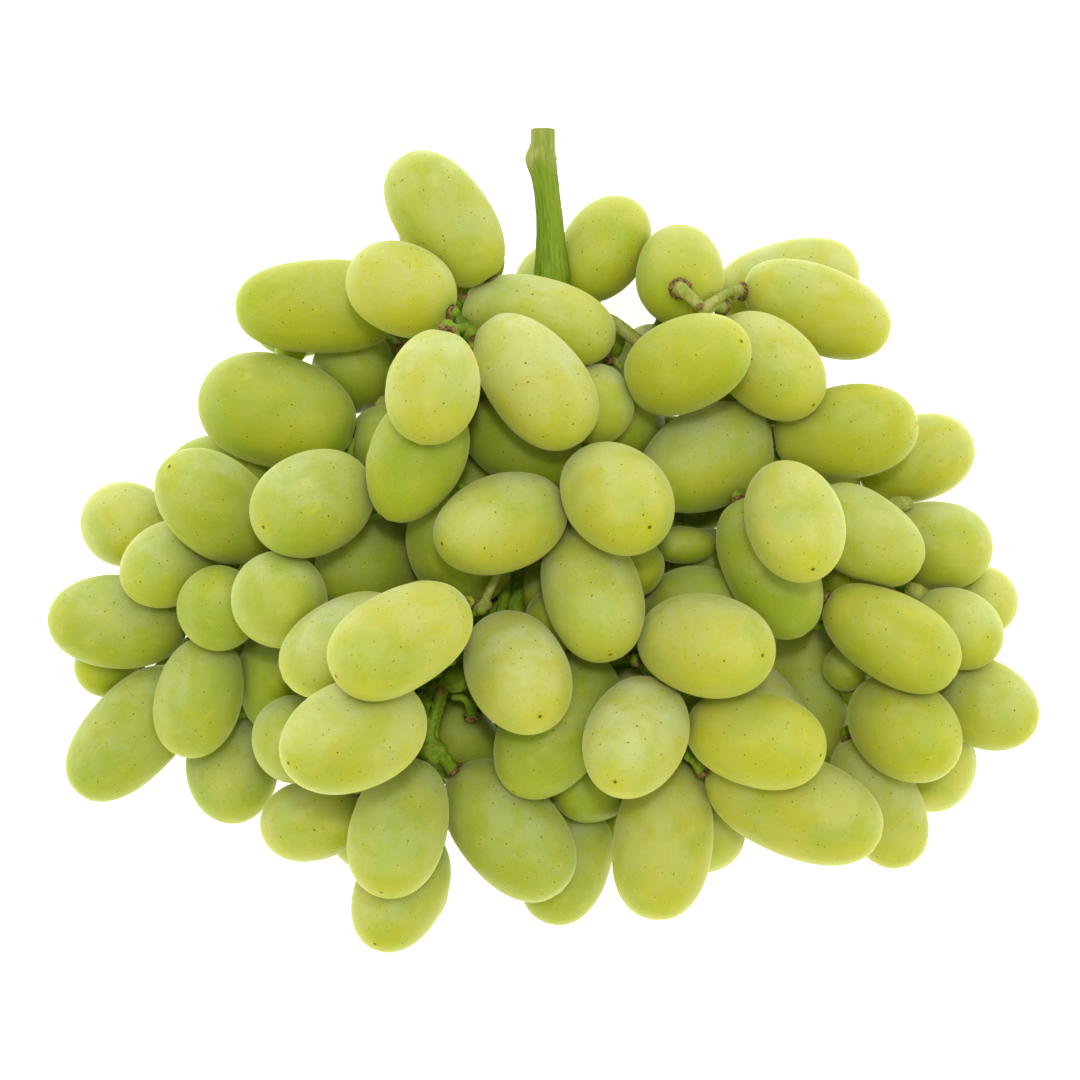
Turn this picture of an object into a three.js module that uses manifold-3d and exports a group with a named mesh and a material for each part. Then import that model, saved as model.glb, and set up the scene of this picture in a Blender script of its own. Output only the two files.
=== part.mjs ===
// A bunch of large oval green table grapes, lying on its side.
// Millimetres. Z is up, the resting surface is z = 0, the cut end of the stem points to +Y.
import * as THREE from "three";
import { mergeVertices } from "three/addons/utils/BufferGeometryUtils.js";
import Module from "manifold-3d";

// ---- driving dimensions ----
const BERRY_SIDES = 7;          // facets around a berry
const BERRY_ROWS = 5;           // bands from tip to stem end
const FULLNESS = 1.045;         // widens the facets so that a faceted berry has its real volume
const CONTACT_GAP = 0.3;        // space between two berries that press on each other
const STEM_GAP = 0.3;           // space between a stem and a berry
const NECK_RADIUS = 2.4;        // pressed patch that joins the berries of one group
const NECK_HALF = 2.6;
const PEDICEL_RADIUS = 0.85;
const RECEPTACLE_RADIUS = 1.5;
const BRANCH_SIDES = 5;
const ARM_SIDES = 5;
const RACHIS_SIDES = 7;
const STEM_TOLERANCE = 0.25;    // smallest feature kept on the stems
const FLOOR = 0;

// berry: name, centre x y z, direction of the tip x y z, half length, half width,
// roundness exponent, taper toward the stem end
const BERRIES = [
  ["C1", 14.72, 8.4, 59.89, 0.414, -0.388, 0.824, 14.89, 10.35, 2.15, 0],
  ["C4", -5, -26.36, 53.25, 0.273, -0.502, 0.821, 16.45, 10.41, 2.056, 0.017],
  ["C2", -8.34, 3.41, 57.11, -0.734, -0.258, 0.629, 15.56, 9.85, 2.112, -0.028],
  ["C5", -27.18, -18.99, 82.53, -0.794, -0.448, 0.41, 15.16, 9.59, 2.36, 0.051],
  ["T5", -21.29, 29.89, 74.29, -0.209, -0.978, 0.013, 11.42, 9.06, 2.042, 0.05],
  ["T6", -1.64, 31.87, 58.1, 0.616, -0.782, 0.096, 15.49, 9.78, 2.155, 0.08],
  ["R15", 32.61, -21.06, 54.11, 0.642, -0.093, 0.761, 16.59, 10.5, 2.127, 0.039],
  ["R14", 43.09, -40.17, 47.75, 0.826, -0.187, 0.532, 15.21, 9.63, 2.275, 0.045],
  ["R16", 18.74, -39.69, 52.31, -0.273, -0.486, 0.831, 16.23, 10.27, 2.066, -0.045],
  ["R3", 50.06, 3.89, 59.62, 0.18, -0.616, 0.767, 15.38, 9.73, 2.029, 0.007],
  ["T13", 29.23, 35.6, 51.31, 0.683, 0.263, 0.681, 14.94, 9.45, 2.231, -0.038],
  ["C7", -36.85, -37.89, 75.51, -0.73, -0.287, 0.62, 16.03, 10.84, 2.122, -0.056],
  ["C9", -29.33, -58.52, 42.68, -0.203, -0.798, 0.567, 15.51, 9.81, 2.241, 0.04],
  ["C3", 10, -10.2, 49.55, 0.225, -0.801, 0.554, 15.63, 9.89, 2.281, 0.036],
  ["L1", -25.13, 16.38, 59.8, -0.405, -0.902, 0.148, 13.6, 9.69, 2, -0.08],
  ["L6", -45.96, 7.43, 57.57, -0.657, -0.35, 0.668, 13.65, 10.38, 2.2, 0],
  ["T2", -28.41, 50.57, 53.17, -0.875, 0.397, -0.275, 11.51, 9.29, 2.175, -0.009],
  ["C6", -39.23, -20.62, 64.4, -0.853, -0.492, 0.174, 13.7, 9.09, 2.15, 0],
  ["L13", -52.82, -11.87, 54.01, 0.058, 0.209, 0.976, 11.48, 9.73, 2.057, 0],
  ["T15", 46.51, 35.9, 38.11, 0.622, -0.6, 0.503, 13.86, 9.57, 2.15, 0],
  ["R7", 71.51, -19.75, 39.95, 0.837, -0.505, 0.211, 15.37, 9.2, 2.21, 0.08],
  ["R17", 25.06, -62.17, 29.89, -0.116, -0.98, 0.159, 16.86, 10.49, 2.197, 0.031],
  ["R13", 51.82, -54.54, 34.93, 0.92, -0.343, 0.192, 19.27, 10.64, 2.173, 0.042],
  ["T1", -19.91, 65.38, 44.82, -0.59, 0.806, -0.042, 15.62, 9.5, 2.226, 0.022],
  ["T7", -0.77, 44.71, 42.83, 0.958, -0.257, 0.126, 16.11, 9.09, 2.2, 0],
  ["T3", -46.99, 48.81, 29.01, -0.997, -0.011, -0.073, 17.08, 9.7, 2.5, -0.08],
  ["R1", 62.71, 22.46, 32.53, 0.934, 0.111, 0.34, 15.45, 9.78, 2.094, 0.08],
  ["T16", 34.11, 17.01, 31.44, 0.828, 0.375, -0.416, 15.68, 10.68, 2.114, 0.059],
  ["C14", 2.99, -37.87, 37.59, -0.509, -0.765, 0.395, 17.36, 10.99, 2.119, -0.023],
  ["C8", -50.86, -40.98, 36.36, -0.194, 0.08, 0.978, 10.91, 9.1, 2.131, -0.049],
  ["L7", -55.46, 26.94, 25.63, -0.907, 0.24, -0.346, 17.52, 11.68, 2.223, 0.066],
  ["L8", -66.88, 7.02, 40.5, -0.533, 0.504, 0.68, 15.67, 9.92, 2.161, -0.013],
  ["L12", -66.48, -13.91, 39.62, 0.118, 0.483, 0.868, 10.16, 8.47, 2, 0],
  ["R4", 66.46, 0.75, 36.74, 0.852, -0.524, -0.007, 13.16, 8.84, 2.409, -0.078],
  ["R20", 46.36, -5.59, 42.71, 0.411, -0.899, 0.153, 15.5, 9.4, 2.15, 0],
  ["C15", 10.67, -51.32, 23.89, -0.623, -0.121, 0.773, 10.93, 7.75, 2.156, -0.023],
  ["C12", -6.96, -60.21, 31.14, 0.642, -0.754, 0.139, 16.72, 10.81, 2.2, 0.02],
  ["T17", 10.71, 28.04, 43.16, 0.014, -0.403, 0.915, 10, 8, 2.158, 0.037],
  ["T14", 57.46, 48.69, 24.92, 0.928, -0.367, -0.07, 16.43, 9.16, 2.129, 0.052],
  ["R10", 75.02, -38.9, 32.95, 0.493, -0.425, 0.759, 14.59, 10.18, 2.048, -0.005],
  ["L2", -4.19, 20.16, 35.27, 0.878, -0.464, 0.122, 13.16, 9.23, 2.163, 0.024],
  ["L4", -17.11, -1.42, 37.88, -0.258, 0.553, 0.792, 15.08, 10.51, 2.104, -0.02],
  ["R12", 70.77, -55.13, 21.35, 0.419, -0.889, 0.184, 14.76, 8.94, 2.155, 0.036],
  ["L11", -77.58, -4.92, 29.8, -0.528, -0.308, 0.791, 12.95, 8.77, 2.037, -0.049],
  ["L17", -71.6, -32.65, 28.98, -0.286, -0.956, -0.068, 13, 9.07, 2.15, 0],
  ["R23", 46.49, -36.09, 23.63, 0.629, -0.777, -0.007, 14.09, 8.01, 2.129, 0.001],
  ["R19", 56.45, -32.19, 10.46, 0.075, -0.997, -0.004, 16.75, 9.17, 2.085, 0.004],
  ["C11", -29.26, -72.59, 30.3, -0.34, -0.68, 0.65, 14.96, 9.47, 2.066, 0.03],
  ["C10", -48.27, -58.54, 26.83, 0.726, 0.207, 0.656, 12.15, 8.48, 2.347, 0],
  ["T4", -40.2, 36.1, 14.34, 0.123, 0.194, 0.973, 11.55, 8.89, 2.195, 0],
  ["R8", 86.35, -18.31, 27.52, 0.5, -0.287, 0.817, 11.75, 8.22, 2.201, 0.007],
  ["R5", 83.12, -1.29, 17.53, 0.627, -0.034, 0.778, 13.61, 9.6, 2.381, -0.032],
  ["R2", 79.88, 17.53, 10.03, 0.955, 0.296, 0.021, 13.06, 9.27, 2.136, 0.003],
  ["T11", 28.44, 55.21, 33.7, 0.028, 0.574, -0.819, 12.93, 9.19, 2.167, -0.05],
  ["L3", -35.85, -4.47, 30.86, -0.521, -0.257, 0.814, 14.35, 9.57, 2.15, 0],
  ["C13", 5.13, -68.68, 16.11, -0.314, -0.949, 0.003, 13.34, 9.23, 2.168, 0.014],
  ["C18", 18.64, -34.84, 21.79, -0.05, -0.395, 0.917, 10.93, 7.86, 2.117, 0],
  ["C19", 18.36, -5.48, 33.74, 0.217, 0.008, 0.976, 9.51, 6.63, 2.1, 0],
  ["R21", 31.67, -14.21, 31.98, 0.625, 0.016, 0.78, 12.24, 9.08, 2.157, 0.01],
  ["C17", -16.28, -43.87, 18.45, 0.493, -0.736, -0.464, 10.99, 7.84, 2.138, 0.02],
  ["C16", -2.86, -55.65, 8.99, -0.351, 0.075, 0.933, 10.01, 7.09, 2.15, 0],
  ["R9", 92.83, -34.26, 23.53, 0.602, -0.33, 0.728, 13.41, 9.25, 2.059, -0.02],
  ["R11", 83.75, -48.19, 11.31, -0.059, 0.484, 0.873, 12.79, 9.1, 2.081, 0],
  ["R6", 93.13, -13.05, 10.05, 0.336, -0.032, 0.941, 11.05, 7.93, 2.12, -0.017],
  ["L19", -55.38, -29.61, 22.17, 0.067, -0.93, -0.362, 11.93, 8.88, 2.211, -0.011],
  ["L18", -66.5, -48.65, 10.46, 0.074, -0.79, 0.609, 12.74, 9.85, 2.092, -0.03],
  ["L16", -87.47, -41.2, 15.01, -0.68, -0.733, 0.017, 16.9, 9.94, 2.264, -0.031],
  ["L14", -89.5, -17.18, 21.42, -0.959, 0.058, 0.277, 14.84, 9.89, 2.066, -0.005],
  ["L10", -89.41, 3.55, 11.61, 0.474, -0.096, 0.875, 13.15, 8.99, 2.17, 0.08],
  ["L9", -67.85, 13.08, 10.86, -0.93, 0.101, -0.354, 13.54, 9.7, 2.099, -0.015],
  ["T9", 12.75, 60.89, 26.39, 0.534, 0.803, -0.263, 12.51, 8.98, 2, 0.04],
  ["T12", 52.41, 55.31, 8.86, 0.96, 0.207, 0.188, 15.95, 8.9, 2.313, 0.037],
  ["R18", 34.89, -62.41, 11.13, -0.05, 0.238, 0.97, 11.99, 8.58, 2.108, 0],
  ["C20", -35.46, -61.8, 11.92, -0.279, 0.086, 0.957, 12.88, 9.41, 2.15, 0],
  ["L15", -93.39, -27.24, 8.49, -0.306, 0.038, 0.951, 9.43, 6.45, 2.1, 0],
  ["R22", 35.19, -6.08, 13.96, -0.062, 0.216, 0.974, 12.52, 8.64, 2.154, 0],
  ["R24", 63.67, -4.13, 21.46, -0.099, -0.58, 0.808, 10.07, 7.37, 2.205, 0],
  ["T18", 17.88, 24.48, 26.79, -0.279, -0.035, 0.96, 10.33, 7.53, 2.15, 0],
  ["T19", 24.48, 36.79, 13.03, 0.255, -0.159, 0.954, 14.08, 9.56, 2.076, 0.02],
  ["T10", 3.31, 53.36, 11.64, 0.04, -0.486, 0.873, 13.11, 9.46, 2.072, 0],
  ["L5", -15.27, 10.71, 21.05, -0.318, -0.015, 0.948, 12.05, 8.86, 2.15, 0],
  ["L20", -32.97, 21.06, 25.49, 0.412, -0.028, 0.911, 10.03, 7.34, 2.15, 0],
  ["C21", 3.95, -16.56, 32.86, -0.406, 0.039, 0.913, 10.03, 7.08, 2.092, -0.013],
  ["H00", 73.87, -20.51, 9.62, 0.795, -0.606, -0.01, 14.08, 10.32, 2.15, 0],
  ["H01", -71.13, -6.64, 9.72, -0.82, -0.572, -0.003, 12.03, 9.63, 2.15, 0],
  ["H02", 34.15, -42.47, 10.44, 0.995, 0.076, -0.067, 14.16, 10.54, 2.15, 0],
  ["H03", -43.87, 15.79, 9.77, -0.808, 0.586, -0.06, 13.25, 10.02, 2.15, 0],
  ["H04", 53.23, -57.27, 9.38, 0.975, -0.221, -0.007, 11.57, 9.38, 2.15, 0],
  ["H05", 29.88, 14.38, 10.2, 0.763, -0.646, -0.013, 14.21, 10.65, 2.15, 0],
  ["H06", -22.11, 25.5, 9.91, -0.89, -0.447, -0.084, 13.55, 10.25, 2.15, 0],
  ["H07", -38.41, -42.58, 20.8, -0.908, -0.207, -0.364, 12.95, 9.82, 2.15, 0],
  ["H08", 4.33, 25.88, 10.01, 0.958, -0.197, -0.207, 13.82, 10.29, 2.15, 0],
  ["H09", -65, -25.86, 8.64, -0.593, -0.806, -0.002, 12.56, 8.95, 2.15, 0],
  ["H10", 54.84, 14.03, 10.32, 0.858, -0.511, -0.051, 14.51, 10.43, 2.15, 0],
  ["H11", 29.31, -22.56, 14.36, 0.923, -0.358, -0.139, 11.66, 8.8, 2.15, 0],
  ["H12", 8.94, -42.58, 8.95, 0.955, 0.248, -0.16, 12.24, 9.03, 2.15, 0],
  ["H13", 2.35, -21.05, 10.4, 0.994, -0.091, -0.054, 14.55, 10.88, 2.15, 0],
  ["H14", -45.69, -6.06, 9.76, -0.965, -0.25, -0.077, 13.96, 10.14, 2.15, 0],
  ["H15", -42.32, -26.15, 9.23, -0.966, 0.077, -0.247, 11.34, 9.16, 2.15, 0],
  ["H16", 16.27, -1.53, 9.92, 0.452, -0.888, -0.084, 14.65, 10.59, 2.15, 0],
  ["H17", 45.84, 33.89, 18.51, 0.943, -0.304, 0.133, 12.6, 8.93, 2.15, 0],
  ["H18", -19.21, -5.6, 10.87, -0.597, 0.74, -0.31, 13.61, 10.68, 2.15, 0],
  ["H19", 52.85, -6.95, 9.05, 0.41, 0.669, -0.62, 11.21, 8.71, 2.15, 0],
  ["H20", -19.82, -30.3, 8.42, -0.934, 0.006, -0.356, 11.68, 8.64, 2.15, 0],
  ["H21", -8.45, 41.72, 22.86, -0.106, -0.275, -0.956, 12.35, 9.13, 2.15, 0],
  ["H22", -23.32, 45.89, 9.28, -0.816, -0.573, -0.083, 11.68, 9.29, 2.15, 0],
  ["H23", -40.8, -23.15, 40.71, -0.964, -0.234, -0.127, 12.84, 9.24, 2.15, 0],
  ["H24", -51.06, 48.73, 8.27, -0.961, -0.251, -0.114, 11.8, 8.93, 2.15, 0],
  ["H25", -37.6, -38.26, 52.52, -0.888, -0.455, 0.062, 11.75, 8.85, 2.15, 0],
  ["H26", -19.02, 61.87, 26.48, -0.734, 0.667, 0.131, 12.46, 8.78, 2.15, 0],
  ["H27", -27.73, -20.33, 22.63, -0.523, 0.093, -0.847, 11.1, 8.67, 2.15, 0],
  ["H28", -22.51, 31.89, 36.98, -0.097, 0.137, -0.986, 13.05, 9.74, 2.15, 0],
  ["H29", 48.14, 4.04, 22.57, 0.877, -0.47, -0.102, 9.27, 7.45, 2.15, 0],
  ["H30", 48.67, -10.52, 25.88, 0.748, 0.622, 0.233, 8.28, 7.41, 2.15, 0],
  ["H31", 18.83, -58.32, 7.85, 0.665, -0.714, -0.217, 9.08, 7.77, 2.15, 0],
  ["H32", -27.96, -45.86, 6.9, -0.87, -0.482, -0.105, 8.46, 7.07, 2.15, 0],
  ["H33", 12.37, 11.1, 25.75, 0.969, 0.11, -0.22, 9.58, 7.38, 2.15, 0],
  ["H34", -2.84, 0.73, 7.41, -0.046, -0.993, -0.108, 8.87, 8.1, 2.15, 0],
  ["H35", -54.68, -9.23, 26.17, -0.99, 0.075, 0.116, 9.68, 7.82, 2.15, 0],
  ["H36", -46.93, 5.62, 22.98, -0.59, 0.737, 0.331, 8.84, 7.02, 2.15, 0],
  ["H37", 95.46, -36.24, 6.93, 0.842, 0.537, -0.052, 9.09, 7.05, 2.15, 0],
  ["H38", -33.25, -38.7, 37.27, -0.989, -0.105, 0.107, 8.23, 7.11, 2.15, 0],
  ["H39", 28.89, 54, 13.54, 0.549, -0.179, -0.817, 9.38, 7.86, 2.15, 0],
  ["H40", 14.79, 8.23, 40.05, 0.908, 0.037, 0.417, 8.53, 7.3, 2.15, 0],
  ["H41", -24.82, -16.13, 49.88, -0.408, -0.55, 0.728, 9.28, 7.3, 2.15, 0],
  ["H42", -28.08, -76.73, 7.13, -0.559, -0.827, -0.054, 8.82, 7.2, 2.15, 0],
  ["H43", -50.65, -40.22, 6.94, -0.93, 0.365, 0.036, 7.78, 7.04, 2.15, 0],
  ["H44", -46.66, 7.73, 38.71, -0.878, 0.45, 0.165, 8.51, 7.47, 2.15, 0],
  ["H45", -27.22, 15.72, 40.29, -0.937, -0.112, 0.332, 9.16, 7.57, 2.15, 0],
];

// flat where two berries press: first berry, second berry, normal from first to second, offset
const CONTACTS = [
  [0, 2, -0.942, -0.2573, -0.2155, -17.59],
  [0, 13, -0.2369, -0.8037, -0.5459, -31.993],
  [0, 123, 0.2145, -0.1321, -0.9678, -43.624],
  [1, 13, 0.8307, 0.5565, -0.0156, -9.11],
  [1, 28, 0.4199, -0.5641, -0.711, -14.769],
  [2, 13, 0.7005, -0.6126, -0.366, -16.398],
  [2, 41, -0.6105, -0.0655, -0.7893, -30.817],
  [3, 11, -0.1797, -0.8074, -0.562, -15.765],
  [4, 14, -0.1109, -0.4566, -0.8828, -67.454],
  [5, 24, 0.2324, 0.4924, -0.8388, -23.125],
  [5, 37, 0.5851, -0.0494, -0.8095, -38.955],
  [6, 8, -0.4724, -0.8729, -0.1221, 7.494],
  [6, 13, -0.9199, 0.3275, 0.2158, -13.178],
  [6, 58, 0.3557, 0.3788, -0.8544, -31.03],
  [7, 8, -0.9597, 0.0743, 0.2711, -18.722],
  [7, 22, 0.1957, -0.6668, -0.7191, 10.235],
  [8, 28, -0.8063, 0.0488, -0.5895, -37.213],
  [9, 34, -0.2478, -0.5502, -0.7974, -52.129],
  [10, 37, -0.9142, -0.3667, -0.1726, -35.131],
  [11, 17, -0.3653, 0.8101, -0.4586, -40.737],
  [12, 47, 0.0139, -0.667, -0.7449, 16.427],
  [12, 121, -0.3264, 0.9419, -0.0797, -35.63],
  [13, 57, 0.7296, 0.0954, -0.6772, -17.083],
  [13, 82, -0.4615, -0.4772, -0.7478, -26.636],
  [13, 123, 0.3701, 0.8442, -0.3878, -10.233],
  [14, 15, -0.9472, -0.1874, -0.2603, 15.596],
  [15, 18, -0.2643, -0.9336, -0.2421, 2.032],
  [15, 127, -0.1743, -0.0747, -0.9819, -37.687],
  [16, 23, 0.5248, 0.7036, -0.479, 4.167],
  [17, 18, -0.6366, 0.5876, -0.4994, -10.196],
  [17, 124, 0.5684, 0.0231, -0.8224, -64.359],
  [18, 32, -0.8027, -0.0202, -0.596, 20.947],
  [19, 26, 0.5739, -0.6382, -0.5132, -5.048],
  [19, 100, 0.0678, -0.2146, -0.9744, -31.302],
  [20, 33, 0.2371, 0.9647, -0.1143, 3.077],
  [20, 39, -0.1139, -0.8687, -0.482, -0.462],
  [20, 50, 0.6673, 0.2387, -0.7055, 25.137],
  [21, 22, 0.9029, 0.371, 0.2173, 18.086],
  [21, 35, -0.8449, 0.3315, -0.4197, -43.534],
  [21, 72, 0.5907, -0.0341, -0.8062, 3.097],
  [22, 45, 0.2332, 0.7269, -0.6459, -39.688],
  [23, 24, 0.4098, -0.8695, -0.2756, -62.776],
  [23, 109, -0.0418, -0.1166, -0.9923, -41.707],
  [24, 37, 0.2125, -0.9598, -0.1831, -40.254],
  [24, 104, -0.1737, -0.2057, -0.9631, -40.968],
  [25, 49, 0.1144, -0.7023, -0.7026, -50.538],
  [26, 27, -0.9882, -0.1124, -0.1038, -53.023],
  [27, 77, -0.8001, 0.5203, -0.2984, -16.857],
  [27, 88, -0.231, -0.1703, -0.9579, -29.839],
  [27, 112, 0.5012, -0.7632, -0.4078, 2.884],
  [27, 123, -0.7912, -0.4528, 0.4111, -6.478],
  [28, 35, 0.3532, -0.6597, -0.6634, 12.234],
  [28, 36, -0.4788, -0.7191, -0.5036, 20.248],
  [28, 56, 0.7631, -0.2311, -0.6035, 0.722],
  [28, 82, -0.2347, 0.9676, -0.0928, -26.742],
  [29, 64, -0.2584, 0.4981, -0.8278, -27.398],
  [29, 90, 0.562, -0.1042, -0.8205, -43.76],
  [30, 49, 0.6207, 0.5651, -0.5435, -21.412],
  [30, 69, -0.2179, -0.7771, -0.5905, -11.802],
  [30, 81, 0.9329, -0.2329, -0.2746, -49.652],
  [30, 86, 0.3796, -0.4406, -0.8135, -42.353],
  [31, 43, -0.6523, -0.529, -0.5428, 28.398],
  [32, 43, -0.667, 0.5529, -0.4993, 25.34],
  [32, 44, -0.2378, -0.8541, -0.4625, 18.98],
  [33, 76, -0.1866, -0.4453, -0.8757, -36.552],
  [34, 58, -0.7522, -0.4703, -0.4616, -43.011],
  [35, 36, -0.7784, -0.5775, 0.246, 37.031],
  [35, 55, -0.337, -0.8291, -0.4461, 35.656],
  [35, 95, -0.2953, 0.5438, -0.7855, -41.409],
  [36, 55, 0.4325, -0.2058, -0.8778, -6.553],
  [36, 59, -0.2096, 0.5841, -0.7841, -44.305],
  [37, 40, -0.6678, -0.634, -0.3899, -33.763],
  [37, 77, 0.4894, -0.3988, -0.7755, -31.189],
  [38, 71, -0.001, 0.3689, -0.9295, 3.433],
  [39, 42, -0.2851, -0.751, -0.5956, -1.5],
  [40, 111, -0.8038, 0.5582, 0.2058, 34.23],
  [40, 116, 0.6176, -0.4357, -0.6548, -22.875],
  [41, 54, -0.9146, -0.0636, -0.3993, 11.128],
  [41, 80, 0.0253, 0.718, -0.6955, -17.525],
  [41, 128, -0.4291, 0.8919, -0.1426, 12.344],
  [42, 62, 0.8235, 0.3743, -0.4263, 37.082],
  [43, 67, -0.5217, -0.6907, -0.5007, 37.481],
  [43, 84, 0.2194, -0.219, -0.9507, -32.785],
  [44, 64, 0.928, 0.0851, -0.3627, -70.506],
  [44, 66, -0.5931, -0.0321, -0.8045, 29.436],
  [45, 46, 0.494, 0.1876, -0.849, 3.994],
  [45, 85, -0.5316, -0.3689, -0.7624, -21.832],
  [46, 83, 0.8803, 0.4719, -0.0491, 44.209],
  [46, 87, -0.2776, -0.958, -0.0713, 30.263],
  [46, 102, -0.2466, 0.9686, 0.0331, -28.661],
  [47, 73, -0.5557, 0.4173, -0.7191, -24.775],
  [48, 73, 0.7119, -0.2031, -0.6723, -32.492],
  [48, 90, 0.3683, 0.8139, -0.4494, -68.673],
  [49, 105, 0.8363, 0.4856, -0.2544, -10.979],
  [49, 107, -0.535, 0.7972, -0.2796, 54.87],
  [50, 51, 0.0334, 0.9605, -0.2764, -13.136],
  [50, 61, 0.2754, -0.8832, -0.3797, 37.61],
  [50, 83, -0.4701, -0.3, -0.8301, -47.048],
  [51, 63, 0.5811, -0.6914, -0.4293, 51.019],
  [52, 93, -0.9539, -0.2965, 0.0474, -68.258],
  [53, 70, -0.9211, 0.2929, -0.2564, -9.412],
  [53, 122, -0.0408, -0.2322, -0.9718, -35.824],
  [54, 106, 0.0087, -0.9596, 0.2811, 23.779],
  [54, 119, -0.6936, 0.5379, -0.4793, 16.99],
  [54, 127, -0.5344, 0.7944, 0.2886, 34.316],
  [55, 60, -0.6803, 0.6096, -0.4069, -42.328],
  [55, 114, 0.7453, 0.4423, -0.4989, -23.444],
  [56, 85, 0.6874, -0.4909, -0.5353, 26.367],
  [56, 94, 0.5998, 0.7688, -0.2219, -11.809],
  [56, 95, -0.4933, -0.5683, -0.6585, 4.212],
  [57, 58, 0.7858, -0.5821, -0.209, 17.051],
  [58, 75, 0.3451, 0.5921, -0.7283, -11.637],
  [58, 94, -0.1098, -0.4727, -0.8743, -13.78],
  [59, 103, 0.0028, 0.7569, -0.6535, -37.308],
  [60, 95, 0.4983, 0.8646, 0.0647, -42.245],
  [61, 62, -0.5229, -0.7695, -0.3666, -21.369],
  [61, 120, 0.3205, -0.243, -0.9155, 26.302],
  [62, 120, 0.6741, 0.6853, -0.2756, 29.034],
  [64, 90, 0.7599, -0.6411, -0.1075, -14.947],
  [64, 92, -0.5133, 0.3159, -0.798, 9.806],
  [64, 98, 0.5947, 0.2771, -0.7547, -48.993],
  [65, 92, -0.0537, 0.9981, 0.0287, -33.159],
  [65, 126, 0.8955, 0.4233, -0.1377, -71.036],
  [66, 74, -0.606, 0.7105, -0.3576, 28.12],
  [66, 92, 0.887, 0.2553, -0.3847, -78.784],
  [67, 74, -0.2956, -0.6891, -0.6616, 33.554],
  [67, 84, 0.5194, 0.5818, -0.6259, -57.922],
  [69, 84, -0.0331, -0.9972, -0.0674, -2.159],
  [69, 86, 0.913, 0.357, -0.1977, -47.377],
  [70, 79, -0.4822, -0.4009, -0.779, -42.188],
  [71, 122, -0.9032, 0.0537, 0.4259, -26.639],
  [72, 87, 0.9465, 0.3112, -0.0854, 20.906],
  [72, 114, -0.9718, 0.1773, -0.1553, -38.325],
  [73, 125, 0.5216, -0.8442, -0.1233, 41.899],
  [75, 88, -0.0751, 0.975, -0.2093, -2.934],
  [75, 94, -0.3561, -0.9251, 0.1316, 3.54],
  [75, 99, -0.9863, 0.0741, -0.1474, -29.06],
  [75, 102, 0.9857, -0.1478, -0.0812, 43.24],
  [76, 102, -0.6994, -0.2507, -0.6693, -50.006],
  [77, 78, 0.477, 0.8037, -0.3558, 26.698],
  [77, 116, -0.2749, -0.9572, -0.0905, -23.687],
  [78, 100, 0.9969, 0.028, 0.0737, 36.176],
  [79, 104, -0.735, -0.5971, 0.3212, -20.143],
  [80, 89, -0.3833, 0.7933, -0.473, 13.779],
  [80, 101, -0.3796, -0.7812, -0.4956, -4.091],
  [81, 86, -0.4831, -0.4212, -0.7676, -3.008],
  [81, 89, 0.5668, 0.1778, -0.8045, -27.298],
  [81, 111, 0.5661, 0.7252, 0.3921, 14.845],
  [81, 128, 0.32, -0.3478, 0.8813, 14.072],
  [84, 92, 0.5226, -0.8505, -0.0601, -22.354],
  [84, 97, 0.9847, -0.1731, -0.0185, -57.805],
  [85, 95, -0.9733, 0.1247, -0.1928, -27.051],
  [86, 89, 0.8318, 0.555, -0.0068, -17.509],
  [86, 97, -0.0879, -0.9961, 0.0005, -0.706],
  [86, 119, -0.2343, -0.5651, 0.7911, 19.129],
  [88, 93, 0.9558, 0.293, 0.0232, 44.59],
  [88, 99, -0.6885, -0.7252, 0.0027, -20.826],
  [89, 91, 0.9958, -0.0431, 0.0803, -9.419],
  [89, 105, -0.2661, 0.9626, -0.0516, 40.27],
  [90, 121, 0.1324, 0.2152, 0.9676, 16.526],
  [90, 126, -0.4626, 0.2131, -0.8606, 1.966],
  [93, 102, -0.1991, -0.9652, -0.1696, -15.24],
  [93, 112, -0.3194, -0.6263, 0.7112, -8.916],
  [94, 99, -0.4401, 0.8611, -0.2546, -25.438],
  [95, 114, 0.4222, -0.9056, -0.0407, 51.294],
  [96, 99, 0.5879, 0.8085, -0.026, -3.723],
  [96, 101, -0.7811, 0.6186, 0.0848, -0.525],
  [96, 103, -0.7805, -0.6233, -0.0479, 23.627],
  [97, 118, -0.2688, -0.1388, 0.9531, 32.805],
  [97, 119, -0.0301, 0.5968, 0.8018, 15.462],
  [98, 110, 0.6114, 0.4208, 0.6701, -20.544],
  [98, 126, -0.4227, -0.8995, -0.1104, 49.893],
  [99, 117, -0.9872, -0.0176, -0.1585, -6.224],
  [101, 117, 0.9028, 0.3747, -0.2111, -11.535],
  [102, 113, -0.1778, -0.0509, 0.9828, 10.025],
  [103, 115, -0.2994, -0.9535, -0.0354, 43.73],
  [104, 105, -0.6898, 0.4338, -0.5796, 20.891],
  [106, 124, 0.6841, 0.4011, 0.6092, -0.384],
  [108, 121, 0.1183, -0.0744, -0.9902, -44.906],
  [111, 128, -0.2319, -0.9697, 0.0774, -13.32],
  [112, 113, -0.0648, -0.958, 0.2794, 6.715],
  [116, 123, 0.1837, -0.1967, 0.9631, 32.038],
  [1, 82, 0.5922, 0.4428, -0.6732, -36.95],
  [2, 14, -0.7361, 0.676, -0.0331, 17.488],
  [12, 36, 0.8633, -0.015, -0.5044, -34.107],
  [18, 106, 0.4825, -0.5976, -0.6404, -41.896],
  [22, 42, 0.6251, 0.086, -0.7758, 13.734],
  [26, 100, -0.4034, 0.6515, -0.6425, -19.664],
  [27, 100, 0.3733, 0.7507, -0.545, 23.196],
  [29, 48, 0.2475, -0.9382, -0.2417, 27.21],
  [29, 106, 0.2863, 0.9375, 0.1978, -36.276],
  [29, 121, 0.9743, 0.1617, 0.1571, -41.179],
  [31, 32, -0.0965, -0.9706, 0.2205, 19.65],
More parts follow.
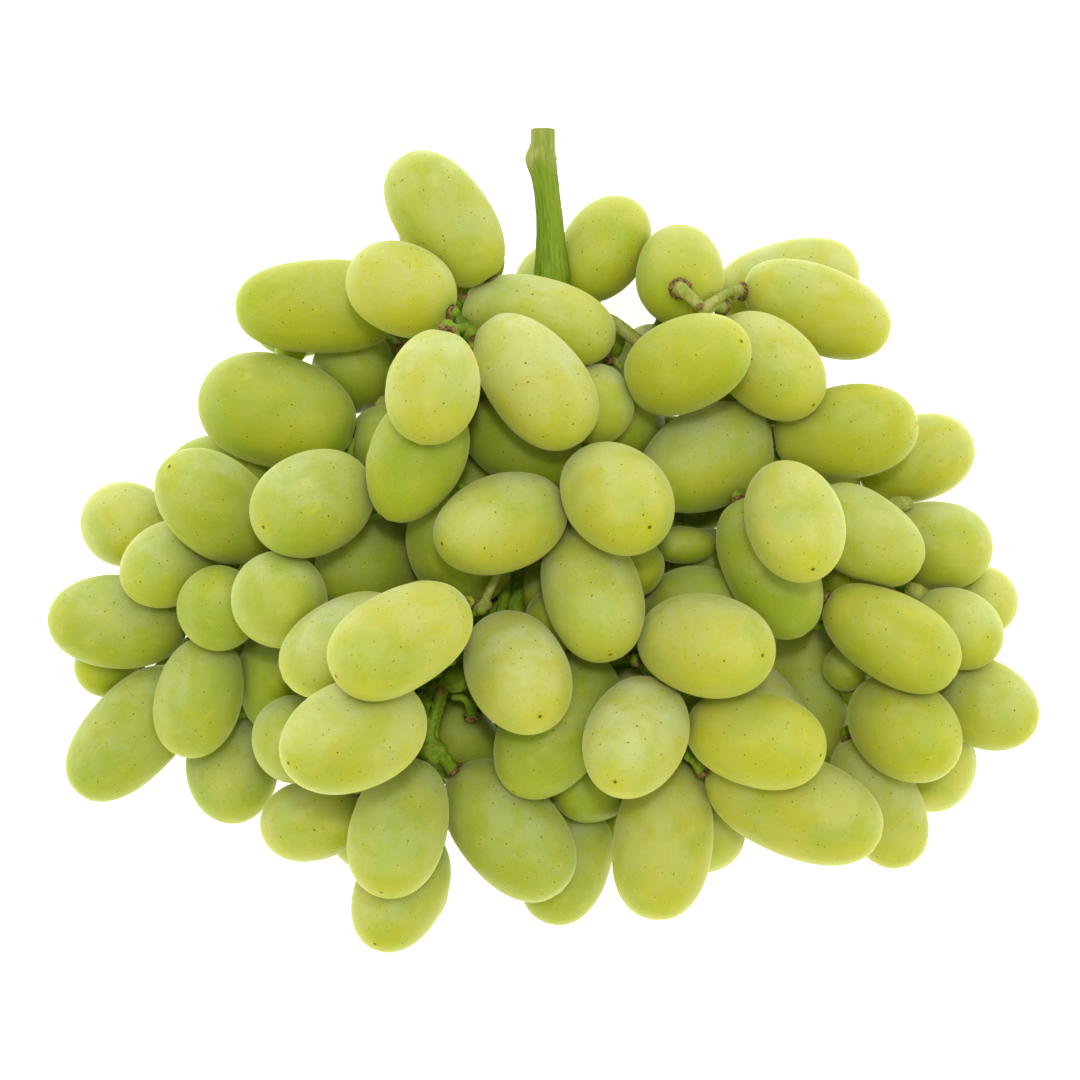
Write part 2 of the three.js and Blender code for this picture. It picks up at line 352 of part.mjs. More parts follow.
  [31, 118, 0.3322, -0.7803, -0.53, -33.646],
  [31, 127, 0.9589, 0.2429, 0.1468, -45.57],
  [32, 118, 0.5891, 0.335, -0.7353, -63.812],
  [34, 113, 0.135, -0.1535, -0.9789, -24.968],
  [35, 114, 0.3574, -0.4154, -0.8365, 15.541],
  [40, 80, -0.5717, -0.5975, -0.5623, -19.351],
  [41, 124, -0.2991, -0.7849, 0.5426, 37.645],
  [43, 68, -0.6337, 0.3807, -0.6734, 36.999],
  [45, 94, -0.6539, 0.4466, -0.6107, -48.7],
  [46, 85, -0.9493, -0.3135, -0.025, -33.635],
  [49, 86, -0.2659, -0.9556, -0.1269, -15.736],
  [50, 63, 0.6164, 0.2598, -0.7433, 37.34],
  [51, 52, -0.1041, 0.9691, -0.2238, -3.24],
  [51, 76, -0.9676, -0.0534, 0.2467, -64.462],
  [51, 83, -0.4345, -0.8693, -0.2358, -27.531],
  [54, 97, -0.4456, -0.0886, -0.8908, 0.277],
  [54, 110, 0.3263, -0.9021, -0.2823, -6.188],
  [54, 118, -0.8782, -0.2199, -0.4246, 29.412],
  [58, 113, 0.868, 0.1573, -0.4711, 19.936],
  [59, 60, 0.7477, -0.6002, -0.2841, 19.995],
  [59, 90, -0.9839, -0.0501, 0.1714, 30.77],
  [59, 115, -0.7027, -0.0765, -0.7073, 9.943],
  [61, 83, -0.6568, 0.521, -0.5452, -78.056],
  [63, 83, -0.8353, -0.5421, 0.0921, -61.168],
  [64, 118, 0.0408, 0.9892, 0.1406, -16.046],
  [64, 126, 0.2526, -0.3724, -0.893, -11.679],
  [68, 84, 0.8061, -0.5439, -0.2331, -66.569],
  [72, 85, -0.028, 0.9959, -0.0864, -55.028],
  [73, 90, -0.1883, 0.9584, 0.2145, -39.507],
  [73, 115, 0.3416, 0.9236, -0.1742, -61.381],
  [75, 112, 0.7631, 0.5883, 0.2676, 36.838],
  [75, 113, 0.8014, -0.3794, 0.4624, 46.692],
  [76, 93, -0.3112, 0.8103, -0.4965, -23.854],
  [76, 112, -0.8987, 0.4183, 0.1318, -48.299],
  [76, 113, -0.95, -0.2966, 0.0975, -49.026],
  [77, 88, 0.4868, -0.4616, -0.7416, -12.552],
  [78, 88, 0.0573, -0.9891, -0.1357, -26.889],
  [78, 91, -0.8028, -0.5896, -0.0892, -32.259],
  [78, 122, 0.2442, 0.9695, 0.0233, 51.68],
  [85, 87, 0.5727, -0.8188, -0.0394, 65.942],
  [85, 94, -0.1159, 0.9764, 0.1822, -32.77],
  [88, 91, -0.9229, 0.3798, -0.0632, -8.572],
  [89, 104, 0.5031, 0.7423, 0.4425, 25.423],
  [90, 98, -0.0355, 0.8411, -0.5398, -35.358],
  [90, 115, 0.4708, -0.2311, -0.8515, -15.861],
  [91, 104, -0.4585, 0.7732, 0.438, 35.119],
  [93, 100, -0.1231, 0.8866, 0.4458, 22.853],
  [97, 98, 0.1419, -0.9888, -0.0463, 9.716],
  [97, 101, 0.9962, 0.0873, 0.0009, -31.776],
  [98, 103, 0.9579, -0.2289, -0.1733, -24.765],
  [99, 116, -0.0481, 0.4538, 0.8898, 19.577],
  [101, 110, -0.5428, -0.6813, 0.4912, 30.991],
  [102, 112, -0.1732, 0.6675, 0.7242, 2.016],
  [106, 108, 0.22, -0.7612, 0.6101, 43.359],
  [106, 121, 0.3053, -0.9331, -0.1902, 11.151],
  [119, 127, 0.1334, 0.0365, 0.9904, 24.458],
];

// which berries make one node
const GROUPS = [
  ["berry_C1", [0]],
  ["berry_C4", [1]],
  ["berry_C2", [2]],
  ["berry_C5", [3]],
  ["berry_T5", [4]],
  ["berry_T6", [5]],
  ["berry_R15", [6]],
  ["berry_R14", [7]],
  ["berry_R16", [8]],
  ["berry_R3", [9]],
  ["berry_T13", [10]],
  ["berry_C7", [11]],
  ["berry_C9", [12]],
  ["berry_C3", [13]],
  ["berry_L1", [14]],
  ["berry_L6", [15]],
  ["berry_T2", [16]],
  ["berry_C6", [17]],
  ["berry_L13", [18]],
  ["berry_T15", [19]],
  ["berry_R7", [20]],
  ["berry_R17", [21]],
  ["berries_L10_L11_L14", [68, 43, 67]],
  ["berries_L15_L16_L17", [74, 66, 44]],
  ["berries_R4_R24_H30", [33, 76, 113]],
  ["berries_C11_C20_H42", [47, 73, 125]],
  ["berries_C19_R21_R20", [57, 58, 34]],
  ["berries_H24_T4_T3", [107, 49, 25]],
  ["berries_H25_H38_C8", [108, 121, 29]],
  ["berries_C21_C14_C12", [82, 28, 36]],
  ["berries_R1_T16_H40", [26, 27, 123]],
  ["berries_T14_T12_H39", [38, 71, 122]],
  ["berries_H29_H10_R2", [112, 93, 52]],
  ["berries_H17_T19_T18", [100, 78, 77]],
  ["berries_T11_T9_T10", [53, 70, 79]],
  ["berries_C10_H07_H32", [48, 90, 115]],
  ["berries_R10_R12_R11", [39, 42, 62]],
  ["berries_H37_R9_R8", [120, 61, 50]],
  ["berries_R13_R23_R19", [22, 45, 46]],
  ["berries_H26_T1_T7", [109, 23, 24]],
  ["berries_H19_R22_H05", [102, 75, 88]],
  ["berries_T17_L2_H33", [37, 40, 116]],
  ["berries_H16_H34_H11", [99, 117, 94]],
  ["berries_H22_H21_H08", [105, 104, 91]],
  ["berries_H23_H41_L4", [106, 124, 41]],
  ["berries_H28_H45_L20", [111, 128, 81]],
  ["berries_H44_L8_L12", [127, 31, 32]],
  ["berries_H04_R18_H31", [87, 72, 114]],
  ["berries_C15_C13_C16", [35, 55, 60]],
  ["berries_C17_H20_H13", [59, 103, 96]],
  ["berries_H35_L3_H27", [118, 54, 110]],
  ["berries_C18_H12_H02", [56, 95, 85]],
  ["berries_H36_H14_H18", [119, 97, 101]],
  ["berries_L5_H06_H03", [80, 89, 86]],
  ["berries_H15_H43_L18", [98, 126, 65]],
  ["berries_L7_L9_H01", [30, 69, 84]],
  ["berries_H09_L19", [92, 64]],
  ["berries_H00_R5_R6", [83, 51, 63]],
];

// pressed patch inside a group: group index, centre, direction
const NECKS = [
  [22, -81.78, -0.73, 21.6, -0.634, 0.381, -0.673],
  [22, -80.69, -11.09, 24.52, -0.522, -0.691, -0.501],
  [23, -89.67, -31.05, 11.63, -0.606, 0.711, -0.358],
  [23, -77.03, -34.95, 21.59, -0.593, -0.032, -0.804],
  [24, 64.45, -2.71, 29.39, -0.187, -0.445, -0.876],
  [24, 56.72, -8.19, 24.91, -0.95, -0.297, 0.097],
  [25, -31.35, -65.23, 20.83, -0.556, 0.417, -0.719],
  [25, -30.07, -69.28, 7.34, 0.522, -0.844, -0.123],
  [26, 23.54, -9.19, 32.49, 0.786, -0.582, -0.209],
  [26, 39.73, -9.67, 38.29, -0.752, -0.47, -0.462],
  [27, -44.98, 42.15, 10.01, -0.535, 0.797, -0.28],
  [27, -41.93, 42.33, 22.79, 0.114, -0.702, -0.703],
  [28, -35.65, -38.38, 43.98, 0.118, -0.074, -0.99],
  [28, -41.53, -39.77, 36.34, 0.974, 0.162, 0.157],
  [29, 5.97, -23.06, 32.61, -0.235, 0.968, -0.093],
  [29, -5.12, -49.61, 35.5, -0.479, -0.719, -0.504],
  [30, 48.21, 20.29, 29.92, -0.988, -0.112, -0.104],
  [30, 21.2, 11.39, 37.59, -0.791, -0.453, 0.411],
  [31, 56.34, 53.1, 17.32, -0.001, 0.369, -0.929],
  [31, 37.01, 53.37, 9.21, -0.903, 0.054, 0.426],
  [32, 51.56, 7.78, 17.47, -0.319, -0.626, 0.711],
  [32, 67.92, 13.25, 9.67, -0.954, -0.297, 0.047],
  [33, 33.95, 36.13, 17.86, 0.997, 0.028, 0.074],
  [33, 21.85, 29.38, 20.61, 0.477, 0.804, -0.356],
  [34, 21.72, 60.54, 27.85, -0.921, 0.293, -0.256],
  [34, 7.34, 55.13, 21.24, -0.482, -0.401, -0.779],
  [35, -43.1, -51.03, 25.07, 0.368, 0.814, -0.449],
  [35, -32.46, -44.82, 12.85, 0.471, -0.231, -0.851],
  [36, 70.96, -44.87, 25.14, -0.285, -0.751, -0.596],
  [36, 76.71, -49.94, 17.35, 0.824, 0.374, -0.426],
  [37, 92.93, -34.87, 13.06, 0.321, -0.243, -0.916],
  [37, 89.56, -25.87, 26.07, 0.275, -0.883, -0.38],
  [38, 48.27, -45.3, 27.89, 0.233, 0.727, -0.646],
  [38, 52.71, -38.45, 17.47, 0.494, 0.188, -0.849],
  [39, -20.8, 64.78, 35.29, -0.042, -0.117, -0.992],
  [39, -12.82, 52.58, 42.81, 0.41, -0.87, -0.276],
  [40, 43.69, -7.86, 12.11, 0.986, -0.148, -0.081],
  [40, 33.77, 2.21, 12.21, -0.075, 0.975, -0.209],
  [41, 5.47, 23.44, 39.11, -0.668, -0.634, -0.39],
  [41, 5.97, 14.1, 31.19, 0.618, -0.436, -0.655],
  [42, 4.86, 1.98, 8.75, -0.987, -0.018, -0.159],
  [42, 22.89, -14.09, 12.68, -0.44, 0.861, -0.255],
  [43, -14.43, 43.96, 14.03, -0.69, 0.434, -0.58],
  [43, -4.22, 34.32, 15.19, -0.459, 0.773, 0.438],
  [44, -29.81, -18.92, 45.31, 0.684, 0.401, 0.609],
  [44, -21.42, -8.65, 45.06, -0.299, -0.785, 0.543],
  [45, -24.49, 22.8, 40.19, -0.232, -0.97, 0.077],
  [45, -29.78, 18.18, 33.96, 0.32, -0.348, 0.881],
  [46, -54.82, 6.09, 37.6, 0.959, 0.243, 0.147],
  [46, -65.79, -4.67, 39.78, -0.096, -0.971, 0.22],
  [47, 42.74, -60.23, 9.42, 0.946, 0.311, -0.085],
  [47, 26.93, -61.44, 8.14, -0.972, 0.177, -0.155],
  [48, 9.38, -57.2, 19.3, -0.337, -0.829, -0.446],
  [48, 1.15, -59.56, 12.87, -0.68, 0.61, -0.407],
  [49, -17.43, -36.53, 14.7, 0.003, 0.757, -0.653],
  [49, -10.23, -25.89, 10.34, -0.781, -0.623, -0.048],
  [50, -45.93, -7.63, 29.69, -0.878, -0.22, -0.425],
  [50, -30.64, -12.08, 25.1, 0.326, -0.902, -0.282],
  [51, 15.49, -37.18, 14.09, -0.493, -0.568, -0.659],
  [51, 20.73, -41.57, 8.77, -0.973, 0.125, -0.193],
  [52, -44.96, -0.02, 17.61, -0.03, 0.597, 0.802],
  [52, -31.5, -4.69, 10.11, 0.996, 0.087, 0.001],
  [53, -17.72, 17.18, 14.04, -0.383, 0.793, -0.473],
  [53, -33.08, 18.15, 9.97, 0.832, 0.555, -0.007],
  [54, -47.64, -34.04, 7.85, -0.423, -0.9, -0.11],
  [54, -57.72, -43.09, 8.08, 0.895, 0.423, -0.138],
  [55, -61.74, 19.2, 17.5, -0.218, -0.777, -0.591],
  [55, -68.27, 3.74, 10.18, -0.033, -0.997, -0.067],
  [56, -59.6, -27.08, 15.33, -0.513, 0.316, -0.798],
  [57, 77.13, -10.18, 12.17, -0.434, -0.869, -0.236],
  [57, 88.57, -7.76, 13.55, 0.581, -0.691, -0.429],
];

// main stems: name, points with radius
const MAIN_STEMS = [
  ["rachis", [[0.12, 85.08, 33.98, 2.45], [-0.19, 81.68, 33.88, 2.9], [-0.19, 78.79, 33.78, 3.35], [0.12, 75.69, 33.68, 2.95], [0.85, 71.56, 33.58, 2.65], [1.47, 64.33, 33.38, 2.85], [1.78, 57.7, 33.38, 3], [2.2, 49.92, 32.15, 2.9], [1.99, 42.72, 31.15, 2.8], [0.96, 31.45, 27.57, 2.6], [-0.5, 21.12, 24, 2.45], [-3.02, 8.49, 25.5, 2.4], [-5.31, -3.03, 27, 2.3], [-5.32, -14.56, 26, 2.15], [-4.07, -26.16, 24, 2], [-1.55, -36.77, 22, 1.8], [0.56, -46.39, 20, 1.6], [2.67, -53.87, 19, 1.3]]],
  ["arm_r1", [[1.78, 51.97, 32.52, 1.5], [3.65, 49.9, 32.5, 1.45], [6.76, 48.2, 33, 1.4], [9.86, 46.94, 33.2, 1.35], [12.35, 46.13, 33, 1.3], [14.84, 44.88, 33, 1.3], [17.35, 43.5, 32, 1.25], [20.5, 41.48, 31, 1.2], [27.69, 39.08, 33, 1.15], [31.23, 41.32, 37, 1.1], [33.29, 44.14, 41, 1.05], [32.99, 46.46, 43, 1.05]]],
  ["arm_l1", [[1.79, 40.68, 30.47, 1.5], [-1.54, 40.37, 32.2, 1.4], [-4.22, 41.05, 34.6, 1.35], [-7.31, 42.42, 35.8, 1.3], [-10.41, 43.86, 36, 1.35], [-13.29, 45.06, 36.5, 1.5], [-16.16, 45.85, 37, 1.6]]],
  ["arm_l2", [[-5.32, -12.47, 25.77, 1.6], [-10.54, -14.95, 27, 1.5], [-15.49, -20.72, 30, 1.4], [-19.16, -26.43, 33, 1.4], [-20.96, -31.93, 35, 1.35], [-22.62, -38.75, 35, 1.35], [-22.43, -42.92, 34.5, 1.7]]],
  ["arm_r2", [[-3.85, 5.34, 25.96, 1.7], [3.7, 4.1, 24, 1.6], [14.25, 3.48, 22, 1.6], [24.84, 4.33, 20.5, 1.7], [34.61, 6.24, 19.5, 1.8], [41.62, 9.63, 19, 1.6], [45.52, 14.04, 20.8, 1.4], [49.06, 17.82, 21.5, 1.2]]],
  ["arm_r3", [[-2.61, -32.52, 22.74, 1.4], [8.95, -27.63, 24, 1.3], [18.3, -24.33, 28, 1.3], [24.98, -31.22, 28, 1.2], [29.62, -41.73, 27, 1.3], [31.81, -46.47, 25, 1.2]]],
];

// side branches: radius, points
const BRANCHES = [
  [1.75, [[-3.59, 5.61, 25.88], [-3.5, 5.61, 26.7]]],
  [1.59, [[-3.5, 5.61, 26.7], [-2.67, 5.65, 33.55]]],
  [1.09, [[-2.67, 5.65, 33.55], [2.18, 7.54, 38.7], [7, 14.61, 46.2]]],
  [1.38, [[-2.67, 5.65, 33.55], [-2.75, 5.72, 35.05]]],
  [1.09, [[-2.75, 5.72, 35.05], [1.78, 6.82, 40.2], [4, 8.61, 46.2]]],
  [1.09, [[-2.75, 5.72, 35.05], [-8.03, 9.12, 41.7], [-17, 11.02, 48.77], [-29, 11.72, 49.17], [-35, 13.11, 47.7]]],
  [1.09, [[-3.5, 5.61, 26.7], [2.1, 5.6, 32.7], [7, 4.11, 40.2]]],
  [1.09, [[-15.86, -21.29, 30.3], [-9.5, -16.89, 38.7]]],
  [1.59, [[-18.06, -24.72, 32.1], [-18.5, -24.39, 32.7]]],
  [1.38, [[-18.5, -24.39, 32.7], [-18.52, -23.7, 52.88]]],
  [1.09, [[-18.52, -23.7, 52.88], [-18.5, -23.36, 56.72], [-18.36, -18.39, 62.7], [-16.37, -13.41, 68.7], [-15.5, -12.39, 74.7]]],
  [1.09, [[-18.52, -23.7, 52.88], [-20.43, -18.39, 58.06], [-26, -12.39, 61.2]]],
  [1.09, [[-18.5, -24.39, 32.7], [-21.5, -21.39, 34.2]]],
  [1.38, [[-12.57, 44.76, 36.38], [-13.71, 41.12, 37.63], [-15.18, 40.14, 41.71], [-17.36, 40.78, 52.85]]],
  [1.09, [[-17.36, 40.78, 52.85], [-17, 40.11, 73.2]]],
  [1.09, [[-17.36, 40.78, 52.85], [-18.5, 46.11, 56.7]]],
  [1.38, [[-3.69, 40.92, 34.12], [-6.96, 35.9, 37.97]]],
  [1.09, [[-6.96, 35.9, 37.97], [-11.14, 36.62, 43.2], [-12.04, 38.74, 46.2], [-9.5, 44.61, 53.7]]],
  [1.09, [[-6.96, 35.9, 37.97], [-9.01, 34, 44.7], [-18.5, 31.11, 56.7]]],
  [1.09, [[18.81, -24.86, 28], [20.5, -19.89, 40.2]]],
  [1.09, [[27.3, -36.48, 27.5], [29.5, -36.39, 38.7]]],
  [1.38, [[24.47, -30.69, 28], [25, -30.39, 28.2]]],
  [1.09, [[25, -30.39, 28.2], [23.5, -30.39, 37.2]]],
  [1.09, [[25, -30.39, 28.2], [31, -27.25, 27.77], [40, -19.11, 20.84], [47.5, -15.39, 17.7]]],
  [1.89, [[49.06, 17.82, 21.5], [49, 17.61, 22.2]]],
  [1.09, [[49, 17.61, 22.2], [49, 13.54, 28.2], [49, 13.14, 31.2], [47.5, 14.61, 46.2]]],
  [1.75, [[49, 17.61, 22.2], [50.58, 15.57, 23.71]]],
  [1.38, [[50.58, 15.57, 23.71], [51.63, 11.37, 28.78]]],
  [1.09, [[51.63, 11.37, 28.78], [52.4, -0.39, 31.61], [56.5, -10.89, 35.7]]],
  [1.09, [[51.63, 11.37, 28.78], [53.5, 8.61, 34.2]]],
  [1.38, [[50.58, 15.57, 23.71], [61.68, 10.29, 23.02]]],
  [1.09, [[61.68, 10.29, 23.02], [69.86, 2.61, 23.7], [72.89, -3.39, 23.56], [74.93, -9.39, 20.56], [79, -13.89, 16.2]]],
  [1.09, [[61.68, 10.29, 23.02], [68.99, 5.79, 14.7], [73, -0.39, 5.7]]],
  [1.09, [[22.46, 40.83, 31.55], [20.53, 37.11, 33.1], [17.5, 31.11, 40.2]]],
  [1.38, [[-22.45, -38.07, 35], [-23, -37.89, 35.7]]],
  [1.09, [[-23, -37.89, 35.7], [-24.47, -35.22, 41.7], [-24.5, -33.39, 64.2]]],
  [1.38, [[-22.52, -40.83, 34.75], [-24.25, -42.11, 32.72]]],
  [1.09, [[-24.25, -42.11, 32.72], [-26, -43.89, 32.7]]],
  [1.09, [[-24.25, -42.11, 32.72], [-23.92, -55.89, 21.13], [-23, -60.39, 19.2]]],
  [2.01, [[-19.38, -27.12, 33.25], [-20, -27.39, 32.7]]],
  [1.89, [[-20, -27.39, 32.7], [-31.24, -27.05, 31.94]]],
  [1.38, [[-31.24, -27.05, 31.94], [-38.02, -21.51, 29.86], [-43.18, -18.1, 30.38]]],
  [1.09, [[-43.18, -18.1, 30.38], [-45.6, -16.34, 32.8], [-53, -15.39, 40.2]]],
  [1.09, [[-43.18, -18.1, 30.38], [-56, -18.39, 31.05], [-68, -18.39, 26.7]]],
  [1.59, [[-31.24, -27.05, 31.94], [-34.24, -26.82, 30.46]]],
  [1.09, [[-34.24, -26.82, 30.46], [-45.5, -17.91, 21.72], [-56, -16.89, 20.7]]],
  [1.38, [[-34.24, -26.82, 30.46], [-38.02, -26.02, 28.45], [-49.18, -17.49, 19.42]]],
  [1.09, [[-49.18, -17.49, 19.42], [-53.02, -16.92, 17.84], [-66.5, -17, 17.59], [-74, -18.39, 16.2]]],
  [1.09, [[-49.18, -17.49, 19.42], [-57.99, -10.87, 16.49], [-59, -4.89, 15.19], [-59, 1.11, 10.2]]],
  [1.09, [[-20, -27.39, 32.7], [-20.89, -29.38, 29.7], [-21.93, -30.39, 23.7], [-25.9, -29.96, 17.7], [-29, -27.39, 13.2]]],
  [1.09, [[29.93, -42.41, 26.71], [26.5, -43.89, 26.7]]],
  [1.09, [[30.56, -43.76, 26.14], [32.5, -46.89, 31.2]]],
  [1.09, [[-15.44, 45.65, 36.88], [-16.52, 47.61, 33.1], [-18.64, 48.71, 31.21], [-27.5, 49.11, 26.7]]],
  [1.09, [[22.02, 4.1, 20.9], [21.57, 6.04, 28.2], [19, 10.11, 32.7]]],
  [1.09, [[15.81, -25.21, 26.93], [13, -22.89, 29.7]]],
  [1.09, [[-9.24, -14.33, 26.69], [-12.5, -10.89, 23.7]]],
  [1.38, [[2.48, -53.19, 19.09], [9.11, -53.25, 12.86]]],
  [1.09, [[9.11, -53.25, 12.86], [10, -54.39, 13.2]]],
  [1.09, [[9.11, -53.25, 12.86], [11.5, -51.39, 10.2]]],
  [1.09, [[15.66, 3.59, 21.8], [16, -4.89, 22.2]]],
  [1.09, [[31.81, -46.47, 25], [47.5, -48.39, 18.4], [56.5, -48.39, 17.27], [74.5, -48.39, 4.2]]],
  [1.09, [[0.87, 30.76, 27.34], [7, 31.11, 24.77], [13, 30.67, 19.23], [16, 29.17, 16.63], [20.5, 25.11, 14.7]]],
  [1.38, [[0.28, 26.63, 25.91], [-6.4, 29.36, 20.49], [-8.8, 30.05, 17.02]]],
  [1.09, [[-8.8, 30.05, 17.02], [-8, 32.61, 11.7]]],
  [1.09, [[-8.8, 30.05, 17.02], [-9.5, 29.61, 13.2]]],
  [1.09, [[-22.58, -39.45, 34.92], [-24.5, -39.39, 26.7]]],
  [1.09, [[0.75, -47.07, 19.91], [-5, -45.39, 11.7]]],
  [1.09, [[-5.08, -16.73, 25.62], [-9.5, -16.89, 16.2]]],
  [1.09, [[-1.96, -32.25, 22.81], [-6.07, -31.49, 16.2], [-6.5, -30.39, 13.2]]],
  [1.09, [[2.18, 49.2, 32.05], [-3.5, 51.96, 26.22], [-8, 52.11, 25.2]]],
  [1.09, [[38.43, 8.09, 19.23], [38.5, 8.61, 23.7]]],
  [1.09, [[-2.6, 10.59, 25.25], [1, 10.11, 28.2]]],
  [1.09, [[-2.32, 12, 25.08], [-2, 11.61, 8.7]]],
  [1.09, [[-4.74, -0.15, 26.62], [-11, -0.39, 22.63], [-20, 0.62, 23.22], [-29, 6.67, 31.17], [-35, 6.09, 35.88], [-38, 4.11, 37.2]]],
  [1.09, [[-0.64, 20.41, 24.08], [-8, 20.61, 23.84], [-13.86, 20.29, 26.84], [-16.86, 18.3, 32.7], [-17, 17.61, 37.2]]],
  [0.85, [[-2.61, -9.38, 22], [-5.32, -12.47, 25.77]]],
  [0.85, [[28.32, 0.94, 28], [26.73, 3.34, 25.14], [26.24, 4.6, 20.36]]],
  [0.85, [[-53.28, 40.59, 18], [-41, 47.38, 17.7], [-32, 46.32, 18.52], [-17.28, 46.11, 31.74], [-15.44, 45.65, 36.88]]],
  [0.85, [[63.89, -26.83, 23], [63.4, -24.31, 21.43], [60.4, -18.72, 20.7], [41.5, -19.95, 21.3], [38.5, -20.71, 22.8], [32.5, -25.89, 27.38], [29.5, -28.62, 28.14], [24.47, -30.69, 28]]],
  [0.85, [[-17.84, -28.58, 36], [-16.2, -25.95, 32.98], [-17.33, -23.57, 31.5]]],
  [0.85, [[-24.02, -33.38, 39], [-23.83, -36.7, 37.24], [-22.45, -38.07, 35]]],
  [0.85, [[-8.26, -13.74, 25], [-7.93, -13.71, 26.39]]],
];

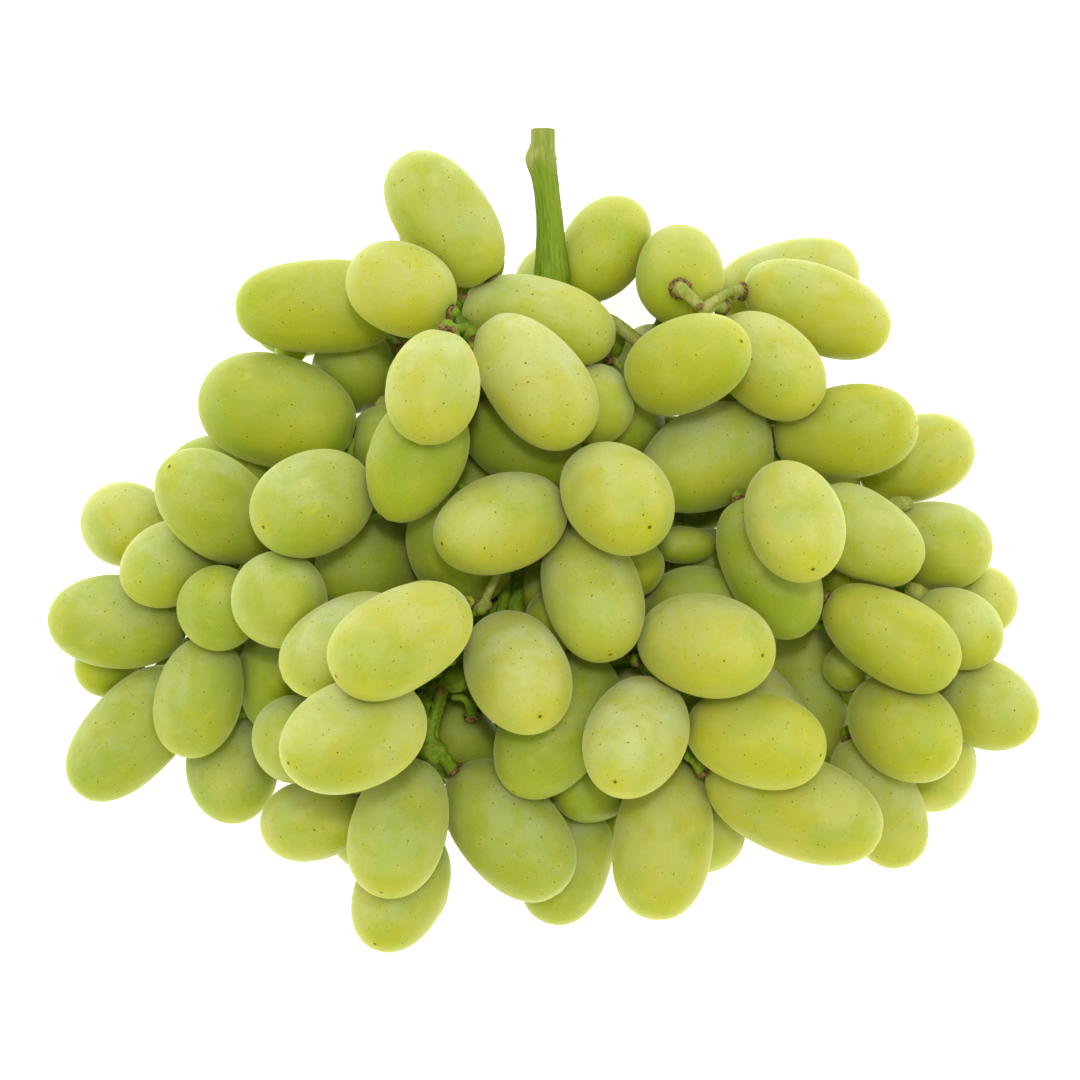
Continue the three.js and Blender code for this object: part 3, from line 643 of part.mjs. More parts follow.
// pedicels: berry index, stem end of the berry, point outside it, point on the branch
const PEDICELS = [
  [0, [[8.55, 14.17, 47.63], [7.89, 14.79, 46.32], [7, 14.61, 46.2]]],
  [1, [[-9.49, -18.1, 39.75], [-9.93, -17.3, 38.43], [-9.5, -16.89, 38.7]]],
  [2, [[3.07, 7.42, 47.33], [4.25, 7.84, 46.33], [4, 8.61, 46.2]]],
  [3, [[-15.13, -12.2, 76.31], [-13.86, -11.49, 75.65], [-15.5, -12.39, 74.7]]],
  [4, [[-18.91, 41.06, 74.13], [-18.57, 42.62, 74.11], [-17, 40.11, 73.2]]],
  [5, [[-11.18, 43.98, 56.61], [-12.17, 45.23, 56.46], [-9.5, 44.61, 53.7]]],
  [6, [[21.96, -19.53, 41.49], [20.93, -19.38, 40.27], [20.5, -19.89, 40.2]]],
  [7, [[30.53, -37.32, 39.66], [29.2, -37.02, 38.81], [29.5, -36.39, 38.7]]],
  [8, [[23.16, -31.81, 38.84], [23.6, -31.03, 37.51], [23.5, -30.39, 37.2]]],
  [9, [[47.28, 13.36, 47.82], [46.99, 14.35, 46.59], [47.5, 14.61, 46.2]]],
  [10, [[19.03, 31.67, 41.13], [17.93, 31.25, 40.04], [17.5, 31.11, 40.2]]],
  [11, [[-25.15, -33.28, 65.56], [-23.98, -32.82, 64.57], [-24.5, -33.39, 64.2]]],
  [12, [[-26.18, -46.14, 33.88], [-25.86, -44.86, 32.98], [-26, -43.89, 32.7]]],
  [13, [[6.47, 2.33, 40.89], [6.11, 3.61, 40], [7, 4.11, 40.2]]],
  [14, [[-19.66, 28.57, 57.27], [-19.02, 29.99, 56.93], [-18.5, 31.11, 56.7]]],
  [15, [[-37, 12.21, 48.46], [-35.95, 12.77, 47.39], [-35, 13.11, 47.7]]],
  [16, [[-18.33, 45.99, 56.34], [-16.93, 45.36, 56.79], [-18.5, 46.11, 56.7]]],
  [17, [[-27.62, -13.93, 61.57], [-26.27, -13.15, 61.21], [-26, -12.39, 61.2]]],
  [18, [[-53.49, -14.27, 42.8], [-53.58, -14.61, 41.24], [-53, -15.39, 40.2]]],
  [20, [[58.64, -11.98, 36.7], [57.3, -11.17, 36.37], [56.5, -10.89, 35.7]]],
  [21, [[27, -45.73, 26.71], [27.18, -44.18, 26.38], [26.5, -43.89, 26.7]]],
  [22, [[34.14, -47.96, 30.98], [32.68, -47.42, 30.64], [32.5, -46.89, 31.2]]],
  [25, [[-30.07, 49.01, 27.07], [-28.5, 49.03, 26.75], [-27.5, 49.11, 26.7]]],
  [27, [[20.68, 10.93, 32.78], [19.26, 10.29, 32.41], [19, 10.11, 32.7]]],
  [28, [[11.82, -24.59, 30.74], [12.64, -23.37, 30.11], [13, -22.89, 29.7]]],
  [33, [[55.44, 7.53, 34.2], [54.11, 8.34, 33.84], [53.5, 8.61, 34.2]]],
  [41, [[-13.21, -9.76, 25.94], [-12.8, -10.65, 24.67], [-12.5, -10.89, 23.7]]],
  [44, [[-67.92, -20.37, 27.59], [-67.47, -18.88, 27.24], [-68, -18.39, 26.7]]],
  [47, [[-24.17, -62.43, 20.57], [-23.63, -61.34, 19.53], [-23, -60.39, 19.2]]],
  [50, [[80.47, -14.95, 17.93], [79.67, -14.49, 16.62], [79, -13.89, 16.2]]],
  [51, [[74.59, -0.83, 6.94], [73.59, -0.78, 5.69], [73, -0.39, 5.7]]],
  [55, [[9.26, -56.2, 14.25], [9.74, -54.72, 13.89], [10, -54.39, 13.2]]],
  [57, [[16.29, -5.56, 24.46], [15.94, -5.57, 22.9], [16, -4.89, 22.2]]],
  [62, [[76.3, -48.2, 4.79], [74.91, -47.96, 4.04], [74.5, -48.39, 4.2]]],
  [64, [[-56.21, -18.1, 21.71], [-56.32, -16.54, 21.34], [-56, -16.89, 20.7]]],
  [67, [[-75.27, -18.04, 17.3], [-73.73, -18.13, 16.86], [-74, -18.39, 16.2]]],
  [77, [[20.76, 24.84, 16.87], [21.21, 24.9, 15.34], [20.5, 25.11, 14.7]]],
  [84, [[-61.26, 0.23, 9.76], [-59.95, 1.15, 9.77], [-59, 1.11, 10.2]]],
  [89, [[-10.05, 31.56, 11.05], [-8.63, 32.28, 11.18], [-8, 32.61, 11.7]]],
  [90, [[-26.65, -39.9, 25.52], [-25.2, -39.56, 26.1], [-24.5, -39.39, 26.7]]],
  [91, [[-8.91, 28.6, 12.87], [-10.44, 28.91, 13.2], [-9.5, 29.61, 13.2]]],
  [95, [[-2.75, -45.62, 10.91], [-4.28, -46.02, 11.17], [-5, -45.39, 11.7]]],
  [98, [[-31.37, -27.02, 12.04], [-29.82, -27.15, 12.43], [-29, -27.39, 13.2]]],
  [101, [[-11.09, -15.67, 15.09], [-10.14, -16.85, 15.59], [-9.5, -16.89, 16.2]]],
  [102, [[48.26, -14.45, 16.01], [47.61, -15.52, 17], [47.5, -15.39, 17.7]]],
  [103, [[-8.9, -30.37, 12.58], [-7.41, -30.38, 13.15], [-6.5, -30.39, 13.2]]],
  [109, [[-9.88, 53.56, 24.85], [-8.7, 52.49, 24.64], [-8, 52.11, 25.2]]],
  [110, [[-21.92, -21.37, 32.03], [-21.09, -21.51, 33.38], [-21.5, -21.39, 34.2]]],
  [112, [[40.01, 8.4, 23.51], [38.61, 9.15, 23.68], [38.5, 8.61, 23.7]]],
  [114, [[12.79, -51.83, 9.83], [11.72, -50.69, 10.17], [11.5, -51.39, 10.2]]],
  [116, [[3.09, 10.05, 27.86], [1.54, 9.87, 28.21], [1, 10.11, 28.2]]],
  [117, [[-2.42, 9.54, 8.36], [-2.35, 11.12, 8.54], [-2, 11.61, 8.7]]],
  [121, [[-25.11, -37.84, 36.39], [-23.53, -37.67, 36.22], [-23, -37.89, 35.7]]],
  [127, [[-39.19, 3.9, 37.31], [-37.78, 3.18, 37.04], [-38, 4.11, 37.2]]],
  [128, [[-18.64, 16.75, 37.25], [-17.14, 16.93, 36.71], [-17, 17.61, 37.2]]],
  [53, [[27.87, 51.35, 45.7], [30.58, 48.46, 46.3], [32.99, 46.66, 43]]],
  [38, [[42.22, 54.71, 26.07], [36.9, 47.99, 38.8], [33.19, 46.46, 43]]],
  [19, [[38.46, 46.53, 33.17], [35.63, 46.29, 39.5], [33.2, 46.47, 42.8]]],
];

// berries that never grew, left on the stems: centre, radius
const UNDEVELOPED = [
  [-2.61, -9.38, 22, 5.2],
  [28.32, 0.94, 28, 4.8],
  [-53.28, 40.59, 18, 3.39],
  [63.89, -26.83, 23, 4.91],
  [-17.84, -28.58, 36, 2.9],
  [-24.02, -33.38, 39, 1.25],
  [-8.26, -13.74, 25, 2.25],
];

const wasm = await Module();
wasm.setup();
const V = (a) => new THREE.Vector3(a[0], a[1], a[2]);

function clean(geometry) {
  const g = geometry.clone();
  g.deleteAttribute("normal");
  g.deleteAttribute("uv");
  return mergeVertices(g, 1e-4);
}
function toManifold(geometry) {
  const g = clean(geometry);
  return new wasm.Manifold(new wasm.Mesh({
    numProp: 3,
    vertProperties: new Float32Array(g.attributes.position.array),
    triVerts: new Uint32Array(g.index.array),
  }));
}
function toGeometry(m) {
  const mesh = m.getMesh();
  const g = new THREE.BufferGeometry();
  g.setAttribute("position", new THREE.BufferAttribute(new Float32Array(mesh.vertProperties), 3));
  g.setIndex(new THREE.BufferAttribute(new Uint32Array(mesh.triVerts), 1));
  g.computeVertexNormals();
  return g;
}
function unionAll(list) {
  let l = list.slice();
  while (l.length > 1) {
    const next = [];
    for (let i = 0; i < l.length; i += 2) next.push(i + 1 < l.length ? l[i].add(l[i + 1]) : l[i]);
    l = next;
  }
  return l[0];
}

// ---- berries ----
function berryGeometry(i, grow) {
  const [, cx, cy, cz, ux, uy, uz, half, width, n, taper] = BERRIES[i];
  const profile = [];
  for (let k = 0; k <= BERRY_ROWS; k++) {
    const a = Math.PI * (k / BERRY_ROWS);
    const c = -Math.cos(a), s = Math.sin(a);
    const r = Math.pow(Math.pow(Math.abs(c), n) + Math.pow(s, n), -1 / n);
    const x = r * c;
    const y = k === 0 || k === BERRY_ROWS ? 0 : r * s * (1 + taper * x) * (width * FULLNESS + grow);
    profile.push(new THREE.Vector2(y, x * (half + grow)));
  }
  const g = new THREE.LatheGeometry(profile, BERRY_SIDES);
  const q = new THREE.Quaternion().setFromUnitVectors(new THREE.Vector3(0, 1, 0), new THREE.Vector3(ux, uy, uz).normalize());
  g.applyQuaternion(q);
  g.translate(cx, cy, cz);
  return g;
}
const flats = BERRIES.map(() => []);
for (const [a, b, x, y, z, off] of CONTACTS) {
  const nrm = new THREE.Vector3(x, y, z).normalize();
  flats[a].push({ other: b, n: nrm, d: off });
  flats[b].push({ other: a, n: nrm.clone().negate(), d: -off });
}
function pressedBerry(i, members, grow = 0) {
  const g = clean(berryGeometry(i, grow));
  const p = g.attributes.position;
  const v = new THREE.Vector3();
  for (let pass = 0; pass < 3; pass++) {
    for (let k = 0; k < p.count; k++) {
      v.fromBufferAttribute(p, k);
      for (const f of flats[i]) {
        if (members.includes(f.other)) continue;
        const over = v.dot(f.n) - (f.d - CONTACT_GAP / 2 + grow);
        if (over > 0) v.addScaledVector(f.n, -over);
      }
      p.setXYZ(k, v.x, v.y, v.z);
    }
  }
  return g;
}
const below = new THREE.BoxGeometry(400, 400, 60);
below.translate(0, 0, FLOOR - 30);
// flat where a berry lies on the surface
function standing(g) {
  const m = toManifold(g);
  g.computeBoundingBox();
  return g.boundingBox.min.z < FLOOR ? m.subtract(toManifold(below)) : m;
}

// ---- stems ----
function tube(points, radii, sides) {
  const pts = points.map(V);
  const curve = pts.length > 2 ? new THREE.CatmullRomCurve3(pts, false, "centripetal") : new THREE.LineCurve3(pts[0], pts[1]);
  const shape = new THREE.Shape();
  for (let k = 0; k < sides; k++) {
    const a = (2 * Math.PI * k) / sides;
    if (k === 0) shape.moveTo(Math.cos(a), Math.sin(a)); else shape.lineTo(Math.cos(a), Math.sin(a));
  }
  shape.closePath();
  const steps = Math.max(1, pts.length - 1);
  const g = clean(new THREE.ExtrudeGeometry(shape, { steps, bevelEnabled: false, extrudePath: curve, curveSegments: 1 }));
  const centres = curve.getSpacedPoints(steps);
  // radius at each ring, read along the length of the given points
  const along = [0];
  for (let k = 1; k < pts.length; k++) along.push(along[k - 1] + pts[k].distanceTo(pts[k - 1]));
  const total = along[along.length - 1];
  const radiusAt = (s) => {
    const x = s * total;
    let k = 1;
    while (k < along.length - 1 && along[k] < x) k++;
    const w = (x - along[k - 1]) / (along[k] - along[k - 1] + 1e-9);
    return radii[k - 1] + (radii[k] - radii[k - 1]) * Math.min(1, Math.max(0, w));
  };
  const p = g.attributes.position, v = new THREE.Vector3();
  for (let k = 0; k < p.count; k++) {
    v.fromBufferAttribute(p, k);
    let best = 0, bd = Infinity;
    for (let c = 0; c < centres.length; c++) {
      const e = Math.abs(v.distanceTo(centres[c]) - 1);
      const dist = e + 0.01 * v.distanceTo(centres[c]);
      if (dist < bd) { bd = dist; best = c; }
    }
    const r = radiusAt(best / steps);
    v.sub(centres[best]).multiplyScalar(r).add(centres[best]);
    p.setXYZ(k, v.x, v.y, v.z);
  }
  return g;
}
function extend(points, by) {
  const a = V(points[0]), b = V(points[1]);
  const y = V(points[points.length - 2]), z = V(points[points.length - 1]);
  const s = a.clone().sub(b).normalize().multiplyScalar(by), e = z.clone().sub(y).normalize().multiplyScalar(by);
  const out = points.map((q) => q.slice());
  out[0] = [a.x + s.x, a.y + s.y, a.z + s.z, ...points[0].slice(3)];
  out[out.length - 1] = [z.x + e.x, z.y + e.y, z.z + e.z, ...points[points.length - 1].slice(3)];
  return out;
}
function stemSolid() {
  const parts = [];
  for (const [name, pts] of MAIN_STEMS) {
    const sides = name === "rachis" ? RACHIS_SIDES : ARM_SIDES;
    parts.push(toManifold(tube(pts, pts.map((q) => q[3]), sides)));
  }
  for (const [r, pts] of BRANCHES) {
    const e = extend(pts, 0.45);
    parts.push(toManifold(tube(e, e.map(() => r), BRANCH_SIDES)));
  }
  for (const [i, pts] of PEDICELS) {
    const a = V(pts[1]), b = V(pts[2]);
    const out = a.clone().sub(V(pts[0])).normalize();
    const foot = V(pts[0]).addScaledVector(out, STEM_GAP + 0.05);
    const d = b.clone().sub(a);
    const line = [[foot.x, foot.y, foot.z], pts[1]];
    if (d.length() > 0.6) {
      d.normalize().multiplyScalar(0.5);
      line.push([b.x + d.x, b.y + d.y, b.z + d.z]);
    } else {
      line[1] = pts[2];
    }
    parts.push(toManifold(tube(line, line.map((q, k) => (k === 0 ? RECEPTACLE_RADIUS : PEDICEL_RADIUS)), BRANCH_SIDES)));
  }
  for (const [x, y, z, r] of UNDEVELOPED) {
    const ball = new THREE.IcosahedronGeometry(r, 1);
    ball.translate(x, y, z);
    parts.push(toManifold(ball));
  }
  return unionAll(parts);
}

const berrySolids = [];
const group = new THREE.Group();
group.name = "grape_bunch";
const berryColours = [0xb9c45a, 0xaebb52, 0xc3c966, 0xa5b54c];

GROUPS.forEach(([name, members], gi) => {
  const bodies = members.map((i) => standing(pressedBerry(i, members)));
  for (const [g, x, y, z, nx, ny, nz] of NECKS) {
    if (g !== gi) continue;
    const a = [x - nx * NECK_HALF, y - ny * NECK_HALF, z - nz * NECK_HALF];
    const b = [x + nx * NECK_HALF, y + ny * NECK_HALF, z + nz * NECK_HALF];
    bodies.push(toManifold(tube([a, b], [NECK_RADIUS, NECK_RADIUS], 4)));
  }
  const solid = unionAll(bodies);
  const mesh = new THREE.Mesh(
    members.length > 1 ? toGeometry(solid) : toGeometry(bodies[0]),
    new THREE.MeshStandardMaterial({ color: berryColours[gi % berryColours.length], roughness: 0.5, metalness: 0 }),
  );
  mesh.name = name;
  group.add(mesh);
});

let stem = stemSolid().asOriginal().simplify(STEM_TOLERANCE);
for (let i = 0; i < BERRIES.length; i++) {
  const around = toManifold(pressedBerry(i, [], STEM_GAP));
  if (stem.intersect(around).volume() > 1e-4) stem = stem.subtract(around);
}
stem = stem.asOriginal().simplify(STEM_TOLERANCE);
const pieces = stem.decompose().sort((a, b) => b.volume() - a.volume());
const stemMesh = new THREE.Mesh(
  toGeometry(pieces[0]),
  new THREE.MeshStandardMaterial({ color: 0x7f9a3a, roughness: 0.7, metalness: 0 }),
);
stemMesh.name = "main_stem";
group.add(stemMesh);

export default group;
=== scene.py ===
# A bunch of large oval green table grapes, lying on its side, seen from above.
# Metres in the scene; the tables below are in millimetres, in the same frame.
# +Y is toward the cut end of the stem, +Z is up from the surface.
import math

import bpy
import bmesh
import numpy as np
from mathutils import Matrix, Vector, noise as mnoise


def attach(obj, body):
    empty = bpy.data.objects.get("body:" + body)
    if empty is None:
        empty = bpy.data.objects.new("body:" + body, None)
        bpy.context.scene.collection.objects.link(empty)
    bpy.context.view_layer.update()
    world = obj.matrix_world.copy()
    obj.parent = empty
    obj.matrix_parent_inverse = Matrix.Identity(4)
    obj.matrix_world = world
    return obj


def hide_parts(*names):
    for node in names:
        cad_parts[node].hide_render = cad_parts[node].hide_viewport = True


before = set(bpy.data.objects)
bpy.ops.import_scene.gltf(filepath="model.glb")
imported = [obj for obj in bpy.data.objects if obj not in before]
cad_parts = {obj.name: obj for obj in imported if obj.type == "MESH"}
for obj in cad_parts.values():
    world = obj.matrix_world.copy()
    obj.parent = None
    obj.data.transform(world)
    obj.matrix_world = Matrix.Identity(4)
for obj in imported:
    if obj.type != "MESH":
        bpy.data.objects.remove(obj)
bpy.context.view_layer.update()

# ---------------------------------------------------------------- tables (mm)
# berry: name, centre, direction of the tip, half length, half width, roundness, taper,
# tone (green 0, yellow 1), bloom, scar at the tip
BERRIES = [
    ("C1", 14.72, 8.4, 59.89, 0.414, -0.388, 0.824, 14.89, 10.35, 2.15, 0, 0.96, 0.612, 1.0),
    ("C4", -5, -26.36, 53.25, 0.273, -0.502, 0.821, 16.45, 10.41, 2.056, 0.017, 1, 0.86, 1.0),
    ("C2", -8.34, 3.41, 57.11, -0.734, -0.258, 0.629, 15.56, 9.85, 2.112, -0.028, 0.74, 0.682, 1.0),
    ("C5", -27.18, -18.99, 82.53, -0.794, -0.448, 0.41, 15.16, 9.59, 2.36, 0.051, 1, 0.612, 1.0),
    ("T5", -21.29, 29.89, 74.29, -0.209, -0.978, 0.013, 11.42, 9.06, 2.042, 0.05, 0.98, 0.86, 0.08),
    ("T6", -1.64, 31.87, 58.1, 0.616, -0.782, 0.096, 15.49, 9.78, 2.155, 0.08, 0.99, 0.86, 1.0),
    ("R15", 32.61, -21.06, 54.11, 0.642, -0.093, 0.761, 16.59, 10.5, 2.127, 0.039, 1.0, 0.612, 1.0),
    ("R14", 43.09, -40.17, 47.75, 0.826, -0.187, 0.532, 15.21, 9.63, 2.275, 0.045, 0.98, 0.33, 1.0),
    ("R16", 18.74, -39.69, 52.31, -0.273, -0.486, 0.831, 16.23, 10.27, 2.066, -0.045, 0.97, 0.86, 1.0),
    ("R3", 50.06, 3.89, 59.62, 0.18, -0.616, 0.767, 15.38, 9.73, 2.029, 0.007, 0.96, 0.612, 1.0),
    ("T13", 29.23, 35.6, 51.31, 0.683, 0.263, 0.681, 14.94, 9.45, 2.231, -0.038, 0.73, 0.33, 1.0),
    ("C7", -36.85, -37.89, 75.51, -0.73, -0.287, 0.62, 16.03, 10.84, 2.122, -0.056, 0.78, 0.682, 1.0),
    ("C9", -29.33, -58.52, 42.68, -0.203, -0.798, 0.567, 15.51, 9.81, 2.241, 0.04, 0.76, 0.682, 1.0),
    ("C3", 10, -10.2, 49.55, 0.225, -0.801, 0.554, 15.63, 9.89, 2.281, 0.036, 0.74, 0.682, 1.0),
    ("L1", -25.13, 16.38, 59.8, -0.405, -0.902, 0.148, 13.6, 9.69, 2, -0.08, 0.33, 0.33, 0.08),
    ("L6", -45.96, 7.43, 57.57, -0.657, -0.35, 0.668, 13.65, 10.38, 2.2, 0, 0.52, 0.65, 1.0),
    ("T2", -28.41, 50.57, 53.17, -0.875, 0.397, -0.275, 11.51, 9.29, 2.175, -0.009, 0.97, 0.612, 0.08),
    ("C6", -39.23, -20.62, 64.4, -0.853, -0.492, 0.174, 13.7, 9.09, 2.15, 0, 0.75, 0.86, 0.08),
    ("L13", -52.82, -11.87, 54.01, 0.058, 0.209, 0.976, 11.48, 9.73, 2.057, 0, 0.55, 0.65, 0.08),
    ("T15", 46.51, 35.9, 38.11, 0.622, -0.6, 0.503, 13.86, 9.57, 2.15, 0, 0.99, 0.612, 1.0),
    ("R7", 71.51, -19.75, 39.95, 0.837, -0.505, 0.211, 15.37, 9.2, 2.21, 0.08, 0.77, 0.33, 1.0),
    ("R17", 25.06, -62.17, 29.89, -0.116, -0.98, 0.159, 16.86, 10.49, 2.197, 0.031, 0.96, 0.612, 1.0),
    ("R13", 51.82, -54.54, 34.93, 0.92, -0.343, 0.192, 19.27, 10.64, 2.173, 0.042, 0.96, 0.612, 0.08),
    ("T1", -19.91, 65.38, 44.82, -0.59, 0.806, -0.042, 15.62, 9.5, 2.226, 0.022, 0.74, 0.682, 0.08),
    ("T7", -0.77, 44.71, 42.83, 0.958, -0.257, 0.126, 16.11, 9.09, 2.2, 0, 0.75, 0.682, 0.08),
    ("T3", -46.99, 48.81, 29.01, -0.997, -0.011, -0.073, 17.08, 9.7, 2.5, -0.08, 0.74, 0.33, 0.08),
    ("R1", 62.71, 22.46, 32.53, 0.934, 0.111, 0.34, 15.45, 9.78, 2.094, 0.08, 0.74, 0.33, 1.0),
    ("T16", 34.11, 17.01, 31.44, 0.828, 0.375, -0.416, 15.68, 10.68, 2.114, 0.059, 0.57, 0.65, 0.08),
    ("C14", 2.99, -37.87, 37.59, -0.509, -0.765, 0.395, 17.36, 10.99, 2.119, -0.023, 0.33, 0.381, 1.0),
    ("C8", -50.86, -40.98, 36.36, -0.194, 0.08, 0.978, 10.91, 9.1, 2.131, -0.049, 0.52, 0.86, 0.08),
    ("L7", -55.46, 26.94, 25.63, -0.907, 0.24, -0.346, 17.52, 11.68, 2.223, 0.066, 0.51, 0.33, 0.08),
    ("L8", -66.88, 7.02, 40.5, -0.533, 0.504, 0.68, 15.67, 9.92, 2.161, -0.013, 0.52, 0.65, 1.0),
    ("L12", -66.48, -13.91, 39.62, 0.118, 0.483, 0.868, 10.16, 8.47, 2, 0, 0.31, 0.381, 0.08),
    ("R4", 66.46, 0.75, 36.74, 0.852, -0.524, -0.007, 13.16, 8.84, 2.409, -0.078, 0.78, 0.682, 0.08),
    ("R20", 46.36, -5.59, 42.71, 0.411, -0.899, 0.153, 15.5, 9.4, 2.15, 0, 0.27, 0.381, 0.08),
    ("C15", 10.67, -51.32, 23.89, -0.623, -0.121, 0.773, 10.93, 7.75, 2.156, -0.023, 0.31, 0.381, 0.08),
    ("C12", -6.96, -60.21, 31.14, 0.642, -0.754, 0.139, 16.72, 10.81, 2.2, 0.02, 0.51, 0.65, 0.08),
    ("T17", 10.71, 28.04, 43.16, 0.014, -0.403, 0.915, 10, 8, 2.158, 0.037, 0.54, 0.65, 0.08),
    ("T14", 57.46, 48.69, 24.92, 0.928, -0.367, -0.07, 16.43, 9.16, 2.129, 0.052, 0.99, 0.612, 0.08),
    ("R10", 75.02, -38.9, 32.95, 0.493, -0.425, 0.759, 14.59, 10.18, 2.048, -0.005, 0.79, 0.33, 0.08),
    ("L2", -4.19, 20.16, 35.27, 0.878, -0.464, 0.122, 13.16, 9.23, 2.163, 0.024, 0.28, 0.381, 0.08),
    ("L4", -17.11, -1.42, 37.88, -0.258, 0.553, 0.792, 15.08, 10.51, 2.104, -0.02, 0.32, 0.381, 0.08),
    ("R12", 70.77, -55.13, 21.35, 0.419, -0.889, 0.184, 14.76, 8.94, 2.155, 0.036, 0.79, 0.682, 1.0),
    ("L11", -77.58, -4.92, 29.8, -0.528, -0.308, 0.791, 12.95, 8.77, 2.037, -0.049, 0.57, 0.65, 0.08),
    ("L17", -71.6, -32.65, 28.98, -0.286, -0.956, -0.068, 13, 9.07, 2.15, 0, 0.51, 0.65, 0.08),
    ("R23", 46.49, -36.09, 23.63, 0.629, -0.777, -0.007, 14.09, 8.01, 2.129, 0.001, 0.98, 0.86, 0.08),
    ("R19", 56.45, -32.19, 10.46, 0.075, -0.997, -0.004, 16.75, 9.17, 2.085, 0.004, 0.57, 0.65, 0.08),
    ("C11", -29.26, -72.59, 30.3, -0.34, -0.68, 0.65, 14.96, 9.47, 2.066, 0.03, 0.75, 0.682, 1.0),
    ("C10", -48.27, -58.54, 26.83, 0.726, 0.207, 0.656, 12.15, 8.48, 2.347, 0, 0.95, 0.66, 0.08),
    ("T4", -40.2, 36.1, 14.34, 0.123, 0.194, 0.973, 11.55, 8.89, 2.195, 0, 0.3, 0.381, 0.08),
    ("R8", 86.35, -18.31, 27.52, 0.5, -0.287, 0.817, 11.75, 8.22, 2.201, 0.007, 0.78, 0.682, 0.08),
    ("R5", 83.12, -1.29, 17.53, 0.627, -0.034, 0.778, 13.61, 9.6, 2.381, -0.032, 0.76, 0.682, 0.08),
    ("R2", 79.88, 17.53, 10.03, 0.955, 0.296, 0.021, 13.06, 9.27, 2.136, 0.003, 0.95, 0.612, 0.08),
    ("T11", 28.44, 55.21, 33.7, 0.028, 0.574, -0.819, 12.93, 9.19, 2.167, -0.05, 0.73, 0.33, 0.08),
    ("L3", -35.85, -4.47, 30.86, -0.521, -0.257, 0.814, 14.35, 9.57, 2.15, 0, 0.27, 0.381, 0.08),
    ("C13", 5.13, -68.68, 16.11, -0.314, -0.949, 0.003, 13.34, 9.23, 2.168, 0.014, 0.52, 0.65, 0.08),
    ("C18", 18.64, -34.84, 21.79, -0.05, -0.395, 0.917, 10.93, 7.86, 2.117, 0, 0.57, 0.65, 0.08),
    ("C19", 18.36, -5.48, 33.74, 0.217, 0.008, 0.976, 9.51, 6.63, 2.1, 0, 0.31, 0.381, 0.08),
    ("R21", 31.67, -14.21, 31.98, 0.625, 0.016, 0.78, 12.24, 9.08, 2.157, 0.01, 0.32, 0.381, 0.08),
    ("C17", -16.28, -43.87, 18.45, 0.493, -0.736, -0.464, 10.99, 7.84, 2.138, 0.02, 0.3, 0.381, 0.08),
    ("C16", -2.86, -55.65, 8.99, -0.351, 0.075, 0.933, 10.01, 7.09, 2.15, 0, 0.31, 0.381, 0.08),
    ("R9", 92.83, -34.26, 23.53, 0.602, -0.33, 0.728, 13.41, 9.25, 2.059, -0.02, 0.78, 0.682, 0.08),
    ("R11", 83.75, -48.19, 11.31, -0.059, 0.484, 0.873, 12.79, 9.1, 2.081, 0, 1, 0.86, 0.08),
    ("R6", 93.13, -13.05, 10.05, 0.336, -0.032, 0.941, 11.05, 7.93, 2.12, -0.017, 1, 0.86, 0.08),
    ("L19", -55.38, -29.61, 22.17, 0.067, -0.93, -0.362, 11.93, 8.88, 2.211, -0.011, 0.32, 0.381, 0.08),
    ("L18", -66.5, -48.65, 10.46, 0.074, -0.79, 0.609, 12.74, 9.85, 2.092, -0.03, 0.51, 0.65, 0.08),
    ("L16", -87.47, -41.2, 15.01, -0.68, -0.733, 0.017, 16.9, 9.94, 2.264, -0.031, 0.53, 0.65, 0.08),
    ("L14", -89.5, -17.18, 21.42, -0.959, 0.058, 0.277, 14.84, 9.89, 2.066, -0.005, 0.51, 0.65, 0.08),
    ("L10", -89.41, 3.55, 11.61, 0.474, -0.096, 0.875, 13.15, 8.99, 2.17, 0.08, 0.76, 0.682, 0.08),
    ("L9", -67.85, 13.08, 10.86, -0.93, 0.101, -0.354, 13.54, 9.7, 2.099, -0.015, 0.32, 0.33, 0.08),
    ("T9", 12.75, 60.89, 26.39, 0.534, 0.803, -0.263, 12.51, 8.98, 2, 0.04, 0.73, 0.33, 0.08),
    ("T12", 52.41, 55.31, 8.86, 0.96, 0.207, 0.188, 15.95, 8.9, 2.313, 0.037, 0.96, 0.86, 0.08),
    ("R18", 34.89, -62.41, 11.13, -0.05, 0.238, 0.97, 11.99, 8.58, 2.108, 0, 0.75, 0.682, 0.08),
    ("C20", -35.46, -61.8, 11.92, -0.279, 0.086, 0.957, 12.88, 9.41, 2.15, 0, 0.52, 0.65, 0.08),
    ("L15", -93.39, -27.24, 8.49, -0.306, 0.038, 0.951, 9.43, 6.45, 2.1, 0, 0.32, 0.381, 0.08),
    ("R22", 35.19, -6.08, 13.96, -0.062, 0.216, 0.974, 12.52, 8.64, 2.154, 0, 0.29, 0.381, 0.08),
    ("R24", 63.67, -4.13, 21.46, -0.099, -0.58, 0.808, 10.07, 7.37, 2.205, 0, 0.31, 0.381, 0.08),
    ("T18", 17.88, 24.48, 26.79, -0.279, -0.035, 0.96, 10.33, 7.53, 2.15, 0, 0.3, 0.381, 0.08),
    ("T19", 24.48, 36.79, 13.03, 0.255, -0.159, 0.954, 14.08, 9.56, 2.076, 0.02, 0.55, 0.65, 0.08),
    ("T10", 3.31, 53.36, 11.64, 0.04, -0.486, 0.873, 13.11, 9.46, 2.072, 0, 0.33, 0.381, 0.08),
    ("L5", -15.27, 10.71, 21.05, -0.318, -0.015, 0.948, 12.05, 8.86, 2.15, 0, 0.33, 0.381, 0.08),
    ("L20", -32.97, 21.06, 25.49, 0.412, -0.028, 0.911, 10.03, 7.34, 2.15, 0, 0.27, 0.381, 0.08),
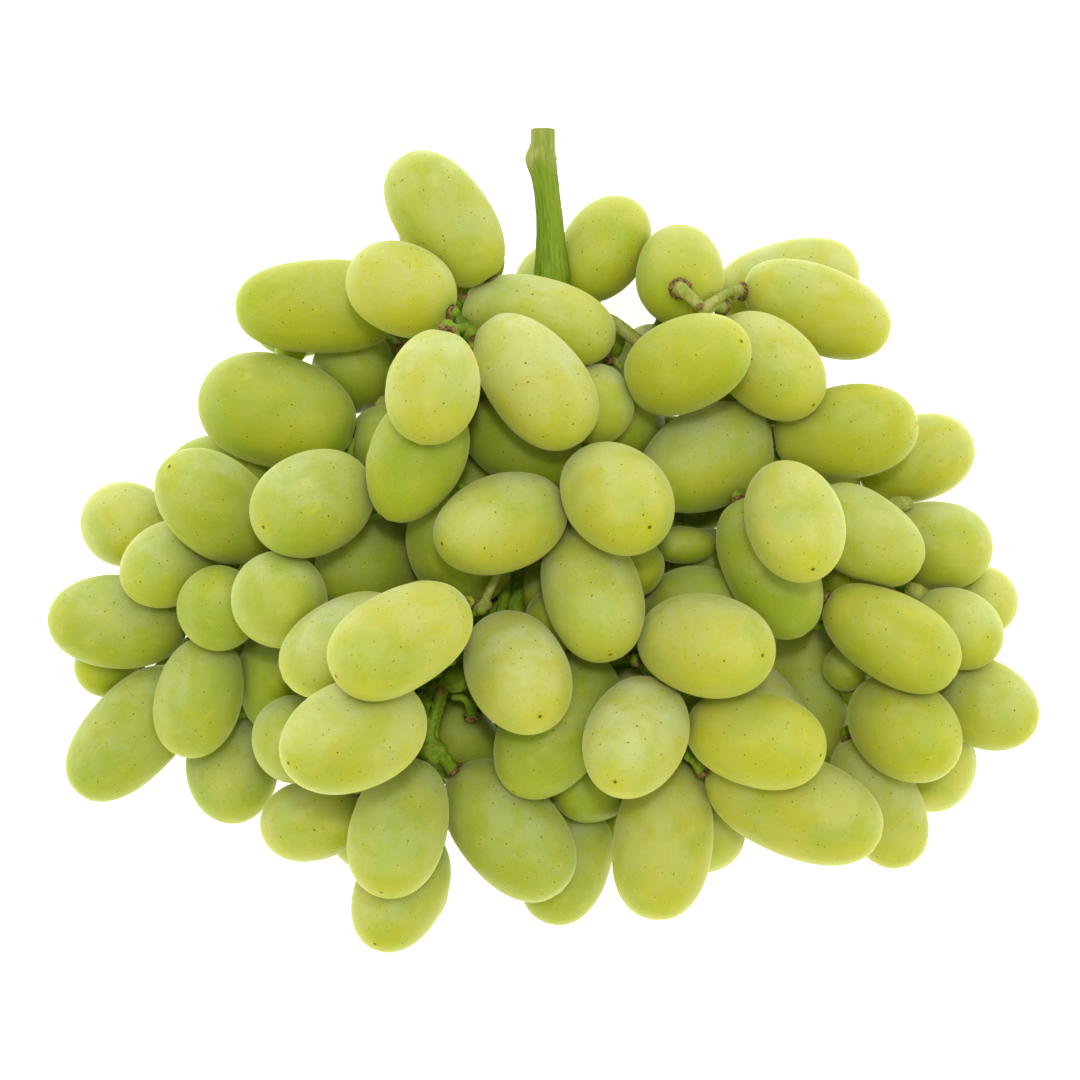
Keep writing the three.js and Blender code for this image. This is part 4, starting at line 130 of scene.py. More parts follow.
    ("C21", 3.95, -16.56, 32.86, -0.406, 0.039, 0.913, 10.03, 7.08, 2.092, -0.013, 0.32, 0.381, 0.08),
    ("H00", 73.87, -20.51, 9.62, 0.795, -0.606, -0.01, 14.08, 10.32, 2.15, 0, 0.29, 0.381, 0.9),
    ("H01", -71.13, -6.64, 9.72, -0.82, -0.572, -0.003, 12.03, 9.63, 2.15, 0, 0.27, 0.381, 0.9),
    ("H02", 34.15, -42.47, 10.44, 0.995, 0.076, -0.067, 14.16, 10.54, 2.15, 0, 0.29, 0.381, 0.1),
    ("H03", -43.87, 15.79, 9.77, -0.808, 0.586, -0.06, 13.25, 10.02, 2.15, 0, 0.3, 0.381, 0.1),
    ("H04", 53.23, -57.27, 9.38, 0.975, -0.221, -0.007, 11.57, 9.38, 2.15, 0, 0.33, 0.381, 0.1),
    ("H05", 29.88, 14.38, 10.2, 0.763, -0.646, -0.013, 14.21, 10.65, 2.15, 0, 0.29, 0.381, 0.9),
    ("H06", -22.11, 25.5, 9.91, -0.89, -0.447, -0.084, 13.55, 10.25, 2.15, 0, 0.27, 0.381, 0.9),
    ("H07", -38.41, -42.58, 20.8, -0.908, -0.207, -0.364, 12.95, 9.82, 2.15, 0, 0.33, 0.381, 0.9),
    ("H08", 4.33, 25.88, 10.01, 0.958, -0.197, -0.207, 13.82, 10.29, 2.15, 0, 0.27, 0.381, 0.5),
    ("H09", -65, -25.86, 8.64, -0.593, -0.806, -0.002, 12.56, 8.95, 2.15, 0, 0.3, 0.381, 0.5),
    ("H10", 54.84, 14.03, 10.32, 0.858, -0.511, -0.051, 14.51, 10.43, 2.15, 0, 0.32, 0.381, 0.5),
    ("H11", 29.31, -22.56, 14.36, 0.923, -0.358, -0.139, 11.66, 8.8, 2.15, 0, 0.3, 0.381, 0.9),
    ("H12", 8.94, -42.58, 8.95, 0.955, 0.248, -0.16, 12.24, 9.03, 2.15, 0, 0.3, 0.381, 0.9),
    ("H13", 2.35, -21.05, 10.4, 0.994, -0.091, -0.054, 14.55, 10.88, 2.15, 0, 0.32, 0.381, 0.9),
    ("H14", -45.69, -6.06, 9.76, -0.965, -0.25, -0.077, 13.96, 10.14, 2.15, 0, 0.27, 0.381, 0.5),
    ("H15", -42.32, -26.15, 9.23, -0.966, 0.077, -0.247, 11.34, 9.16, 2.15, 0, 0.31, 0.381, 0.9),
    ("H16", 16.27, -1.53, 9.92, 0.452, -0.888, -0.084, 14.65, 10.59, 2.15, 0, 0.29, 0.381, 0.5),
    ("H17", 45.84, 33.89, 18.51, 0.943, -0.304, 0.133, 12.6, 8.93, 2.15, 0, 0.33, 0.381, 0.5),
    ("H18", -19.21, -5.6, 10.87, -0.597, 0.74, -0.31, 13.61, 10.68, 2.15, 0, 0.32, 0.381, 0.5),
    ("H19", 52.85, -6.95, 9.05, 0.41, 0.669, -0.62, 11.21, 8.71, 2.15, 0, 0.27, 0.381, 0.1),
    ("H20", -19.82, -30.3, 8.42, -0.934, 0.006, -0.356, 11.68, 8.64, 2.15, 0, 0.28, 0.381, 0.9),
    ("H21", -8.45, 41.72, 22.86, -0.106, -0.275, -0.956, 12.35, 9.13, 2.15, 0, 0.3, 0.381, 0.1),
    ("H22", -23.32, 45.89, 9.28, -0.816, -0.573, -0.083, 11.68, 9.29, 2.15, 0, 0.31, 0.381, 0.1),
    ("H23", -40.8, -23.15, 40.71, -0.964, -0.234, -0.127, 12.84, 9.24, 2.15, 0, 0.29, 0.381, 0.9),
    ("H24", -51.06, 48.73, 8.27, -0.961, -0.251, -0.114, 11.8, 8.93, 2.15, 0, 0.29, 0.381, 0.5),
    ("H25", -37.6, -38.26, 52.52, -0.888, -0.455, 0.062, 11.75, 8.85, 2.15, 0, 0.33, 0.381, 0.5),
    ("H26", -19.02, 61.87, 26.48, -0.734, 0.667, 0.131, 12.46, 8.78, 2.15, 0, 0.33, 0.381, 0.1),
    ("H27", -27.73, -20.33, 22.63, -0.523, 0.093, -0.847, 11.1, 8.67, 2.15, 0, 0.29, 0.381, 0.1),
    ("H28", -22.51, 31.89, 36.98, -0.097, 0.137, -0.986, 13.05, 9.74, 2.15, 0, 0.33, 0.381, 0.9),
    ("H29", 48.14, 4.04, 22.57, 0.877, -0.47, -0.102, 9.27, 7.45, 2.15, 0, 0.29, 0.381, 0.5),
    ("H30", 48.67, -10.52, 25.88, 0.748, 0.622, 0.233, 8.28, 7.41, 2.15, 0, 0.27, 0.381, 0.9),
    ("H31", 18.83, -58.32, 7.85, 0.665, -0.714, -0.217, 9.08, 7.77, 2.15, 0, 0.3, 0.381, 0.9),
    ("H32", -27.96, -45.86, 6.9, -0.87, -0.482, -0.105, 8.46, 7.07, 2.15, 0, 0.31, 0.381, 0.5),
    ("H33", 12.37, 11.1, 25.75, 0.969, 0.11, -0.22, 9.58, 7.38, 2.15, 0, 0.33, 0.381, 0.5),
    ("H34", -2.84, 0.73, 7.41, -0.046, -0.993, -0.108, 8.87, 8.1, 2.15, 0, 0.33, 0.381, 0.9),
    ("H35", -54.68, -9.23, 26.17, -0.99, 0.075, 0.116, 9.68, 7.82, 2.15, 0, 0.32, 0.381, 0.5),
    ("H36", -46.93, 5.62, 22.98, -0.59, 0.737, 0.331, 8.84, 7.02, 2.15, 0, 0.32, 0.381, 0.9),
    ("H37", 95.46, -36.24, 6.93, 0.842, 0.537, -0.052, 9.09, 7.05, 2.15, 0, 0.31, 0.381, 0.1),
    ("H38", -33.25, -38.7, 37.27, -0.989, -0.105, 0.107, 8.23, 7.11, 2.15, 0, 0.31, 0.381, 0.5),
    ("H39", 28.89, 54, 13.54, 0.549, -0.179, -0.817, 9.38, 7.86, 2.15, 0, 0.32, 0.381, 0.5),
    ("H40", 14.79, 8.23, 40.05, 0.908, 0.037, 0.417, 8.53, 7.3, 2.15, 0, 0.33, 0.381, 0.9),
    ("H41", -24.82, -16.13, 49.88, -0.408, -0.55, 0.728, 9.28, 7.3, 2.15, 0, 0.29, 0.381, 0.5),
    ("H42", -28.08, -76.73, 7.13, -0.559, -0.827, -0.054, 8.82, 7.2, 2.15, 0, 0.27, 0.381, 0.5),
    ("H43", -50.65, -40.22, 6.94, -0.93, 0.365, 0.036, 7.78, 7.04, 2.15, 0, 0.28, 0.381, 0.5),
    ("H44", -46.66, 7.73, 38.71, -0.878, 0.45, 0.165, 8.51, 7.47, 2.15, 0, 0.28, 0.381, 0.9),
    ("H45", -27.22, 15.72, 40.29, -0.937, -0.112, 0.332, 9.16, 7.57, 2.15, 0, 0.29, 0.381, 0.1),
]
# flat where two berries press: first, second, normal from first to second, offset
CONTACTS = [
    (0, 2, -0.942, -0.2573, -0.2155, -17.59),
    (0, 13, -0.2369, -0.8037, -0.5459, -31.993),
    (0, 123, 0.2145, -0.1321, -0.9678, -43.624),
    (1, 13, 0.8307, 0.5565, -0.0156, -9.11),
    (1, 28, 0.4199, -0.5641, -0.711, -14.769),
    (2, 13, 0.7005, -0.6126, -0.366, -16.398),
    (2, 41, -0.6105, -0.0655, -0.7893, -30.817),
    (3, 11, -0.1797, -0.8074, -0.562, -15.765),
    (4, 14, -0.1109, -0.4566, -0.8828, -67.454),
    (5, 24, 0.2324, 0.4924, -0.8388, -23.125),
    (5, 37, 0.5851, -0.0494, -0.8095, -38.955),
    (6, 8, -0.4724, -0.8729, -0.1221, 7.494),
    (6, 13, -0.9199, 0.3275, 0.2158, -13.178),
    (6, 58, 0.3557, 0.3788, -0.8544, -31.03),
    (7, 8, -0.9597, 0.0743, 0.2711, -18.722),
    (7, 22, 0.1957, -0.6668, -0.7191, 10.235),
    (8, 28, -0.8063, 0.0488, -0.5895, -37.213),
    (9, 34, -0.2478, -0.5502, -0.7974, -52.129),
    (10, 37, -0.9142, -0.3667, -0.1726, -35.131),
    (11, 17, -0.3653, 0.8101, -0.4586, -40.737),
    (12, 47, 0.0139, -0.667, -0.7449, 16.427),
    (12, 121, -0.3264, 0.9419, -0.0797, -35.63),
    (13, 57, 0.7296, 0.0954, -0.6772, -17.083),
    (13, 82, -0.4615, -0.4772, -0.7478, -26.636),
    (13, 123, 0.3701, 0.8442, -0.3878, -10.233),
    (14, 15, -0.9472, -0.1874, -0.2603, 15.596),
    (15, 18, -0.2643, -0.9336, -0.2421, 2.032),
    (15, 127, -0.1743, -0.0747, -0.9819, -37.687),
    (16, 23, 0.5248, 0.7036, -0.479, 4.167),
    (17, 18, -0.6366, 0.5876, -0.4994, -10.196),
    (17, 124, 0.5684, 0.0231, -0.8224, -64.359),
    (18, 32, -0.8027, -0.0202, -0.596, 20.947),
    (19, 26, 0.5739, -0.6382, -0.5132, -5.048),
    (19, 100, 0.0678, -0.2146, -0.9744, -31.302),
    (20, 33, 0.2371, 0.9647, -0.1143, 3.077),
    (20, 39, -0.1139, -0.8687, -0.482, -0.462),
    (20, 50, 0.6673, 0.2387, -0.7055, 25.137),
    (21, 22, 0.9029, 0.371, 0.2173, 18.086),
    (21, 35, -0.8449, 0.3315, -0.4197, -43.534),
    (21, 72, 0.5907, -0.0341, -0.8062, 3.097),
    (22, 45, 0.2332, 0.7269, -0.6459, -39.688),
    (23, 24, 0.4098, -0.8695, -0.2756, -62.776),
    (23, 109, -0.0418, -0.1166, -0.9923, -41.707),
    (24, 37, 0.2125, -0.9598, -0.1831, -40.254),
    (24, 104, -0.1737, -0.2057, -0.9631, -40.968),
    (25, 49, 0.1144, -0.7023, -0.7026, -50.538),
    (26, 27, -0.9882, -0.1124, -0.1038, -53.023),
    (27, 77, -0.8001, 0.5203, -0.2984, -16.857),
    (27, 88, -0.231, -0.1703, -0.9579, -29.839),
    (27, 112, 0.5012, -0.7632, -0.4078, 2.884),
    (27, 123, -0.7912, -0.4528, 0.4111, -6.478),
    (28, 35, 0.3532, -0.6597, -0.6634, 12.234),
    (28, 36, -0.4788, -0.7191, -0.5036, 20.248),
    (28, 56, 0.7631, -0.2311, -0.6035, 0.722),
    (28, 82, -0.2347, 0.9676, -0.0928, -26.742),
    (29, 64, -0.2584, 0.4981, -0.8278, -27.398),
    (29, 90, 0.562, -0.1042, -0.8205, -43.76),
    (30, 49, 0.6207, 0.5651, -0.5435, -21.412),
    (30, 69, -0.2179, -0.7771, -0.5905, -11.802),
    (30, 81, 0.9329, -0.2329, -0.2746, -49.652),
    (30, 86, 0.3796, -0.4406, -0.8135, -42.353),
    (31, 43, -0.6523, -0.529, -0.5428, 28.398),
    (32, 43, -0.667, 0.5529, -0.4993, 25.34),
    (32, 44, -0.2378, -0.8541, -0.4625, 18.98),
    (33, 76, -0.1866, -0.4453, -0.8757, -36.552),
    (34, 58, -0.7522, -0.4703, -0.4616, -43.011),
    (35, 36, -0.7784, -0.5775, 0.246, 37.031),
    (35, 55, -0.337, -0.8291, -0.4461, 35.656),
    (35, 95, -0.2953, 0.5438, -0.7855, -41.409),
    (36, 55, 0.4325, -0.2058, -0.8778, -6.553),
    (36, 59, -0.2096, 0.5841, -0.7841, -44.305),
    (37, 40, -0.6678, -0.634, -0.3899, -33.763),
    (37, 77, 0.4894, -0.3988, -0.7755, -31.189),
    (38, 71, -0.001, 0.3689, -0.9295, 3.433),
    (39, 42, -0.2851, -0.751, -0.5956, -1.5),
    (40, 111, -0.8038, 0.5582, 0.2058, 34.23),
    (40, 116, 0.6176, -0.4357, -0.6548, -22.875),
    (41, 54, -0.9146, -0.0636, -0.3993, 11.128),
    (41, 80, 0.0253, 0.718, -0.6955, -17.525),
    (41, 128, -0.4291, 0.8919, -0.1426, 12.344),
    (42, 62, 0.8235, 0.3743, -0.4263, 37.082),
    (43, 67, -0.5217, -0.6907, -0.5007, 37.481),
    (43, 84, 0.2194, -0.219, -0.9507, -32.785),
    (44, 64, 0.928, 0.0851, -0.3627, -70.506),
    (44, 66, -0.5931, -0.0321, -0.8045, 29.436),
    (45, 46, 0.494, 0.1876, -0.849, 3.994),
    (45, 85, -0.5316, -0.3689, -0.7624, -21.832),
    (46, 83, 0.8803, 0.4719, -0.0491, 44.209),
    (46, 87, -0.2776, -0.958, -0.0713, 30.263),
    (46, 102, -0.2466, 0.9686, 0.0331, -28.661),
    (47, 73, -0.5557, 0.4173, -0.7191, -24.775),
    (48, 73, 0.7119, -0.2031, -0.6723, -32.492),
    (48, 90, 0.3683, 0.8139, -0.4494, -68.673),
    (49, 105, 0.8363, 0.4856, -0.2544, -10.979),
    (49, 107, -0.535, 0.7972, -0.2796, 54.87),
    (50, 51, 0.0334, 0.9605, -0.2764, -13.136),
    (50, 61, 0.2754, -0.8832, -0.3797, 37.61),
    (50, 83, -0.4701, -0.3, -0.8301, -47.048),
    (51, 63, 0.5811, -0.6914, -0.4293, 51.019),
    (52, 93, -0.9539, -0.2965, 0.0474, -68.258),
    (53, 70, -0.9211, 0.2929, -0.2564, -9.412),
    (53, 122, -0.0408, -0.2322, -0.9718, -35.824),
    (54, 106, 0.0087, -0.9596, 0.2811, 23.779),
    (54, 119, -0.6936, 0.5379, -0.4793, 16.99),
    (54, 127, -0.5344, 0.7944, 0.2886, 34.316),
    (55, 60, -0.6803, 0.6096, -0.4069, -42.328),
    (55, 114, 0.7453, 0.4423, -0.4989, -23.444),
    (56, 85, 0.6874, -0.4909, -0.5353, 26.367),
    (56, 94, 0.5998, 0.7688, -0.2219, -11.809),
    (56, 95, -0.4933, -0.5683, -0.6585, 4.212),
    (57, 58, 0.7858, -0.5821, -0.209, 17.051),
    (58, 75, 0.3451, 0.5921, -0.7283, -11.637),
    (58, 94, -0.1098, -0.4727, -0.8743, -13.78),
    (59, 103, 0.0028, 0.7569, -0.6535, -37.308),
    (60, 95, 0.4983, 0.8646, 0.0647, -42.245),
    (61, 62, -0.5229, -0.7695, -0.3666, -21.369),
    (61, 120, 0.3205, -0.243, -0.9155, 26.302),
    (62, 120, 0.6741, 0.6853, -0.2756, 29.034),
    (64, 90, 0.7599, -0.6411, -0.1075, -14.947),
    (64, 92, -0.5133, 0.3159, -0.798, 9.806),
    (64, 98, 0.5947, 0.2771, -0.7547, -48.993),
    (65, 92, -0.0537, 0.9981, 0.0287, -33.159),
    (65, 126, 0.8955, 0.4233, -0.1377, -71.036),
    (66, 74, -0.606, 0.7105, -0.3576, 28.12),
    (66, 92, 0.887, 0.2553, -0.3847, -78.784),
    (67, 74, -0.2956, -0.6891, -0.6616, 33.554),
    (67, 84, 0.5194, 0.5818, -0.6259, -57.922),
    (69, 84, -0.0331, -0.9972, -0.0674, -2.159),
    (69, 86, 0.913, 0.357, -0.1977, -47.377),
    (70, 79, -0.4822, -0.4009, -0.779, -42.188),
    (71, 122, -0.9032, 0.0537, 0.4259, -26.639),
    (72, 87, 0.9465, 0.3112, -0.0854, 20.906),
    (72, 114, -0.9718, 0.1773, -0.1553, -38.325),
    (73, 125, 0.5216, -0.8442, -0.1233, 41.899),
    (75, 88, -0.0751, 0.975, -0.2093, -2.934),
    (75, 94, -0.3561, -0.9251, 0.1316, 3.54),
    (75, 99, -0.9863, 0.0741, -0.1474, -29.06),
    (75, 102, 0.9857, -0.1478, -0.0812, 43.24),
    (76, 102, -0.6994, -0.2507, -0.6693, -50.006),
    (77, 78, 0.477, 0.8037, -0.3558, 26.698),
    (77, 116, -0.2749, -0.9572, -0.0905, -23.687),
    (78, 100, 0.9969, 0.028, 0.0737, 36.176),
    (79, 104, -0.735, -0.5971, 0.3212, -20.143),
    (80, 89, -0.3833, 0.7933, -0.473, 13.779),
    (80, 101, -0.3796, -0.7812, -0.4956, -4.091),
    (81, 86, -0.4831, -0.4212, -0.7676, -3.008),
    (81, 89, 0.5668, 0.1778, -0.8045, -27.298),
    (81, 111, 0.5661, 0.7252, 0.3921, 14.845),
    (81, 128, 0.32, -0.3478, 0.8813, 14.072),
    (84, 92, 0.5226, -0.8505, -0.0601, -22.354),
    (84, 97, 0.9847, -0.1731, -0.0185, -57.805),
    (85, 95, -0.9733, 0.1247, -0.1928, -27.051),
    (86, 89, 0.8318, 0.555, -0.0068, -17.509),
    (86, 97, -0.0879, -0.9961, 0.0005, -0.706),
    (86, 119, -0.2343, -0.5651, 0.7911, 19.129),
    (88, 93, 0.9558, 0.293, 0.0232, 44.59),
    (88, 99, -0.6885, -0.7252, 0.0027, -20.826),
    (89, 91, 0.9958, -0.0431, 0.0803, -9.419),
    (89, 105, -0.2661, 0.9626, -0.0516, 40.27),
    (90, 121, 0.1324, 0.2152, 0.9676, 16.526),
    (90, 126, -0.4626, 0.2131, -0.8606, 1.966),
    (93, 102, -0.1991, -0.9652, -0.1696, -15.24),
    (93, 112, -0.3194, -0.6263, 0.7112, -8.916),
    (94, 99, -0.4401, 0.8611, -0.2546, -25.438),
    (95, 114, 0.4222, -0.9056, -0.0407, 51.294),
    (96, 99, 0.5879, 0.8085, -0.026, -3.723),
    (96, 101, -0.7811, 0.6186, 0.0848, -0.525),
    (96, 103, -0.7805, -0.6233, -0.0479, 23.627),
    (97, 118, -0.2688, -0.1388, 0.9531, 32.805),
    (97, 119, -0.0301, 0.5968, 0.8018, 15.462),
    (98, 110, 0.6114, 0.4208, 0.6701, -20.544),
    (98, 126, -0.4227, -0.8995, -0.1104, 49.893),
    (99, 117, -0.9872, -0.0176, -0.1585, -6.224),
    (101, 117, 0.9028, 0.3747, -0.2111, -11.535),
    (102, 113, -0.1778, -0.0509, 0.9828, 10.025),
    (103, 115, -0.2994, -0.9535, -0.0354, 43.73),
    (104, 105, -0.6898, 0.4338, -0.5796, 20.891),
    (106, 124, 0.6841, 0.4011, 0.6092, -0.384),
    (108, 121, 0.1183, -0.0744, -0.9902, -44.906),
    (111, 128, -0.2319, -0.9697, 0.0774, -13.32),
    (112, 113, -0.0648, -0.958, 0.2794, 6.715),
    (116, 123, 0.1837, -0.1967, 0.9631, 32.038),
    (1, 82, 0.5922, 0.4428, -0.6732, -36.95),
    (2, 14, -0.7361, 0.676, -0.0331, 17.488),
    (12, 36, 0.8633, -0.015, -0.5044, -34.107),
    (18, 106, 0.4825, -0.5976, -0.6404, -41.896),
    (22, 42, 0.6251, 0.086, -0.7758, 13.734),
    (26, 100, -0.4034, 0.6515, -0.6425, -19.664),
    (27, 100, 0.3733, 0.7507, -0.545, 23.196),
    (29, 48, 0.2475, -0.9382, -0.2417, 27.21),
    (29, 106, 0.2863, 0.9375, 0.1978, -36.276),
    (29, 121, 0.9743, 0.1617, 0.1571, -41.179),
    (31, 32, -0.0965, -0.9706, 0.2205, 19.65),
    (31, 118, 0.3322, -0.7803, -0.53, -33.646),
    (31, 127, 0.9589, 0.2429, 0.1468, -45.57),
    (32, 118, 0.5891, 0.335, -0.7353, -63.812),
    (34, 113, 0.135, -0.1535, -0.9789, -24.968),
    (35, 114, 0.3574, -0.4154, -0.8365, 15.541),
    (40, 80, -0.5717, -0.5975, -0.5623, -19.351),
    (41, 124, -0.2991, -0.7849, 0.5426, 37.645),
    (43, 68, -0.6337, 0.3807, -0.6734, 36.999),
    (45, 94, -0.6539, 0.4466, -0.6107, -48.7),
    (46, 85, -0.9493, -0.3135, -0.025, -33.635),
    (49, 86, -0.2659, -0.9556, -0.1269, -15.736),
    (50, 63, 0.6164, 0.2598, -0.7433, 37.34),
    (51, 52, -0.1041, 0.9691, -0.2238, -3.24),
    (51, 76, -0.9676, -0.0534, 0.2467, -64.462),
    (51, 83, -0.4345, -0.8693, -0.2358, -27.531),
    (54, 97, -0.4456, -0.0886, -0.8908, 0.277),
    (54, 110, 0.3263, -0.9021, -0.2823, -6.188),
    (54, 118, -0.8782, -0.2199, -0.4246, 29.412),
    (58, 113, 0.868, 0.1573, -0.4711, 19.936),
    (59, 60, 0.7477, -0.6002, -0.2841, 19.995),
    (59, 90, -0.9839, -0.0501, 0.1714, 30.77),
    (59, 115, -0.7027, -0.0765, -0.7073, 9.943),
    (61, 83, -0.6568, 0.521, -0.5452, -78.056),
    (63, 83, -0.8353, -0.5421, 0.0921, -61.168),
    (64, 118, 0.0408, 0.9892, 0.1406, -16.046),
    (64, 126, 0.2526, -0.3724, -0.893, -11.679),
    (68, 84, 0.8061, -0.5439, -0.2331, -66.569),
    (72, 85, -0.028, 0.9959, -0.0864, -55.028),
    (73, 90, -0.1883, 0.9584, 0.2145, -39.507),
    (73, 115, 0.3416, 0.9236, -0.1742, -61.381),
    (75, 112, 0.7631, 0.5883, 0.2676, 36.838),
    (75, 113, 0.8014, -0.3794, 0.4624, 46.692),
    (76, 93, -0.3112, 0.8103, -0.4965, -23.854),
    (76, 112, -0.8987, 0.4183, 0.1318, -48.299),
    (76, 113, -0.95, -0.2966, 0.0975, -49.026),
    (77, 88, 0.4868, -0.4616, -0.7416, -12.552),
    (78, 88, 0.0573, -0.9891, -0.1357, -26.889),
    (78, 91, -0.8028, -0.5896, -0.0892, -32.259),
    (78, 122, 0.2442, 0.9695, 0.0233, 51.68),
    (85, 87, 0.5727, -0.8188, -0.0394, 65.942),
    (85, 94, -0.1159, 0.9764, 0.1822, -32.77),
    (88, 91, -0.9229, 0.3798, -0.0632, -8.572),
    (89, 104, 0.5031, 0.7423, 0.4425, 25.423),
    (90, 98, -0.0355, 0.8411, -0.5398, -35.358),
    (90, 115, 0.4708, -0.2311, -0.8515, -15.861),
    (91, 104, -0.4585, 0.7732, 0.438, 35.119),
    (93, 100, -0.1231, 0.8866, 0.4458, 22.853),
    (97, 98, 0.1419, -0.9888, -0.0463, 9.716),
    (97, 101, 0.9962, 0.0873, 0.0009, -31.776),
    (98, 103, 0.9579, -0.2289, -0.1733, -24.765),
    (99, 116, -0.0481, 0.4538, 0.8898, 19.577),
    (101, 110, -0.5428, -0.6813, 0.4912, 30.991),
    (102, 112, -0.1732, 0.6675, 0.7242, 2.016),
    (106, 108, 0.22, -0.7612, 0.6101, 43.359),
    (106, 121, 0.3053, -0.9331, -0.1902, 11.151),
    (119, 127, 0.1334, 0.0365, 0.9904, 24.458),
]
GROUPS = [
    ("berry_C1", [0]),
    ("berry_C4", [1]),
    ("berry_C2", [2]),
    ("berry_C5", [3]),
    ("berry_T5", [4]),
    ("berry_T6", [5]),
    ("berry_R15", [6]),
    ("berry_R14", [7]),
    ("berry_R16", [8]),
    ("berry_R3", [9]),
    ("berry_T13", [10]),
    ("berry_C7", [11]),
    ("berry_C9", [12]),
    ("berry_C3", [13]),
    ("berry_L1", [14]),
    ("berry_L6", [15]),
    ("berry_T2", [16]),
    ("berry_C6", [17]),
    ("berry_L13", [18]),
    ("berry_T15", [19]),
    ("berry_R7", [20]),
    ("berry_R17", [21]),
    ("berries_L10_L11_L14", [68, 43, 67]),
    ("berries_L15_L16_L17", [74, 66, 44]),
    ("berries_R4_R24_H30", [33, 76, 113]),
    ("berries_C11_C20_H42", [47, 73, 125]),
    ("berries_C19_R21_R20", [57, 58, 34]),
    ("berries_H24_T4_T3", [107, 49, 25]),
    ("berries_H25_H38_C8", [108, 121, 29]),
    ("berries_C21_C14_C12", [82, 28, 36]),
    ("berries_R1_T16_H40", [26, 27, 123]),
    ("berries_T14_T12_H39", [38, 71, 122]),
    ("berries_H29_H10_R2", [112, 93, 52]),
    ("berries_H17_T19_T18", [100, 78, 77]),
    ("berries_T11_T9_T10", [53, 70, 79]),
    ("berries_C10_H07_H32", [48, 90, 115]),
    ("berries_R10_R12_R11", [39, 42, 62]),
    ("berries_H37_R9_R8", [120, 61, 50]),
    ("berries_R13_R23_R19", [22, 45, 46]),
    ("berries_H26_T1_T7", [109, 23, 24]),
    ("berries_H19_R22_H05", [102, 75, 88]),
    ("berries_T17_L2_H33", [37, 40, 116]),
    ("berries_H16_H34_H11", [99, 117, 94]),
    ("berries_H22_H21_H08", [105, 104, 91]),
    ("berries_H23_H41_L4", [106, 124, 41]),
    ("berries_H28_H45_L20", [111, 128, 81]),
    ("berries_H44_L8_L12", [127, 31, 32]),
    ("berries_H04_R18_H31", [87, 72, 114]),
    ("berries_C15_C13_C16", [35, 55, 60]),
    ("berries_C17_H20_H13", [59, 103, 96]),
    ("berries_H35_L3_H27", [118, 54, 110]),
    ("berries_C18_H12_H02", [56, 95, 85]),
    ("berries_H36_H14_H18", [119, 97, 101]),
    ("berries_L5_H06_H03", [80, 89, 86]),
    ("berries_H15_H43_L18", [98, 126, 65]),
    ("berries_L7_L9_H01", [30, 69, 84]),
    ("berries_H09_L19", [92, 64]),
    ("berries_H00_R5_R6", [83, 51, 63]),
]
MAIN_STEMS = [
    ("rachis", [(0.12, 85.08, 33.98, 2.45), (-0.19, 81.68, 33.88, 2.9), (-0.19, 78.79, 33.78, 3.35), (0.12, 75.69, 33.68, 2.95), (0.85, 71.56, 33.58, 2.65), (1.47, 64.33, 33.38, 2.85), (1.78, 57.7, 33.38, 3), (2.2, 49.92, 32.15, 2.9), (1.99, 42.72, 31.15, 2.8), (0.96, 31.45, 27.57, 2.6), (-0.5, 21.12, 24, 2.45), (-3.02, 8.49, 25.5, 2.4), (-5.31, -3.03, 27, 2.3), (-5.32, -14.56, 26, 2.15), (-4.07, -26.16, 24, 2), (-1.55, -36.77, 22, 1.8), (0.56, -46.39, 20, 1.6), (2.67, -53.87, 19, 1.3)]),
    ("arm_r1", [(1.78, 51.97, 32.52, 1.5), (3.65, 49.9, 32.5, 1.45), (6.76, 48.2, 33, 1.4), (9.86, 46.94, 33.2, 1.35), (12.35, 46.13, 33, 1.3), (14.84, 44.88, 33, 1.3), (17.35, 43.5, 32, 1.25), (20.5, 41.48, 31, 1.2), (27.69, 39.08, 33, 1.15), (31.23, 41.32, 37, 1.1), (33.29, 44.14, 41, 1.05), (32.99, 46.46, 43, 1.05)]),
    ("arm_l1", [(1.79, 40.68, 30.47, 1.5), (-1.54, 40.37, 32.2, 1.4), (-4.22, 41.05, 34.6, 1.35), (-7.31, 42.42, 35.8, 1.3), (-10.41, 43.86, 36, 1.35), (-13.29, 45.06, 36.5, 1.5), (-16.16, 45.85, 37, 1.6)]),
    ("arm_l2", [(-5.32, -12.47, 25.77, 1.6), (-10.54, -14.95, 27, 1.5), (-15.49, -20.72, 30, 1.4), (-19.16, -26.43, 33, 1.4), (-20.96, -31.93, 35, 1.35), (-22.62, -38.75, 35, 1.35), (-22.43, -42.92, 34.5, 1.7)]),
    ("arm_r2", [(-3.85, 5.34, 25.96, 1.7), (3.7, 4.1, 24, 1.6), (14.25, 3.48, 22, 1.6), (24.84, 4.33, 20.5, 1.7), (34.61, 6.24, 19.5, 1.8), (41.62, 9.63, 19, 1.6), (45.52, 14.04, 20.8, 1.4), (49.06, 17.82, 21.5, 1.2)]),
    ("arm_r3", [(-2.61, -32.52, 22.74, 1.4), (8.95, -27.63, 24, 1.3), (18.3, -24.33, 28, 1.3), (24.98, -31.22, 28, 1.2), (29.62, -41.73, 27, 1.3), (31.81, -46.47, 25, 1.2)]),
]
